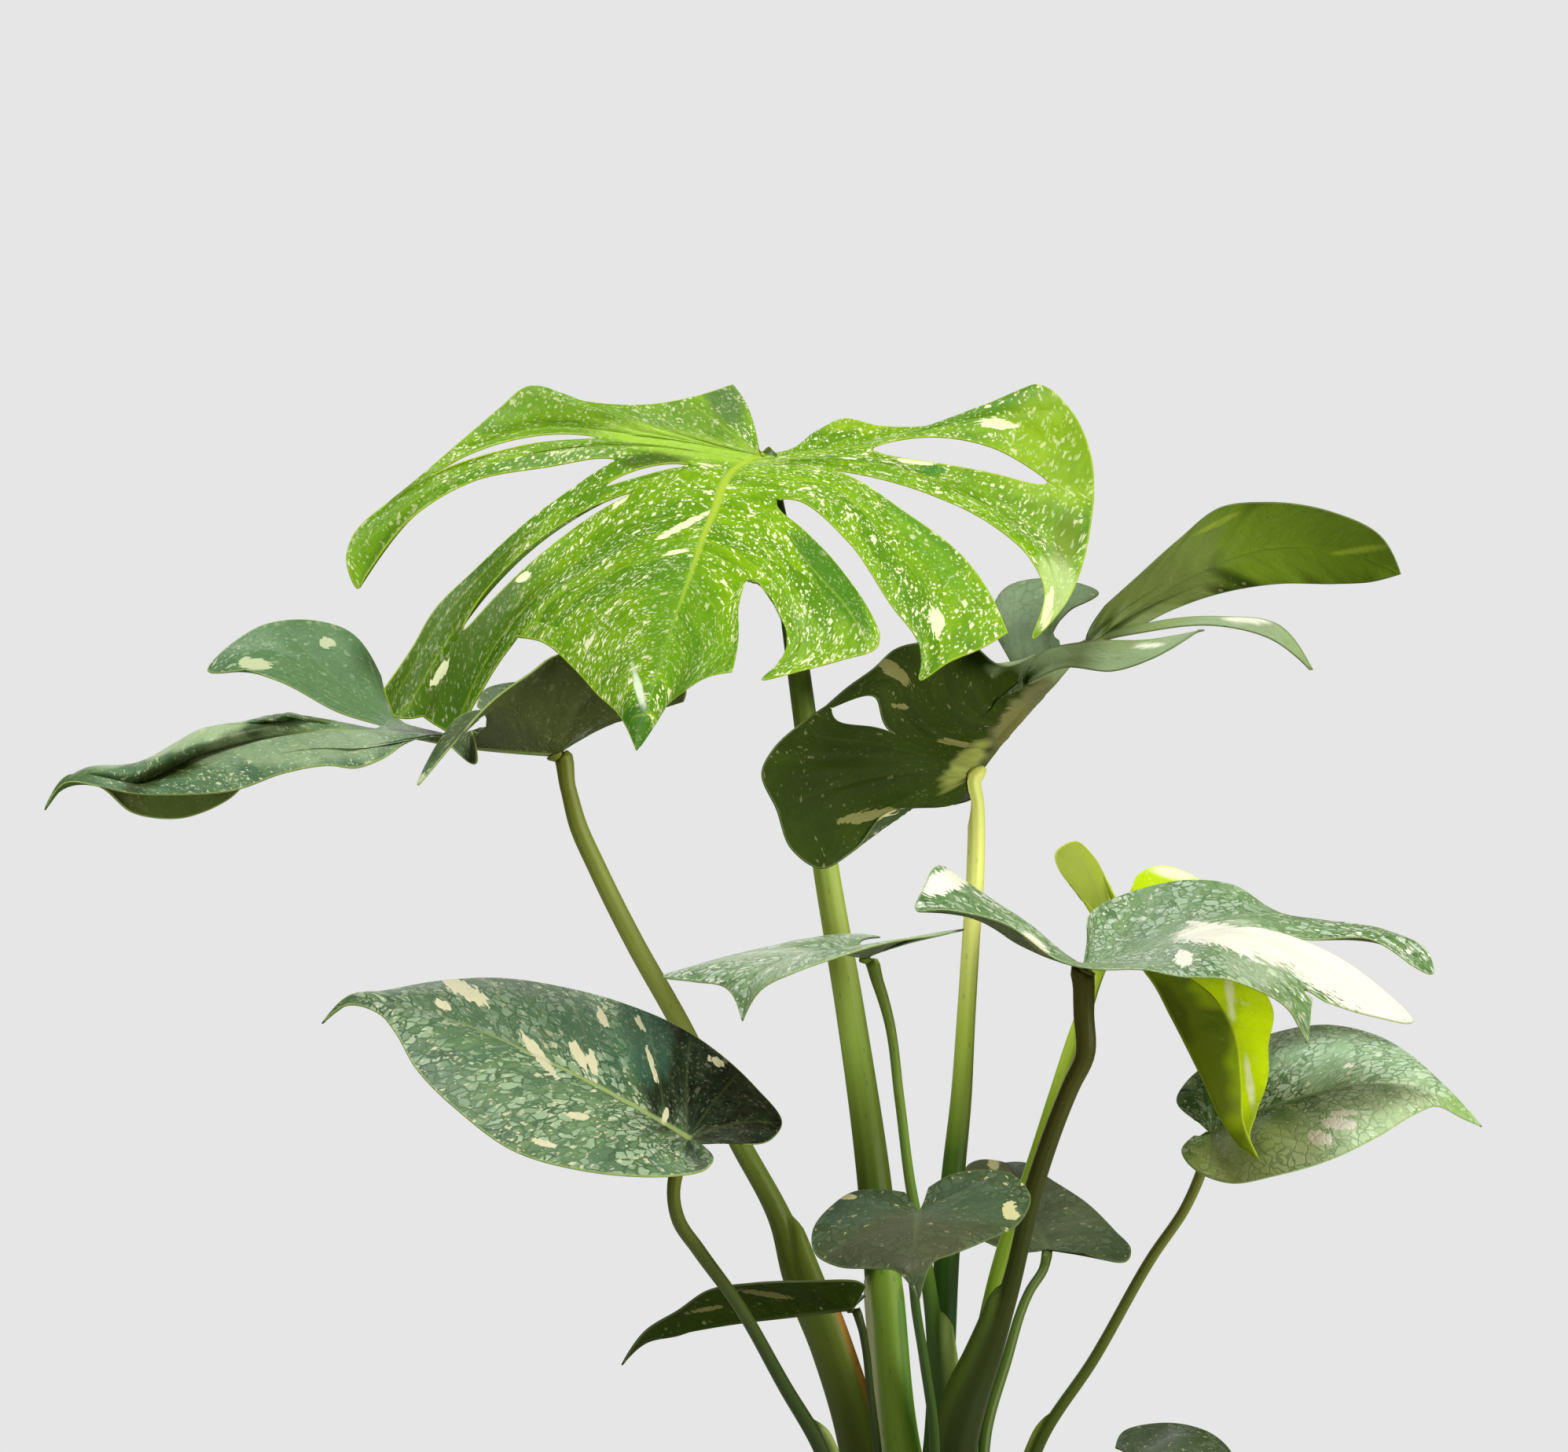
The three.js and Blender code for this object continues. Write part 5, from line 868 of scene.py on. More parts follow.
def open_cut(before, after, along):
    """Both edges of a cut run as one line up to its start. From there they part as a quarter ellipse to
    their own veins; a hole's edges part by its width times the root of a half sine. One that leans is
    widest past its middle, as a half sine of the squared way, and both its edges move to one side."""
    start, end, width, lean = before["cut"]
    edge, inner = before["lines"][-1], before["lines"][-2]
    other, other_inner = after["lines"][0], after["lines"][1]
    way = np.clip((along - start) / (end - start), 0, 1)
    parted = (along > start) & (along < end + (end == 1))
    if end < 1:
        opening = np.zeros_like(along)
        wide = width * (np.sin(np.pi * way ** 2).clip(0) if lean else np.sqrt(np.sin(np.pi * way).clip(0)))
    else:
        opening = np.sqrt(1 - (1 - np.clip((along - start) / CUT_ROUND, 0, 1)) ** 2)
        wide = width * opening * (1 - CUT_NARROWING * way)
    across = unit(other_inner - inner) * (wide * parted)[:, None]
    move = (other - edge) / 2 * opening[:, None] + across
    middle = (edge + other) / 2 + lean * across
    before["last_fix"] = middle - move - edge
    after["first_fix"] = middle + move - other
    before["parted_last"] = parted
    after["parted_first"] = parted


def rows_of(lobe, levels, step):
    """Where a lobe's rows lie: the pair of veins each is between and its share of the way, evenly spaced at
    the margin and with one row at each level of the rib."""
    wide = np.linalg.norm(np.diff(lobe["lines"], axis=0), axis=2).max(axis=1)
    cells, shares = [], []
    for i, (a, b) in enumerate(zip(lobe["at"], lobe["at"][1:])):
        knots = np.array([0.0, 1.0])
        if b > a:
            inside = levels[(levels > a - 1e-6) & (levels < b - 1e-6)]
            knots = np.append((inside - a) / (b - a), 1.0)
        parts = np.maximum(1, np.ceil(wide[i] * np.diff(knots) / step - 0.3))
        stations = np.append(0, np.cumsum(parts))
        share = np.interp(np.arange(stations[-1]), stations, knots)
        cells.append(np.full(len(share), i))
        shares.append(share)
    return np.append(np.concatenate(cells), len(wide) - 1), np.append(np.concatenate(shares), 1.0)


def lay_rows(lobe, levels, rib, along, step):
    """The points of a lobe: cubics across its veins at each row, bent to its cuts and set on the rib."""
    lines, at = lobe["lines"], lobe["at"]
    u = np.append(0, np.cumsum(1 + np.linalg.norm(np.diff(lines[:, -1], axis=0), axis=1)))
    tangents = slopes(lines, u)
    i, t = rows_of(lobe, levels, step)
    span = (u[i + 1] - u[i])[:, None, None]
    rows = hermite(lines[i], lines[i + 1], tangents[i], tangents[i + 1], span, t[:, None, None])
    where = ((u[i] + (u[i + 1] - u[i]) * t) / u[-1])[:, None, None]
    if "first_fix" in lobe:
        rows = rows + lobe["first_fix"] * np.maximum(0, 1 - where / REACH_OF_CUT) ** 2
    if "last_fix" in lobe:
        rows = rows + lobe["last_fix"] * np.maximum(0, 1 - (1 - where) / REACH_OF_CUT) ** 2
    row_at = at[i] + (at[i + 1] - at[i]) * t
    slip = smooth(rib, row_at) - rows[:, 0]
    return rows + slip[:, None] * ((1 - along) ** 2)[None, :, None], row_at


def measure_lobe(lobe, rows, spacing):
    """Distances in a lobe, in millimetres: along each vein, across from its first row at 0.6 of the way
    out, to the nearest main vein, and to the nearest edge."""
    along_mm = np.concatenate([np.zeros((len(rows), 1)),
                               np.cumsum(np.linalg.norm(np.diff(rows, axis=1), axis=2), axis=1)], axis=1)
    middle = rows[:, int(0.6 * rows.shape[1])]
    across = np.append(0, np.cumsum(np.linalg.norm(np.diff(middle, axis=0), axis=1)))
    count = max(1, round(across[-1] / spacing))
    main = np.searchsorted(across, (np.arange(count) + 0.5) / count * across[-1])
    lateral = np.min([np.linalg.norm(rows - rows[m], axis=2) for m in main], axis=0)
    edge = along_mm[:, -1:] - along_mm
    for key, row in (("parted_first", 0), ("parted_last", -1)):
        if key in lobe:
            away = np.linalg.norm(rows - rows[row], axis=2)
            edge = np.minimum(edge, np.where(lobe[key], away, 1e3))
    return along_mm, across, lateral, edge


def sheet_of(leaf, detail):
    """The sheet of a leaf as points, triangles and measures. Both sides share the points of the rib."""
    step = detail["step"]
    rib = place([leaf["joint"]] + leaf["rib"])
    length = np.linalg.norm(np.diff(rib, axis=0), axis=1).sum()
    veins = [entry for entry in leaf["left"] + leaf["right"] if not isinstance(entry[0], str)]
    longest = max(np.linalg.norm(place([entry[-1]])[0] - smooth(rib, [entry[0]])[0]) for entry in veins)
    along = np.linspace(0, 1, math.ceil(longest / step) + 1)
    marks = np.array(sorted({0.0, 1.0, *(entry[0] for entry in veins)}))
    parts = np.maximum(1, np.ceil(np.diff(marks) * length / step))
    stations = np.append(0, np.cumsum(parts))
    levels = np.interp(np.arange(stations[-1] + 1), stations, marks)

    points = [smooth(rib, levels)]
    none, far = np.zeros(len(levels)), np.full(len(levels), 99.0)
    measures = [np.column_stack([none, none, far, far, levels])]
    quads, fans = [], []
    total = len(levels)
    for sign, side in ((-1, leaf["left"]), (1, leaf["right"])):
        start_across = 0.0
        previous = previous_level = None
        for lobe in lobes_of(side, leaf, rib, along):
            rows, row_at = lay_rows(lobe, levels, rib, along, step)
            along_mm, across, lateral, edge = measure_lobe(lobe, rows, detail["veins"])
            level = np.abs(levels[None] - row_at[:, None]).argmin(axis=1)
            ids = total + np.arange(rows.shape[0] * rows.shape[1]).reshape(rows.shape[:2])
            if previous is not None:
                ids[0] = np.where(lobe["parted_first"], ids[0], previous)
                between = np.arange(previous_level, level[0])
                fans.append(np.column_stack([between, between * 0 + previous[1], between + 1])[:, ::-sign])
            ids[:, 0] = level
            ids[row_at == 1] = len(levels) - 1
            quad = np.stack([ids[:-1, :-1], ids[:-1, 1:], ids[1:, 1:], ids[1:, :-1]], axis=-1).reshape(-1, 4)
            quads.append(quad[:, ::-sign])
            spread = np.broadcast_to((sign * (start_across + across))[:, None], along_mm.shape)
            share = np.broadcast_to(row_at[:, None], along_mm.shape)
            points.append(rows.reshape(-1, 3))
            measures.append(np.stack([along_mm, spread, lateral, edge, share], axis=-1).reshape(-1, 5))
            total += rows.shape[0] * rows.shape[1]
            start_across += across[-1]
            previous, previous_level = ids[-1], level[-1]
    points, measures = np.concatenate(points), np.concatenate(measures)
    a, b, c, d = np.concatenate(quads).T
    straight = np.linalg.norm(points[a] - points[c], axis=1) <= np.linalg.norm(points[b] - points[d], axis=1)
    halves = [np.column_stack([a, b, np.where(straight, c, d)]),
              np.column_stack([np.where(straight, a, b), c, d])]
    triangles = np.concatenate(halves + fans)
    real = (triangles != np.roll(triangles, 1, axis=1)).all(axis=1)
    used, triangles = np.unique(triangles[real], return_inverse=True)
    return points[used], triangles.reshape(-1, 3), measures[used]


def face_normals(points, triangles):
    """Normals at the points: the sum of the cross products of the triangles round each."""
    a, b, c = points[triangles].transpose(1, 0, 2)
    cross = np.cross(b - a, c - a)
    total = np.zeros_like(points)
    for corner in range(3):
        np.add.at(total, triangles[:, corner], cross)
    return unit(total)


def close_sheet(points, triangles, normals, top, below):
    """A sheet as a closed shell: its face raised by top along the normals, the same face turned over and
    lowered by below, and a round edge of two strips along each open edge."""
    count = len(points)
    edges = np.concatenate([triangles[:, [0, 1]], triangles[:, [1, 2]], triangles[:, [2, 0]]])
    open_edge = ~np.isin(edges[:, 0] * count + edges[:, 1], edges[:, 1] * count + edges[:, 0])
    s, e = edges[open_edge].T
    outward = np.zeros_like(points)
    for end in (s, e):
        np.add.at(outward, end, unit(np.cross(points[e] - points[s], normals[end])))
    rim = np.unique(s)
    number = np.zeros(count, int)
    number[rim] = 2 * count + np.arange(len(rim))
    every = np.concatenate([points + normals * top[:, None], points - normals * below[:, None],
                            points[rim] + unit(outward[rim]) * BLADE_THICKNESS * EDGE_BULGE])
    ms, me = number[s], number[e]
    shell = np.concatenate([
        triangles, triangles[:, ::-1] + count,
        np.column_stack([e, s, ms]), np.column_stack([e, ms, me]),
        np.column_stack([me, ms, s + count]), np.column_stack([me, s + count, e + count]),
    ])
    return every, shell, rim


def turned(radii, heights, sides):
    """Rings of points round the upright axis, one for each radius and height: (r cos a, r sin a, z)."""
    angle = np.linspace(0, 2 * np.pi, sides, endpoint=False)
    radii, heights = np.asarray(radii, float)[:, None], np.asarray(heights, float)[:, None]
    return np.stack([radii * np.cos(angle), radii * np.sin(angle), heights + 0 * angle], -1)


def band_faces(rings, sides):
    """The triangles between neighbouring rings of points, two for each cell."""
    a = np.arange(rings - 1)[:, None] * sides + np.arange(sides)
    b = np.arange(rings - 1)[:, None] * sides + (np.arange(sides) + 1) % sides
    halves = [np.stack([a, a + sides, b + sides], -1), np.stack([a, b + sides, b], -1)]
    return np.stack(halves).reshape(-1, 3)


def fan_faces(centre, first, sides):
    """The triangles from one point to a ring whose points are numbered from first."""
    k = np.arange(sides)
    return np.column_stack([np.full(sides, centre), first + k, first + (k + 1) % sides])


def rotate(u, v, turn):
    """Two coordinates turned by an angle: u cos - v sin, and u sin + v cos."""
    c, s = np.cos(turn), np.sin(turn)
    return u * c - v * s, u * s + v * c


def mesh_object(name, points, triangles, layers, sharp=None):
    """A mesh from points in millimetres and triangles, with named layers of per-point values."""
    mesh = bpy.data.meshes.new(name)
    mesh.vertices.add(len(points))
    mesh.vertices.foreach_set("co", (points / 1000).astype(np.float32).ravel())
    mesh.loops.add(3 * len(triangles))
    mesh.loops.foreach_set("vertex_index", triangles.astype(np.int32).ravel())
    mesh.polygons.add(len(triangles))
    mesh.polygons.foreach_set("loop_start", np.arange(0, 3 * len(triangles), 3, dtype=np.int32))
    mesh.update(calc_edges=True)
    mesh.shade_smooth()
    for label, kind, values in layers:
        field = {"FLOAT_VECTOR": "vector", "FLOAT_COLOR": "color"}[kind]
        layer = mesh.attributes.new(label, kind, "POINT")
        layer.data.foreach_set(field, values.astype(np.float32).ravel())
    if sharp is not None:
        mesh.set_sharp_from_angle(angle=math.radians(sharp))
    made = bpy.data.objects.new(name, mesh)
    bpy.context.scene.collection.objects.link(made)
    return made


# Blades

def cream_field(name, points):
    """How far inside a cream patch a point lies: 1.5 minus its distance from the middle in radii, turned in
    view, and held between 0 and 1."""
    seen = seen_from(points)
    field = np.zeros(len(points))
    for x, z, depth, radius_x, radius_z, radius_depth, turn in SPOTS.get(name, []):
        across, up, away = (seen - [x, z, depth]).T
        long, wide = rotate(across, up, -math.radians(turn))
        far = np.sqrt((long / radius_x) ** 2 + (wide / radius_z) ** 2 + (away / radius_depth) ** 2)
        field = np.maximum(field, 1.5 - far)
    return field.clip(0, 1)


def shade_light_and_tone_colours(name, points, across_veins):
    """The washes at each point, with their painted shade and painted light, laid one over the other: a
    colour, and how strong it is in all. Each is full up to 0.8 of its radii and gone at 1.3, give or take
    two sines across the veins that draw its border out along them."""
    seen = seen_from(points)
    streaks = 0.10 * (np.sin(across_veins / 2.3) + np.sin(across_veins / 5.1 + 2))
    colour, cover = np.zeros((len(points), 3)), np.zeros((len(points), 1))
    for x, z, radius_x, radius_z, turn, code, strength in SHADE_LIGHT_AND_TONE_WASHES.get(name, []):
        across, up = (seen[:, :2] - [x, z]).T
        long, wide = rotate(across, up, -math.radians(turn))
        far = np.hypot(long / radius_x, wide / radius_z)
        share = strength * ((1.3 - far - streaks) / 0.5).clip(0, 1)[:, None]
        total = share + cover * (1 - share)
        colour = (np.array(linear(code)) * share + colour * cover * (1 - share)) / np.maximum(total, 1e-6)
        cover = total
    return np.column_stack([colour, cover])


def build_blade(name, number, thickness):
    """A blade: its sheet, grooved above along the rib and the main veins, swelling between them and puckered
    by crossed sines, with rib and veins standing out below. Rib and veins fall off as
    exp(-(distance / width) ** 2). Veins and swellings grow outward, over two spacings of the veins."""
    leaf = LEAVES[name]
    detail = DETAIL[leaf["detail"]]
    points, triangles, measures = sheet_of(leaf, detail)
    along, across, lateral, edge, share = measures.T
    normals = face_normals(points, triangles)
    if (normals @ np.array(leaf["up"], float)).sum() < 0:
        triangles, normals = triangles[:, ::-1], -normals
    inside = np.clip(edge / EDGE_FADE, 0, 1)
    rib = np.exp(-(along / (RIB_TIP_WIDTH + RIB_WIDTH * (1 - share))) ** 2)
    grown = np.clip(along / (2 * detail["veins"]), 0.05, 1)
    swell = 1 - np.exp(-(lateral / DIP_WIDTH) ** 2)
    swell = swell * (1 - np.exp(-(along / RIB_FADE) ** 2)) * inside * grown
    vein = np.exp(-(lateral / VEIN_WIDTH) ** 2) * inside * grown
    pucker = np.sin(across / 2.1 + 1.3 * np.sin(along / 5 + number)) * np.sin(along / 2.6 + number) * inside
    relief = detail["rib"] * (SWELL_HEIGHT * swell - RIB_GROOVE * rib - VEIN_GROOVE * vein)
    relief = relief + PUCKER_HEIGHT * pucker
    ridge = detail["rib"] * (RIB_BELOW * rib * (1 - share ** 2) + VEIN_BELOW * vein)
    shell, faces, rim = close_sheet(points, triangles, normals, thickness / 2 + relief,
                                    thickness / 2 - relief * 0.7 + ridge)
    pick = np.concatenate([np.arange(len(points))] * 2 + [rim])
    upper = np.concatenate([np.ones(len(points)), np.zeros(len(points)), np.full(len(rim), 0.5)])
    veins = np.column_stack([along, across + 1000 * (number + 1), lateral])[pick]
    bright = rib * np.clip(1.15 - share, 0, 1)
    margin = np.clip(edge / MARGIN_REACH, 0, 1)
    tone = np.column_stack([upper, cream_field(name, points)[pick], bright[pick], margin[pick]])
    layers = [("vein", "FLOAT_VECTOR", veins), ("tone", "FLOAT_COLOR", tone),
              ("wash", "FLOAT_COLOR", shade_light_and_tone_colours(name, points, across)[pick])]
    return mesh_object(f"{name}_leaf", shell, faces, layers, sharp=BLADE_CREASE)


# Stalks

def seat_facing(name):
    """The way the upper face of a blade looks where its stalk ends."""
    leaf = LEAVES[name]
    points, triangles, _ = sheet_of(leaf, ROUGH_SHEET)
    near = np.linalg.norm(points - points[0], axis=1) < SEAT_REACH
    normal = face_normals(points, triangles)[near].mean(axis=0)
    return unit(normal if normal @ np.array(leaf["up"], float) > 0 else -normal)


def stalk_spine(name, facing):
    """The line that a stalk follows, as points and radii: upright at the foot, along its path, and a knee
    that bends on into the rib under the blade. Also the seat, where it meets the blade."""
    foot, path = STALKS[name]["foot"], np.array(STALKS[name]["path"], float)
    low = [[foot[0], foot[1], STALK_FOOT + rise, foot[2]] for rise in STRAIGHT_FOOT]
    seat = place([LEAVES[name]["joint"]])[0]
    onward = unit(place([LEAVES[name]["rib"][0]])[0] - seat)
    thick = path[-1, 3]
    knee = [[*(seat + reach * thick * onward - sunk * thick * facing), share * thick]
            for reach, sunk, share in KNEE]
    return np.concatenate([low, np.column_stack([place(path[:, :3]), path[:, 3]]), knee]), seat


def sheath_edges(name, angle, height, tint):
    """How far a stalk's sheath stands out at each point, and the tints with its own colour over them. A
    wing rises below its point as a square root, and round the stalk it is exp(-(turn / spread) ** 3)."""
    wing = np.zeros(tint.shape[:2])
    for turn, spread, high, bottom, width, code in WINGS.get(name, []):
        off = np.angle(np.exp(1j * (angle - math.radians(turn)))) / math.radians(spread)
        point = high - WING_DROP * off ** 2
        rise = np.sqrt(np.clip((point - height) / WING_RISE, 0, 1))
        rise = rise * np.clip((height - bottom) / (high - bottom), 0, 1) ** 0.6
        shape = rise * np.exp(-np.abs(off) ** 3)
        wing = np.maximum(wing, width * shape)
        tint = tint + (np.array(linear(code)) - tint) * np.clip(shape * 1.4, 0, 1)[..., None]
    return wing, tint


def build_stalk(name, facing):
    """A stalk: a round section carried along its line, ribbed by a small cosine round it, swelling by a
    slow sine along it, and drawn out where its sheath ends. Its top is pressed flat against the underside
    of the blade."""
    spine, seat = stalk_spine(name, facing)
    length = np.linalg.norm(np.diff(spine[:, :3], axis=0), axis=1).sum()
    rings, sides = math.ceil(length / STALK_STEP), STALK_SIDES
    shares = np.linspace(0, 1, rings + 1)
    line = smooth(spine, shares)
    centre, radius = line[:, :3], line[:, 3:]
    tangent = unit(np.gradient(centre, axis=0))
    right = unit(np.array([1.0, 0, 0]) - tangent[:, :1] * tangent)
    away = np.cross(tangent, right)
    angle = np.linspace(0, 2 * np.pi, sides, endpoint=False)
    height = seen_from(centre)[:, 1:2]
    lift = np.clip((height - height[0]) / (height[-1] - height[0]), 0, 1)[:, 0]
    colours = np.array([linear(code) for code in TINTS[name]])
    stops = np.linspace(0, 1, len(colours))
    tint = np.column_stack([np.interp(lift, stops, colours[:, c]) for c in range(3)])
    wing, tint = sheath_edges(name, angle, height, np.repeat(tint[:, None], sides, axis=1))
    waves = np.sin(length * shares[:, None] / SWELLING["length"])
    grow = 1 + RIBBING["height"] * np.cos(RIBBING["count"] * angle) + SWELLING["height"] * waves
    reach = radius * grow + wing
    ring = centre[:, None] + reach[..., None] * (np.cos(angle)[:, None] * right[:, None]
                                                 + np.sin(angle)[:, None] * away[:, None])
    over = np.maximum(0, (ring - seat) @ facing + BLADE_THICKNESS / 2)
    near = np.clip((PRESS_REACH - np.linalg.norm(ring - seat, axis=2)) / PRESS_FADE, 0, 1)
    ring = ring - facing * (over * near)[..., None]
    points = np.concatenate([ring.reshape(-1, 3), centre[:1], ring[-1].mean(axis=0, keepdims=True)])
    ends = len(ring) * sides
    faces = np.concatenate([band_faces(rings + 1, sides)[:, ::-1], fan_faces(ends, 0, sides)[:, ::-1],
                            fan_faces(ends + 1, rings * sides, sides)])
    tint = np.concatenate([tint.reshape(-1, 3), tint[0, :1], tint[-1, :1]])
    lines = np.stack([length * shares[:, None] + 0 * angle, radius * np.cos(angle), radius * np.sin(angle)],
                     axis=-1).reshape(-1, 3)
    lines = np.concatenate([lines, lines[:1], lines[-1:]])
    tint = np.column_stack([tint, np.ones(len(tint))])
    layers = [("vein", "FLOAT_VECTOR", lines), ("tint", "FLOAT_COLOR", tint)]
    return mesh_object(f"{name}_stem", points, faces, layers)


# Potting mix and pot

def pot_radius(height):
    """The pot's outer radius at a height: a straight taper from its base to its top."""
    return POT_BASE_RADIUS + (POT_TOP_RADIUS - POT_BASE_RADIUS) * height / POT_HEIGHT


def mix_surface(x, y):
    """The height of the mix: a little under the soil level, plus three sines of x and y."""
    bumps = (np.sin(x / 9 + 1.7 * np.sin(y / 13)) + np.sin(y / 7 + 2.1 * np.sin(x / 11))
             + np.sin((x + y) / 4.3))
    return SOIL_LEVEL - MIX_DROP + MIX_RIPPLE * bumps


def build_mix():
    """The mix as a closed disc: its surface, which falls to the wall by the sixth power of the radius."""
    rings, sides = 60, 150
    outer = pot_radius(SOIL_LEVEL) - WALL_ROOM
    radii = np.linspace(0, outer, rings + 1)[1:]
    top = turned(radii, 0 * radii, sides)
    top[..., 2] = mix_surface(top[..., 0], top[..., 1]) - MIX_FALL * (radii[:, None] / outer) ** 6
    low = turned([pot_radius(MIX_FOOT) - WALL_ROOM], [MIX_FOOT], sides)
    points = np.concatenate([top.reshape(-1, 3), low.reshape(-1, 3),
                             [[0, 0, SOIL_LEVEL - MIX_DROP], [0, 0, MIX_FOOT]]])
    faces = np.concatenate([band_faces(rings + 1, sides), fan_faces(len(points) - 2, 0, sides),
                            fan_faces(len(points) - 1, rings * sides, sides)[:, ::-1]])
    return mesh_object("mix_bed", points, faces, [])


def scatter(name, count, sizes, seed, round_share, sink):
    """Loose pieces on the mix, between the least and the most of three sizes: blocks of 8 corners and 12
    faces, bent by up to round_share of their size, turned at random and sunk by sink of their thickness."""
    rng = np.random.default_rng(seed)
    corners = np.array([[x, y, z] for x in (-1, 1) for y in (-1, 1) for z in (-1, 1)], float) / 2
    faces = np.array([[0, 1, 3], [0, 3, 2], [4, 6, 7], [4, 7, 5], [0, 4, 5], [0, 5, 1], [2, 3, 7], [2, 7, 6],
                      [0, 2, 6], [0, 6, 4], [1, 5, 7], [1, 7, 3]])
    size = rng.uniform(*np.array(sizes, float), size=(count, 3))
    block = (corners * (1 + round_share * rng.uniform(-1, 1, (count, 8, 3)))) * size[:, None]
    turn, tip = rng.uniform(0, 2 * np.pi, count), rng.uniform(-CHIP_TIP, CHIP_TIP, count)
    x, z = rotate(block[..., 0], block[..., 2], tip[:, None])
    x, y = rotate(x, block[..., 1], turn[:, None])
    block = np.stack([x, y, z], -1)
    reach = pot_radius(SOIL_LEVEL) - CHIP_ROOM
    radius, angle = reach * np.sqrt(rng.uniform(0, 1, count)), rng.uniform(0, 2 * np.pi, count)
    x, y = radius * np.cos(angle), radius * np.sin(angle)
    z = mix_surface(x, y) + size[:, 2] * (0.5 - sink)
    points = (block + np.column_stack([x, y, z])[:, None]).reshape(-1, 3)
    numbers = faces[None] + len(corners) * np.arange(count)[:, None, None]
    made = mesh_object(name, points, numbers.reshape(-1, 3), [])
    made.data.shade_flat()
    return made


def build_pot(sides):
    """The pot: a profile of radii and heights, turned about the upright axis. It runs from the middle of
    the floor inside, up the wall, over the lip, down the rim and the outside, and under the foot."""
    lip = np.linspace(0, np.pi, 9)
    profile = np.concatenate([
        [[0, 8], [66, 8], [68.5, 9.5], [69.5, 13], [93.6, 172.0]],
        np.column_stack([LIP["radius"] - LIP["half"] * np.cos(lip),
                         POT_HEIGHT - LIP["rise"] + LIP["rise"] * np.sin(lip)]),
        [[105, 153.5], [104.4, 151.8], [102.6, 151], [97, 151], [96.2, 150.2]],
        [[74.5, 2.5], [73.6, 0.8], [71.5, 0], [0, 0]],
    ])
    rings = len(profile) - 2
    points = np.concatenate([turned(profile[1:-1, 0], profile[1:-1, 1], sides).reshape(-1, 3),
                             [[0, 0, profile[0, 1]], [0, 0, 0]]])
    faces = np.concatenate([band_faces(rings, sides)[:, ::-1], fan_faces(len(points) - 2, 0, sides),
                            fan_faces(len(points) - 1, (rings - 1) * sides, sides)[:, ::-1]])
    return mesh_object("planter", points, faces, [], sharp=POT_CREASE)


# Finishes

def node(tree, kind, inputs=None, out=0, **settings):
    """Adds a node with its settings and gives back its output. An input is a value, a colour like "#7ab82a"
    or the socket to link."""
    made = tree.nodes.new("ShaderNode" + kind)
    for key, value in settings.items():
        setattr(made, key, value)
    for key, value in (inputs or {}).items():
        socket = made.inputs[key]
        value = linear(value) if isinstance(value, str) else value
        if isinstance(value, bpy.types.NodeSocket):
            tree.links.new(value, socket)
        elif socket.type == "RGBA" and len(value) == 3:
            socket.default_value = (*value, 1)
        else:
            socket.default_value = value
    return made.outputs[out] if made.outputs else made


def new_finish(name):
    """An empty material and its node tree."""
    material = bpy.data.materials.new(name)
    material.use_nodes = True
    material.node_tree.nodes.clear()
    return material, material.node_tree


def fleck_mask(tree, where, rich, densities):
    """Flecks in four sizes, the smallest fainter: angular cells, drawn out along the veins. A cell has a
    fleck where its own random number is under the density, and a second number says how large it is."""
    flecks = None
    for number, (length, width) in enumerate(FLECK_SIZES):
        at = node(tree, "VectorMath", {0: where, 1: (1 / length, 1 / width, 0), 2: (31.7 * number,) * 3},
                  operation="MULTIPLY_ADD")
        cell = node(tree, "TexVoronoi", {"Vector": at, "Scale": 1}, distance="CHEBYCHEV").node
        pick, size, _ = node(tree, "SeparateColor", {0: cell.outputs["Color"]}).node.outputs
        limit = node(tree, "Math", {0: rich, 1: densities[number]}, operation="MULTIPLY")
        chosen = node(tree, "Math", {0: pick, 1: limit}, operation="LESS_THAN")
        size = node(tree, "MapRange", {0: size, 1: 0.0, 2: 1.0, 3: 0.22, 4: 0.62})
        inside = node(tree, "Math", {0: size, 1: cell.outputs["Distance"]}, operation="SUBTRACT")
        inside = node(tree, "MapRange", {0: inside, 1: 0.0, 2: 0.12, 3: 0.0, 4: 1.0})
        fleck = node(tree, "Math", {0: chosen, 1: inside}, operation="MULTIPLY")
        if number == 0:
            fleck = node(tree, "Math", {0: fleck, 1: 0.75}, operation="MULTIPLY")
        flecks = node(tree, "Math", {0: fleck, 1: flecks}, operation="MAXIMUM") if flecks else fleck
    return flecks


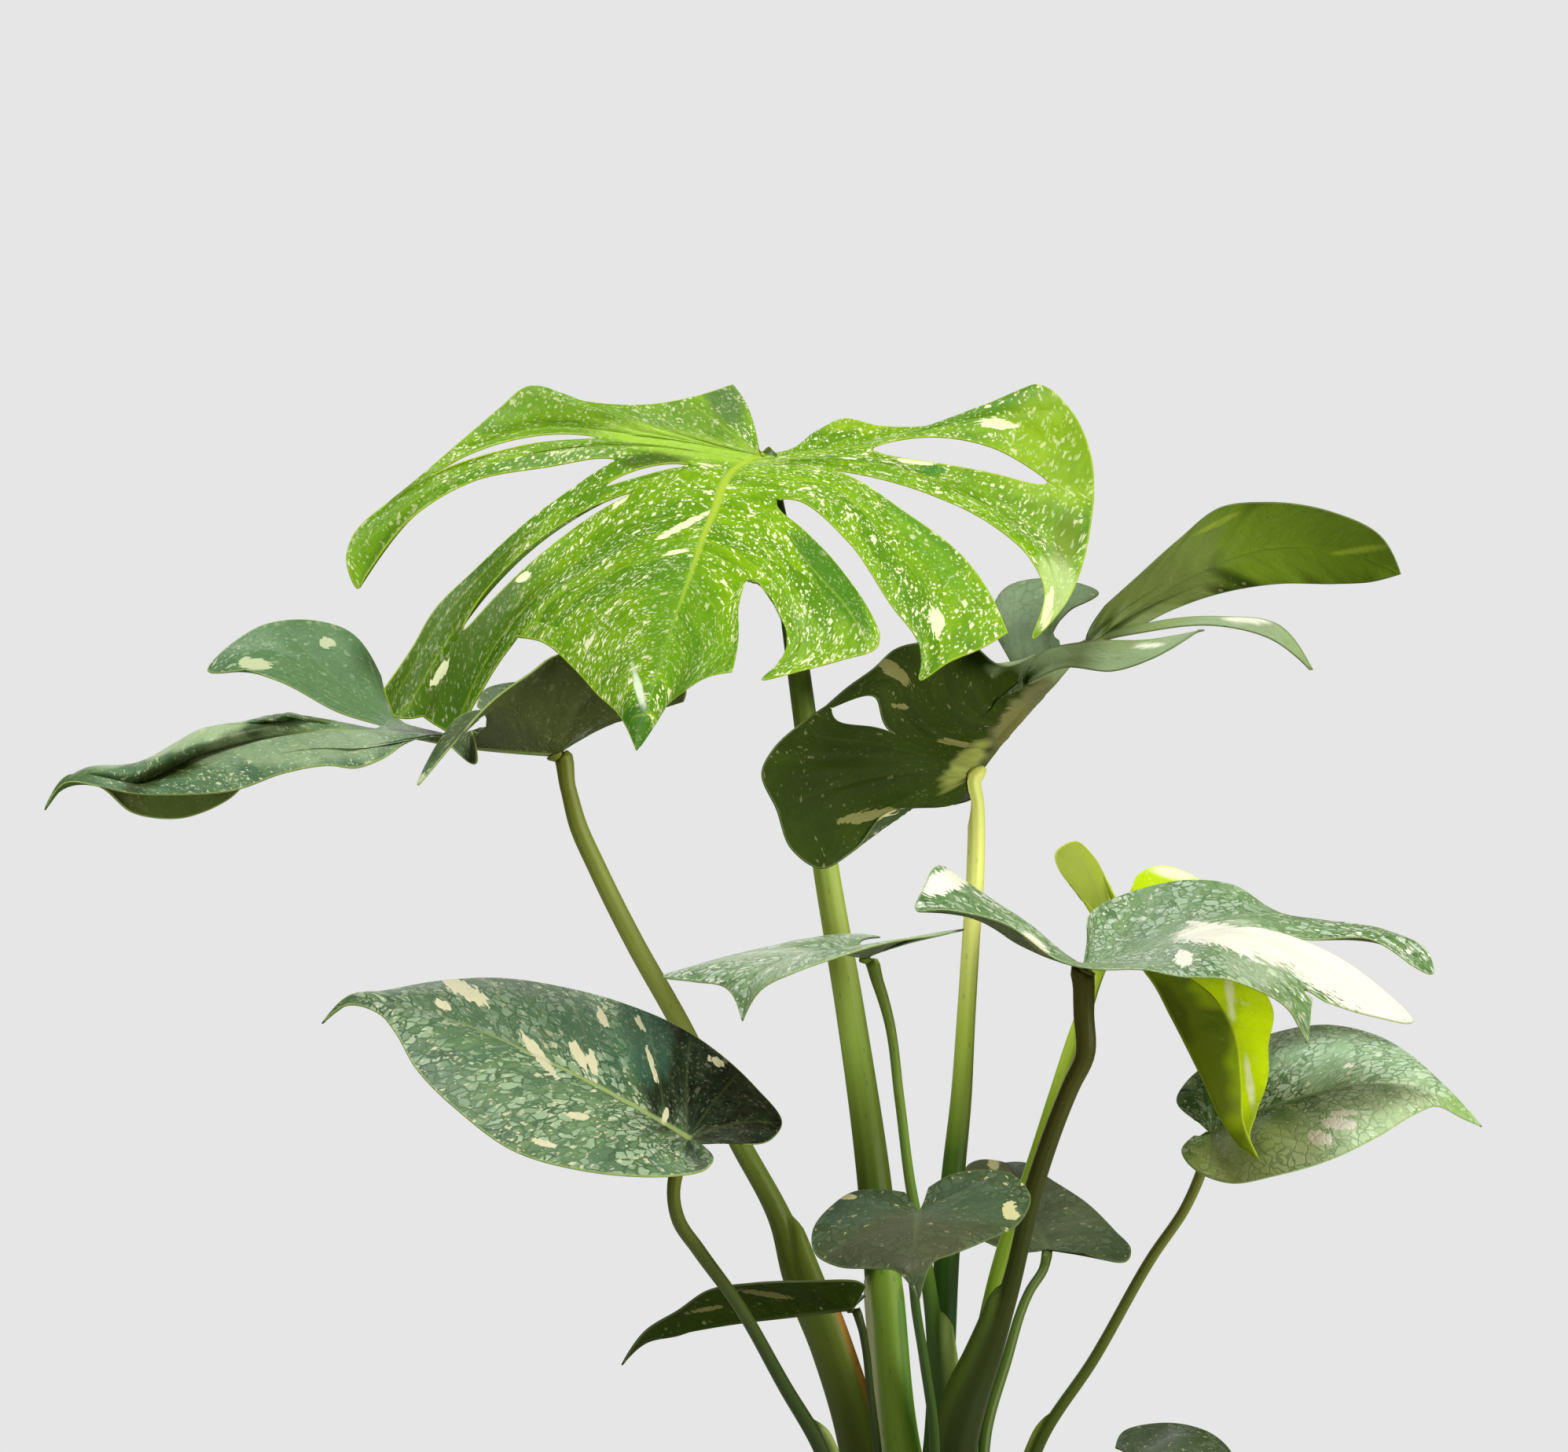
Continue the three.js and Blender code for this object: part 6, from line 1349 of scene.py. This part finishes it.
def leaf_finish(name, look, cream_level):
    """Waxed leaf skin with clonal variegation, and some light through it. Its flecks are cells that the
    leaf drew out along its veins as it grew, so patterns run in millimetres along and across the veins."""
    material, tree = new_finish(name)
    vein = node(tree, "Attribute", attribute_name="vein", out="Vector")
    tone = node(tree, "Attribute", attribute_name="tone", out="Color")
    edge = node(tree, "Attribute", attribute_name="tone", out="Alpha")
    upper, cream, rib = node(tree, "SeparateColor", {0: tone}).node.outputs
    lateral = node(tree, "SeparateXYZ", {0: vein}, out=2)

    # Everything is drawn in the plane of the two vein distances, nudged by noises of about 9 mm and 1.5 mm.
    flat = node(tree, "VectorMath", {0: vein, 1: (1, 1, 0)}, operation="MULTIPLY")
    slow = node(tree, "TexNoise", {"Vector": flat, "Scale": 0.11, "Detail": 2}, out="Color")
    slow = node(tree, "VectorMath", {0: slow, 1: (5, 5, 0), 2: flat}, operation="MULTIPLY_ADD")
    quick = node(tree, "TexNoise", {"Vector": flat, "Scale": 0.7, "Detail": 1}, out="Color")
    where = node(tree, "VectorMath", {0: quick, 1: (1.3, 1.3, 0), 2: slow}, operation="MULTIPLY_ADD")

    # Where the leaf is rich in cream: broad sectors along the veins, 40 mm by 17 mm.
    sector = node(tree, "VectorMath", {0: where, 1: (0.025, 0.06, 0)}, operation="MULTIPLY")
    rich = node(tree, "TexNoise", {"Vector": sector, "Scale": 1, "Detail": 3, "Roughness": 0.6})
    rich = node(tree, "MapRange", {0: rich, 1: 0.36, 2: 0.68, 3: 0.45, 4: 1.6})

    flecks = fleck_mask(tree, where, rich, np.array(look["flecks"]) * cream_level)

    # Cream patches: the field round each, broken up by streaks of 9 mm by 1.7 mm.
    streak = node(tree, "VectorMath", {0: where, 1: (0.11, 0.6, 0)}, operation="MULTIPLY")
    streak = node(tree, "TexNoise", {"Vector": streak, "Scale": 1, "Detail": 3})
    ragged = node(tree, "Math", {0: streak, 1: 1.5, 2: -0.8}, operation="MULTIPLY_ADD")
    ragged = node(tree, "Math", {0: ragged, 1: cream}, operation="ADD")
    patch = node(tree, "MapRange", {0: ragged, 1: 0.47, 2: 0.52, 3: 0.0, 4: 1.0})
    has = node(tree, "Math", {0: cream, 1: 0.02}, operation="GREATER_THAN")
    patch = node(tree, "Math", {0: patch, 1: has}, operation="MULTIPLY")

    # Green: sectors of light and dark along the veins with a clear border, and a soft mottle over them.
    sheer = node(tree, "VectorMath", {0: slow, 1: (0.009, 0.05, 0), 2: (11, 5, 3)}, operation="MULTIPLY_ADD")
    sheer = node(tree, "TexNoise", {"Vector": sheer, "Scale": 1, "Detail": 2, "Roughness": 0.5})
    sheer = node(tree, "MapRange", {0: sheer, 1: 0.55, 2: 0.585, 3: 0.0, 4: 0.75})
    mottle = node(tree, "VectorMath", {0: where, 1: (0.05, 0.16, 0), 2: (2, 7, 1)}, operation="MULTIPLY_ADD")
    mottle = node(tree, "TexNoise", {"Vector": mottle, "Scale": 1, "Detail": 5, "Roughness": 0.65})
    mottle = node(tree, "MapRange", {0: mottle, 1: 0.38, 2: 0.66, 3: 0.0, 4: 0.7})
    shade = node(tree, "Math", {0: sheer, 1: mottle}, operation="MAXIMUM")
    green = node(tree, "Mix", {0: shade, 6: look["light"], 7: look["dark"]}, **COLOURS)

    # Blisters of about 4 mm with sunken seams between them, as on older leaves, and a painted silvery sheen.
    lump_at = node(tree, "VectorMath", {0: where, 1: (0.21, 0.29, 0), 2: (5, 9, 1)}, operation="MULTIPLY_ADD")
    seam = node(tree, "TexVoronoi", {"Vector": lump_at, "Scale": 1}, feature="DISTANCE_TO_EDGE")
    seam = node(tree, "MapRange", {0: seam, 1: 0.04, 2: 0.11, 3: 0.0, 4: 1.0})
    lump = node(tree, "TexVoronoi", {"Vector": lump_at, "Scale": 1}, out="Color")
    lump = node(tree, "SeparateColor", {0: lump})
    painted_sheen = node(tree, "Math", {0: lump, 1: rich}, operation="MULTIPLY")
    painted_sheen = node(tree, "MapRange", {0: painted_sheen, 1: 0.25, 2: 0.8, 3: 0.0, 4: 0.8 * look["blister"]})
    painted_sheen = node(tree, "Math", {0: painted_sheen, 1: seam}, operation="MULTIPLY")
    green = node(tree, "Mix", {0: painted_sheen, 6: green, 7: look["pale"]}, **COLOURS)

    # The face below: duller, with its own slow change of tone.
    under = node(tree, "MapRange", {0: upper, 1: 0.25, 2: 0.5, 3: 1.0, 4: 0.0})
    below = np.array(linear(look["below"]))
    dull = node(tree, "Mix", {0: mottle, 6: tuple(below), 7: tuple(0.5 * below)}, **COLOURS)
    base = node(tree, "Mix", {0: under, 6: green, 7: dull}, **COLOURS)

    # The washes, a little uneven, with their painted shade and painted light, and over them the seams,
    # fainter where a wash is strong.
    wash = node(tree, "Attribute", attribute_name="wash", out="Color")
    cover = node(tree, "Attribute", attribute_name="wash", out="Alpha")
    uneven = node(tree, "MapRange", {0: mottle, 1: 0.0, 2: 0.7, 3: 1.0, 4: 0.82})
    laid = node(tree, "Math", {0: cover, 1: uneven}, operation="MULTIPLY")
    base = node(tree, "Mix", {0: laid, 6: base, 7: wash}, **COLOURS)
    net = node(tree, "Math", {0: seam, 1: -1.0, 2: 1.0}, operation="MULTIPLY_ADD")
    clear = node(tree, "MapRange", {0: rich, 1: 0.7, 2: 1.2, 3: 0.15, 4: 0.75 * look["blister"]})
    net = node(tree, "Math", {0: net, 1: clear}, operation="MULTIPLY")
    net = node(tree, "Math", {0: net, 1: upper}, operation="MULTIPLY")
    seam_fade = node(tree, "Math", {0: laid, 1: -0.6, 2: 1.0}, operation="MULTIPLY_ADD")
    net = node(tree, "Math", {0: net, 1: seam_fade}, operation="MULTIPLY")
    base = node(tree, "Mix", {0: net, 6: base, 7: look["seam"]}, **COLOURS)

    # The main veins show as paler lines 1 mm wide, faint below, and the rib as a bright band.
    line = node(tree, "MapRange", {0: lateral, 1: 0.2, 2: 0.9, 3: look["lines"], 4: 0.0})
    line = node(tree, "Math", {0: line, 1: edge}, operation="MULTIPLY")
    faint = node(tree, "Math", {0: under, 1: -0.7, 2: 1.0}, operation="MULTIPLY_ADD")
    line = node(tree, "Math", {0: line, 1: faint}, operation="MULTIPLY")
    base = node(tree, "Mix", {0: line, 6: base, 7: look["rib"]}, **COLOURS)

    # Flecks over the veins, fewer on a wash and tinged with its colour, and cream patches over the rib.
    flecks = node(tree, "Math", {0: flecks, 1: faint}, operation="MULTIPLY")
    sparse = node(tree, "Math", {0: cover, 1: -0.65, 2: 1.0}, operation="MULTIPLY_ADD")
    flecks = node(tree, "Math", {0: flecks, 1: sparse}, operation="MULTIPLY")
    tinge = node(tree, "Math", {0: cover, 1: 0.5}, operation="MULTIPLY")
    speck = node(tree, "Mix", {0: tinge, 6: look["cream"], 7: wash}, **COLOURS)
    base = node(tree, "Mix", {0: flecks, 6: base, 7: speck}, **COLOURS)
    band = node(tree, "MapRange", {0: rib, 1: 0.3, 2: 0.75, 3: 0.0, 4: look["band"]})
    base = node(tree, "Mix", {0: band, 6: base, 7: look["rib"]}, **COLOURS)
    stain = node(tree, "Mix", {0: under, 6: look["cream"], 7: look["stain"]}, **COLOURS)
    base = node(tree, "Mix", {0: patch, 6: base, 7: stain}, **COLOURS)

    # A pale, hard margin 0.4 mm wide.
    margin = node(tree, "MapRange", {0: edge, 1: 0.02, 2: 0.06, 3: 0.7, 4: 0.0})
    base = node(tree, "Mix", {0: margin, 6: base, 7: look["rib"]}, **COLOURS)

    # Relief finer than the mesh: small veins 1.6 mm apart, the blisters, and a grain of 0.8 mm.
    fine = node(tree, "TexWave", {"Vector": where, "Scale": 2 * math.pi / 20 / 1.6, "Distortion": 1.5,
                                  "Detail": 1, "Detail Scale": 0.2}, out="Fac", bands_direction="Y")
    grain = node(tree, "TexNoise", {"Vector": where, "Scale": 1.2, "Detail": 1})
    height = node(tree, "Math", {0: fine, 1: 0.15, 2: grain}, operation="MULTIPLY_ADD")
    height = node(tree, "Math", {0: height, 1: 0.25}, operation="MULTIPLY")
    height = node(tree, "Math", {0: seam, 1: 0.9 * look["blister"], 2: height}, operation="MULTIPLY_ADD")
    bump = node(tree, "Bump", {"Strength": 0.4, "Distance": 0.0005, "Height": height})

    # Wax with a soft sheen, duller below. What shines through has a third of the glow's colour in it.
    least, most = look["rough"] - 0.05, look["rough"] + 0.1
    rough = node(tree, "MapRange", {0: grain, 1: 0.3, 2: 0.7, 3: least, 4: most})
    rough = node(tree, "Math", {0: under, 1: 0.2, 2: rough}, operation="MULTIPLY_ADD")
    skin = node(tree, "BsdfPrincipled", {"Base Color": base, "Roughness": rough, "Normal": bump,
                                         "IOR": WAX_IOR, "Specular IOR Level": look["gloss"]})
    glow = node(tree, "Mix", {0: 0.35, 6: base, 7: look["glow"]}, **COLOURS)
    through = node(tree, "BsdfTranslucent", {"Color": glow})
    mixed = node(tree, "MixShader", {0: look["through"], 1: skin, 2: through})
    node(tree, "OutputMaterial", {"Surface": mixed})
    return material


def stalk_finish(name):
    """Smooth waxed stalk skin, as on climbing aroids: its colour changes along the stalk, with lengthwise
    fibres about 1.7 mm wide and a few faint darker freckles of 3 mm by 1 mm."""
    material, tree = new_finish(name)
    vein = node(tree, "Attribute", attribute_name="vein", out="Vector")
    tint = node(tree, "Attribute", attribute_name="tint", out="Color")
    long = node(tree, "VectorMath", {0: vein, 1: (0.012, 0.6, 0.6)}, operation="MULTIPLY")
    fibre = node(tree, "TexNoise", {"Vector": long, "Scale": 1, "Detail": 2, "Roughness": 0.6})
    fibre = node(tree, "MapRange", {0: fibre, 1: 0.3, 2: 0.7, 3: 0.92, 4: 1.08})
    base = node(tree, "VectorMath", {0: tint, "Scale": fibre}, operation="SCALE")
    spot_at = node(tree, "VectorMath", {0: vein, 1: (0.3, 0.9, 0.9)}, operation="MULTIPLY")
    cell = node(tree, "TexVoronoi", {"Vector": spot_at, "Scale": 1}, distance="CHEBYCHEV").node
    pick = node(tree, "SeparateColor", {0: cell.outputs["Color"]})
    chosen = node(tree, "Math", {0: pick, 1: 0.05}, operation="LESS_THAN")
    inside = node(tree, "MapRange", {0: cell.outputs["Distance"], 1: 0.25, 2: 0.4, 3: 0.3, 4: 0.0})
    freckle = node(tree, "Math", {0: chosen, 1: inside}, operation="MULTIPLY")
    base = node(tree, "Mix", {0: freckle, 6: base, 7: "#2c3f12"}, **COLOURS)
    bump = node(tree, "Bump", {"Strength": 0.15, "Distance": 0.0003, "Height": fibre})
    skin = node(tree, "BsdfPrincipled", {"Base Color": base, "Roughness": 0.42, "Normal": bump,
                                         "IOR": WAX_IOR, "Specular IOR Level": 0.25})
    node(tree, "OutputMaterial", {"Surface": skin})
    return material


def mix_finish(name, light, dark):
    """Potting mix, bark and perlite: dry, rough and broken. Two tones change over 6 mm, with a grain of
    0.8 mm."""
    material, tree = new_finish(name)
    where = node(tree, "TexCoord", out="Object")
    slow = node(tree, "TexNoise", {"Vector": where, "Scale": 160, "Detail": 5, "Roughness": 0.7})
    share = node(tree, "MapRange", {0: slow, 1: 0.38, 2: 0.62, 3: 0.0, 4: 1.0})
    base = node(tree, "Mix", {0: share, 6: dark, 7: light}, **COLOURS)
    grain = node(tree, "TexNoise", {"Vector": where, "Scale": 1200, "Detail": 3, "Roughness": 0.7})
    height = node(tree, "Math", {0: slow, 1: 3.0, 2: grain}, operation="MULTIPLY_ADD")
    bump = node(tree, "Bump", {"Strength": 0.8, "Distance": 0.001, "Height": height})
    skin = node(tree, "BsdfPrincipled", {"Base Color": base, "Roughness": 0.92, "Normal": bump})
    node(tree, "OutputMaterial", {"Surface": skin})
    return material


def pot_finish(name, colour):
    """Matt glazed stoneware, turned and dipped: warm pale grey with iron specks of about 1 mm and a soft,
    slow change of tone. The turning leaves faint rings 3 mm apart."""
    material, tree = new_finish(name)
    where = node(tree, "TexCoord", out="Object")
    slow = node(tree, "TexNoise", {"Vector": where, "Scale": 14, "Detail": 4})
    slow = node(tree, "MapRange", {0: slow, 1: 0.3, 2: 0.7, 3: 0.88, 4: 1.05})
    base = node(tree, "VectorMath", {0: colour, "Scale": slow}, operation="SCALE")
    cell = node(tree, "TexVoronoi", {"Vector": where, "Scale": 420})
    size = node(tree, "TexNoise", {"Vector": where, "Scale": 90, "Detail": 2})
    size = node(tree, "MapRange", {0: size, 1: 0.5, 2: 0.75, 3: 0.0, 4: 0.3})
    speck = node(tree, "Math", {0: cell, 1: size}, operation="LESS_THAN")
    speck = node(tree, "Math", {0: speck, 1: 0.75}, operation="MULTIPLY")
    base = node(tree, "Mix", {0: speck, 6: base, 7: "#5d4a38"}, **COLOURS)
    height = node(tree, "SeparateXYZ", {0: where}, out=2)
    rings = node(tree, "Math", {0: height, 1: 2 * math.pi / 0.003}, operation="MULTIPLY")
    rings = node(tree, "Math", {0: rings}, operation="SINE")
    grit = node(tree, "TexNoise", {"Vector": where, "Scale": 900, "Detail": 3})
    height = node(tree, "Math", {0: rings, 1: 0.12, 2: grit}, operation="MULTIPLY_ADD")
    bump = node(tree, "Bump", {"Strength": 0.25, "Distance": 0.0005, "Height": height})
    skin = node(tree, "BsdfPrincipled", {"Base Color": base, "Roughness": 0.62, "Normal": bump})
    node(tree, "OutputMaterial", {"Surface": skin})
    return material


# Stage

def build_floor(radius, colour):
    """A pale round floor, z = 0, with an edge that fades away by its distance from the middle."""
    rings, sides = 24, 96
    radii = np.linspace(0, radius, rings + 1)[1:]
    points = np.concatenate([turned(radii, 0 * radii, sides).reshape(-1, 3), [[0, 0, 0]]])
    faces = np.concatenate([band_faces(rings, sides), fan_faces(len(points) - 1, 0, sides)])
    floor = mesh_object("studio_floor", points, faces, [])
    material, tree = new_finish("pale studio floor")
    where = node(tree, "TexCoord", out="Object")
    away = node(tree, "VectorMath", {0: where}, out="Value", operation="LENGTH")
    near, far = [share * radius / 1000 for share in FLOOR_FADE]
    fade = node(tree, "MapRange", {0: away, 1: near, 2: far, 3: 0.0, 4: 1.0}, interpolation_type="SMOOTHSTEP")
    paint = node(tree, "BsdfDiffuse", {"Color": colour})
    clear = node(tree, "BsdfTransparent")
    shown = node(tree, "MixShader", {0: fade, 1: paint, 2: clear})
    node(tree, "OutputMaterial", {"Surface": shown})
    floor.data.materials.append(material)


def area_light(name, centre, target, size, watts, colour):
    """A square soft light at centre, facing target, both in metres."""
    light = bpy.data.lights.new(name, "AREA")
    light.size, light.energy, light.color = size, watts, linear(colour)
    made = bpy.data.objects.new(name, light)
    made.location = centre
    made.rotation_euler = (Vector(target) - Vector(centre)).to_track_quat("-Z", "Y").to_euler()
    bpy.context.scene.collection.objects.link(made)


def stage_camera():
    """A level camera at the viewer's eye, looking along +Y."""
    camera = bpy.data.cameras.new("camera")
    camera.lens, camera.sensor_width, camera.sensor_fit = LENS, SENSOR_WIDTH, "HORIZONTAL"
    eye = bpy.data.objects.new("camera", camera)
    eye.location = VIEWER / 1000
    eye.rotation_euler = (math.pi / 2, 0, 0)
    bpy.context.scene.collection.objects.link(eye)
    bpy.context.scene.camera = eye


def stage_surround(backdrop):
    """A world that the camera sees as the plain backdrop, and that lights the plant weakly and warmly."""
    world = bpy.data.worlds.new("pale studio")
    world.use_nodes = True
    tree = world.node_tree
    tree.nodes.clear()
    seen = node(tree, "Background", {"Color": tuple(backdrop), "Strength": 1.0})
    lit = node(tree, "Background", {"Color": SURROUND["colour"], "Strength": SURROUND["strength"]})
    camera_ray = node(tree, "LightPath", out="Is Camera Ray")
    shown = node(tree, "MixShader", {0: camera_ray, 1: lit, 2: seen})
    node(tree, "OutputWorld", {"Surface": shown})
    bpy.context.scene.world = world


def finish_piece(piece, material, slot, *nodes):
    """Gives a piece its material and body, and hides the CAD nodes that it stands for. The slot is not
    used.
    """
    piece.data.materials.append(material)
    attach(piece, "root")
    if nodes:
        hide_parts(*nodes)


# What a user may change

class MonsteraLeafSettings(bpy.types.PropertyGroup):
    thickness: bpy.props.FloatProperty(
        name="Blade thickness", description="Thickness of a blade between its veins",
        default=BLADE_THICKNESS / 1000, min=0.0004, max=0.0012, unit="LENGTH")
    cream: bpy.props.FloatProperty(
        name="Cream share", description="How much of the leaf is flecked with cream",
        default=1.0, min=0.0, max=3.0, subtype="FACTOR")


class MonsteraPotSettings(bpy.types.PropertyGroup):
    sides: bpy.props.IntProperty(
        name="Sides", description="Facets round the pot", default=144, min=48, max=256)
    colour: bpy.props.FloatVectorProperty(
        name="Glaze", description="Colour of the glaze", subtype="COLOR",
        default=linear("#d6d0c4"), min=0.0, max=1.0)
    chips: bpy.props.IntProperty(
        name="Bark chips", description="Chips of bark on the mix", default=420, min=0, max=1500)
    grains: bpy.props.IntProperty(
        name="Perlite grains", description="White grains on the mix", default=160, min=0, max=1000)


class MonsteraStageSettings(bpy.types.PropertyGroup):
    backdrop: bpy.props.FloatVectorProperty(
        name="Backdrop", description="Colour behind the plant", subtype="COLOR",
        default=linear("#e6e6e6"), min=0.0, max=1.0)
    floor: bpy.props.FloatProperty(
        name="Floor radius", description="Radius of the pale floor",
        default=1.1, min=0.3, max=3.0, unit="LENGTH")


# Operators and panel

class MONSTERA_OT_blades(bpy.types.Operator):
    """Builds the twelve blades with their veins and variegation"""
    bl_idname = "monstera.blades"
    bl_label = "Build blades"

    def execute(self, context):
        settings = context.scene.monstera_leaves
        names = list(LEAVES)
        for key, look in LOOKS.items():
            material = leaf_finish(f"waxed leaf {key}", look, settings.cream)
            for name in look["leaves"]:
                blade = build_blade(name, names.index(name), settings.thickness * 1000)
                finish_piece(blade, material, LEAF_SLOTS.get(name, "grey_green_leaf"), f"{name}_blade")
        return {"FINISHED"}


class MONSTERA_OT_stalks(bpy.types.Operator):
    """Builds the twelve stalks with their sheaths"""
    bl_idname = "monstera.stalks"
    bl_label = "Build stalks"

    def execute(self, context):
        material = stalk_finish("waxed stalk skin")
        for name in STALKS:
            stem = build_stalk(name, seat_facing(name))
            slot = "dark_stalk" if name == "right_low" else "green_stalk"
            finish_piece(stem, material, slot, f"{name}_stalk")
        return {"FINISHED"}


class MONSTERA_OT_mix(bpy.types.Operator):
    """Builds the potting mix with its bark and perlite"""
    bl_idname = "monstera.mix"
    bl_label = "Build potting mix"

    def execute(self, context):
        settings = context.scene.monstera_pot
        peat = mix_finish("coir and peat mix", light="#4b3726", dark="#22170f")
        finish_piece(build_mix(), peat, "potting_mix", "potting_mix")
        bark = scatter("bark_chips", settings.chips, [[4, 3, 1.5], [13, 8, 4]],
                       seed=7, round_share=0.35, sink=0.35)
        pine = mix_finish("pine bark chips", light="#745a3e", dark="#382818")
        finish_piece(bark, pine, "potting_mix", "potting_mix")
        grains = scatter("perlite_grains", settings.grains, [[1.8, 1.8, 1.8], [4, 4, 4]],
                         seed=11, round_share=0.45, sink=0.3)
        perlite = mix_finish("perlite grains", light="#f1efe8", dark="#cfccc2")
        finish_piece(grains, perlite, "potting_mix", "potting_mix")
        return {"FINISHED"}


class MONSTERA_OT_pot(bpy.types.Operator):
    """Builds the stoneware pot"""
    bl_idname = "monstera.pot"
    bl_label = "Build pot"

    def execute(self, context):
        settings = context.scene.monstera_pot
        stoneware = pot_finish("matt glazed stoneware", tuple(settings.colour))
        finish_piece(build_pot(settings.sides), stoneware, "pot", "pot")
        return {"FINISHED"}


class MONSTERA_OT_stage(bpy.types.Operator):
    """Builds the pale floor, soft light and camera"""
    bl_idname = "monstera.stage"
    bl_label = "Build stage"

    def execute(self, context):
        settings = context.scene.monstera_stage
        build_floor(settings.floor * 1000, FLOOR_COLOUR)
        stage_surround(settings.backdrop)
        for light in LIGHTS:
            area_light(*light)
        stage_camera()
        context.scene.view_settings.view_transform = "Standard"
        return {"FINISHED"}


class MONSTERA_PT_panel(bpy.types.Panel):
    """Lists the settings and the steps"""
    bl_idname = "MONSTERA_PT_panel"
    bl_label = "Potted monstera"
    bl_space_type = "VIEW_3D"
    bl_region_type = "UI"
    bl_category = "Monstera"

    def draw(self, context):
        scene = context.scene
        for group in (scene.monstera_leaves, scene.monstera_pot, scene.monstera_stage):
            for key in group.bl_rna.properties.keys():
                if key not in ("rna_type", "name"):
                    self.layout.prop(group, key)
        for step in STEPS:
            self.layout.operator(step.bl_idname)


STEPS = (MONSTERA_OT_stage, MONSTERA_OT_pot, MONSTERA_OT_mix, MONSTERA_OT_stalks, MONSTERA_OT_blades)
CLASSES = (MonsteraLeafSettings, MonsteraPotSettings, MonsteraStageSettings, *STEPS, MONSTERA_PT_panel)


def register():
    for kind in CLASSES:
        bpy.utils.register_class(kind)
    bpy.types.Scene.monstera_leaves = bpy.props.PointerProperty(type=MonsteraLeafSettings)
    bpy.types.Scene.monstera_pot = bpy.props.PointerProperty(type=MonsteraPotSettings)
    bpy.types.Scene.monstera_stage = bpy.props.PointerProperty(type=MonsteraStageSettings)


def unregister():
    del bpy.types.Scene.monstera_stage
    del bpy.types.Scene.monstera_pot
    del bpy.types.Scene.monstera_leaves
    for kind in reversed(CLASSES):
        bpy.utils.unregister_class(kind)


def main():
    """Registers the classes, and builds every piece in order."""
    register()
    bpy.ops.monstera.stage()
    bpy.ops.monstera.pot()
    bpy.ops.monstera.mix()
    bpy.ops.monstera.stalks()
    bpy.ops.monstera.blades()
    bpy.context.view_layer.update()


if __name__ == "__main__":
    main()
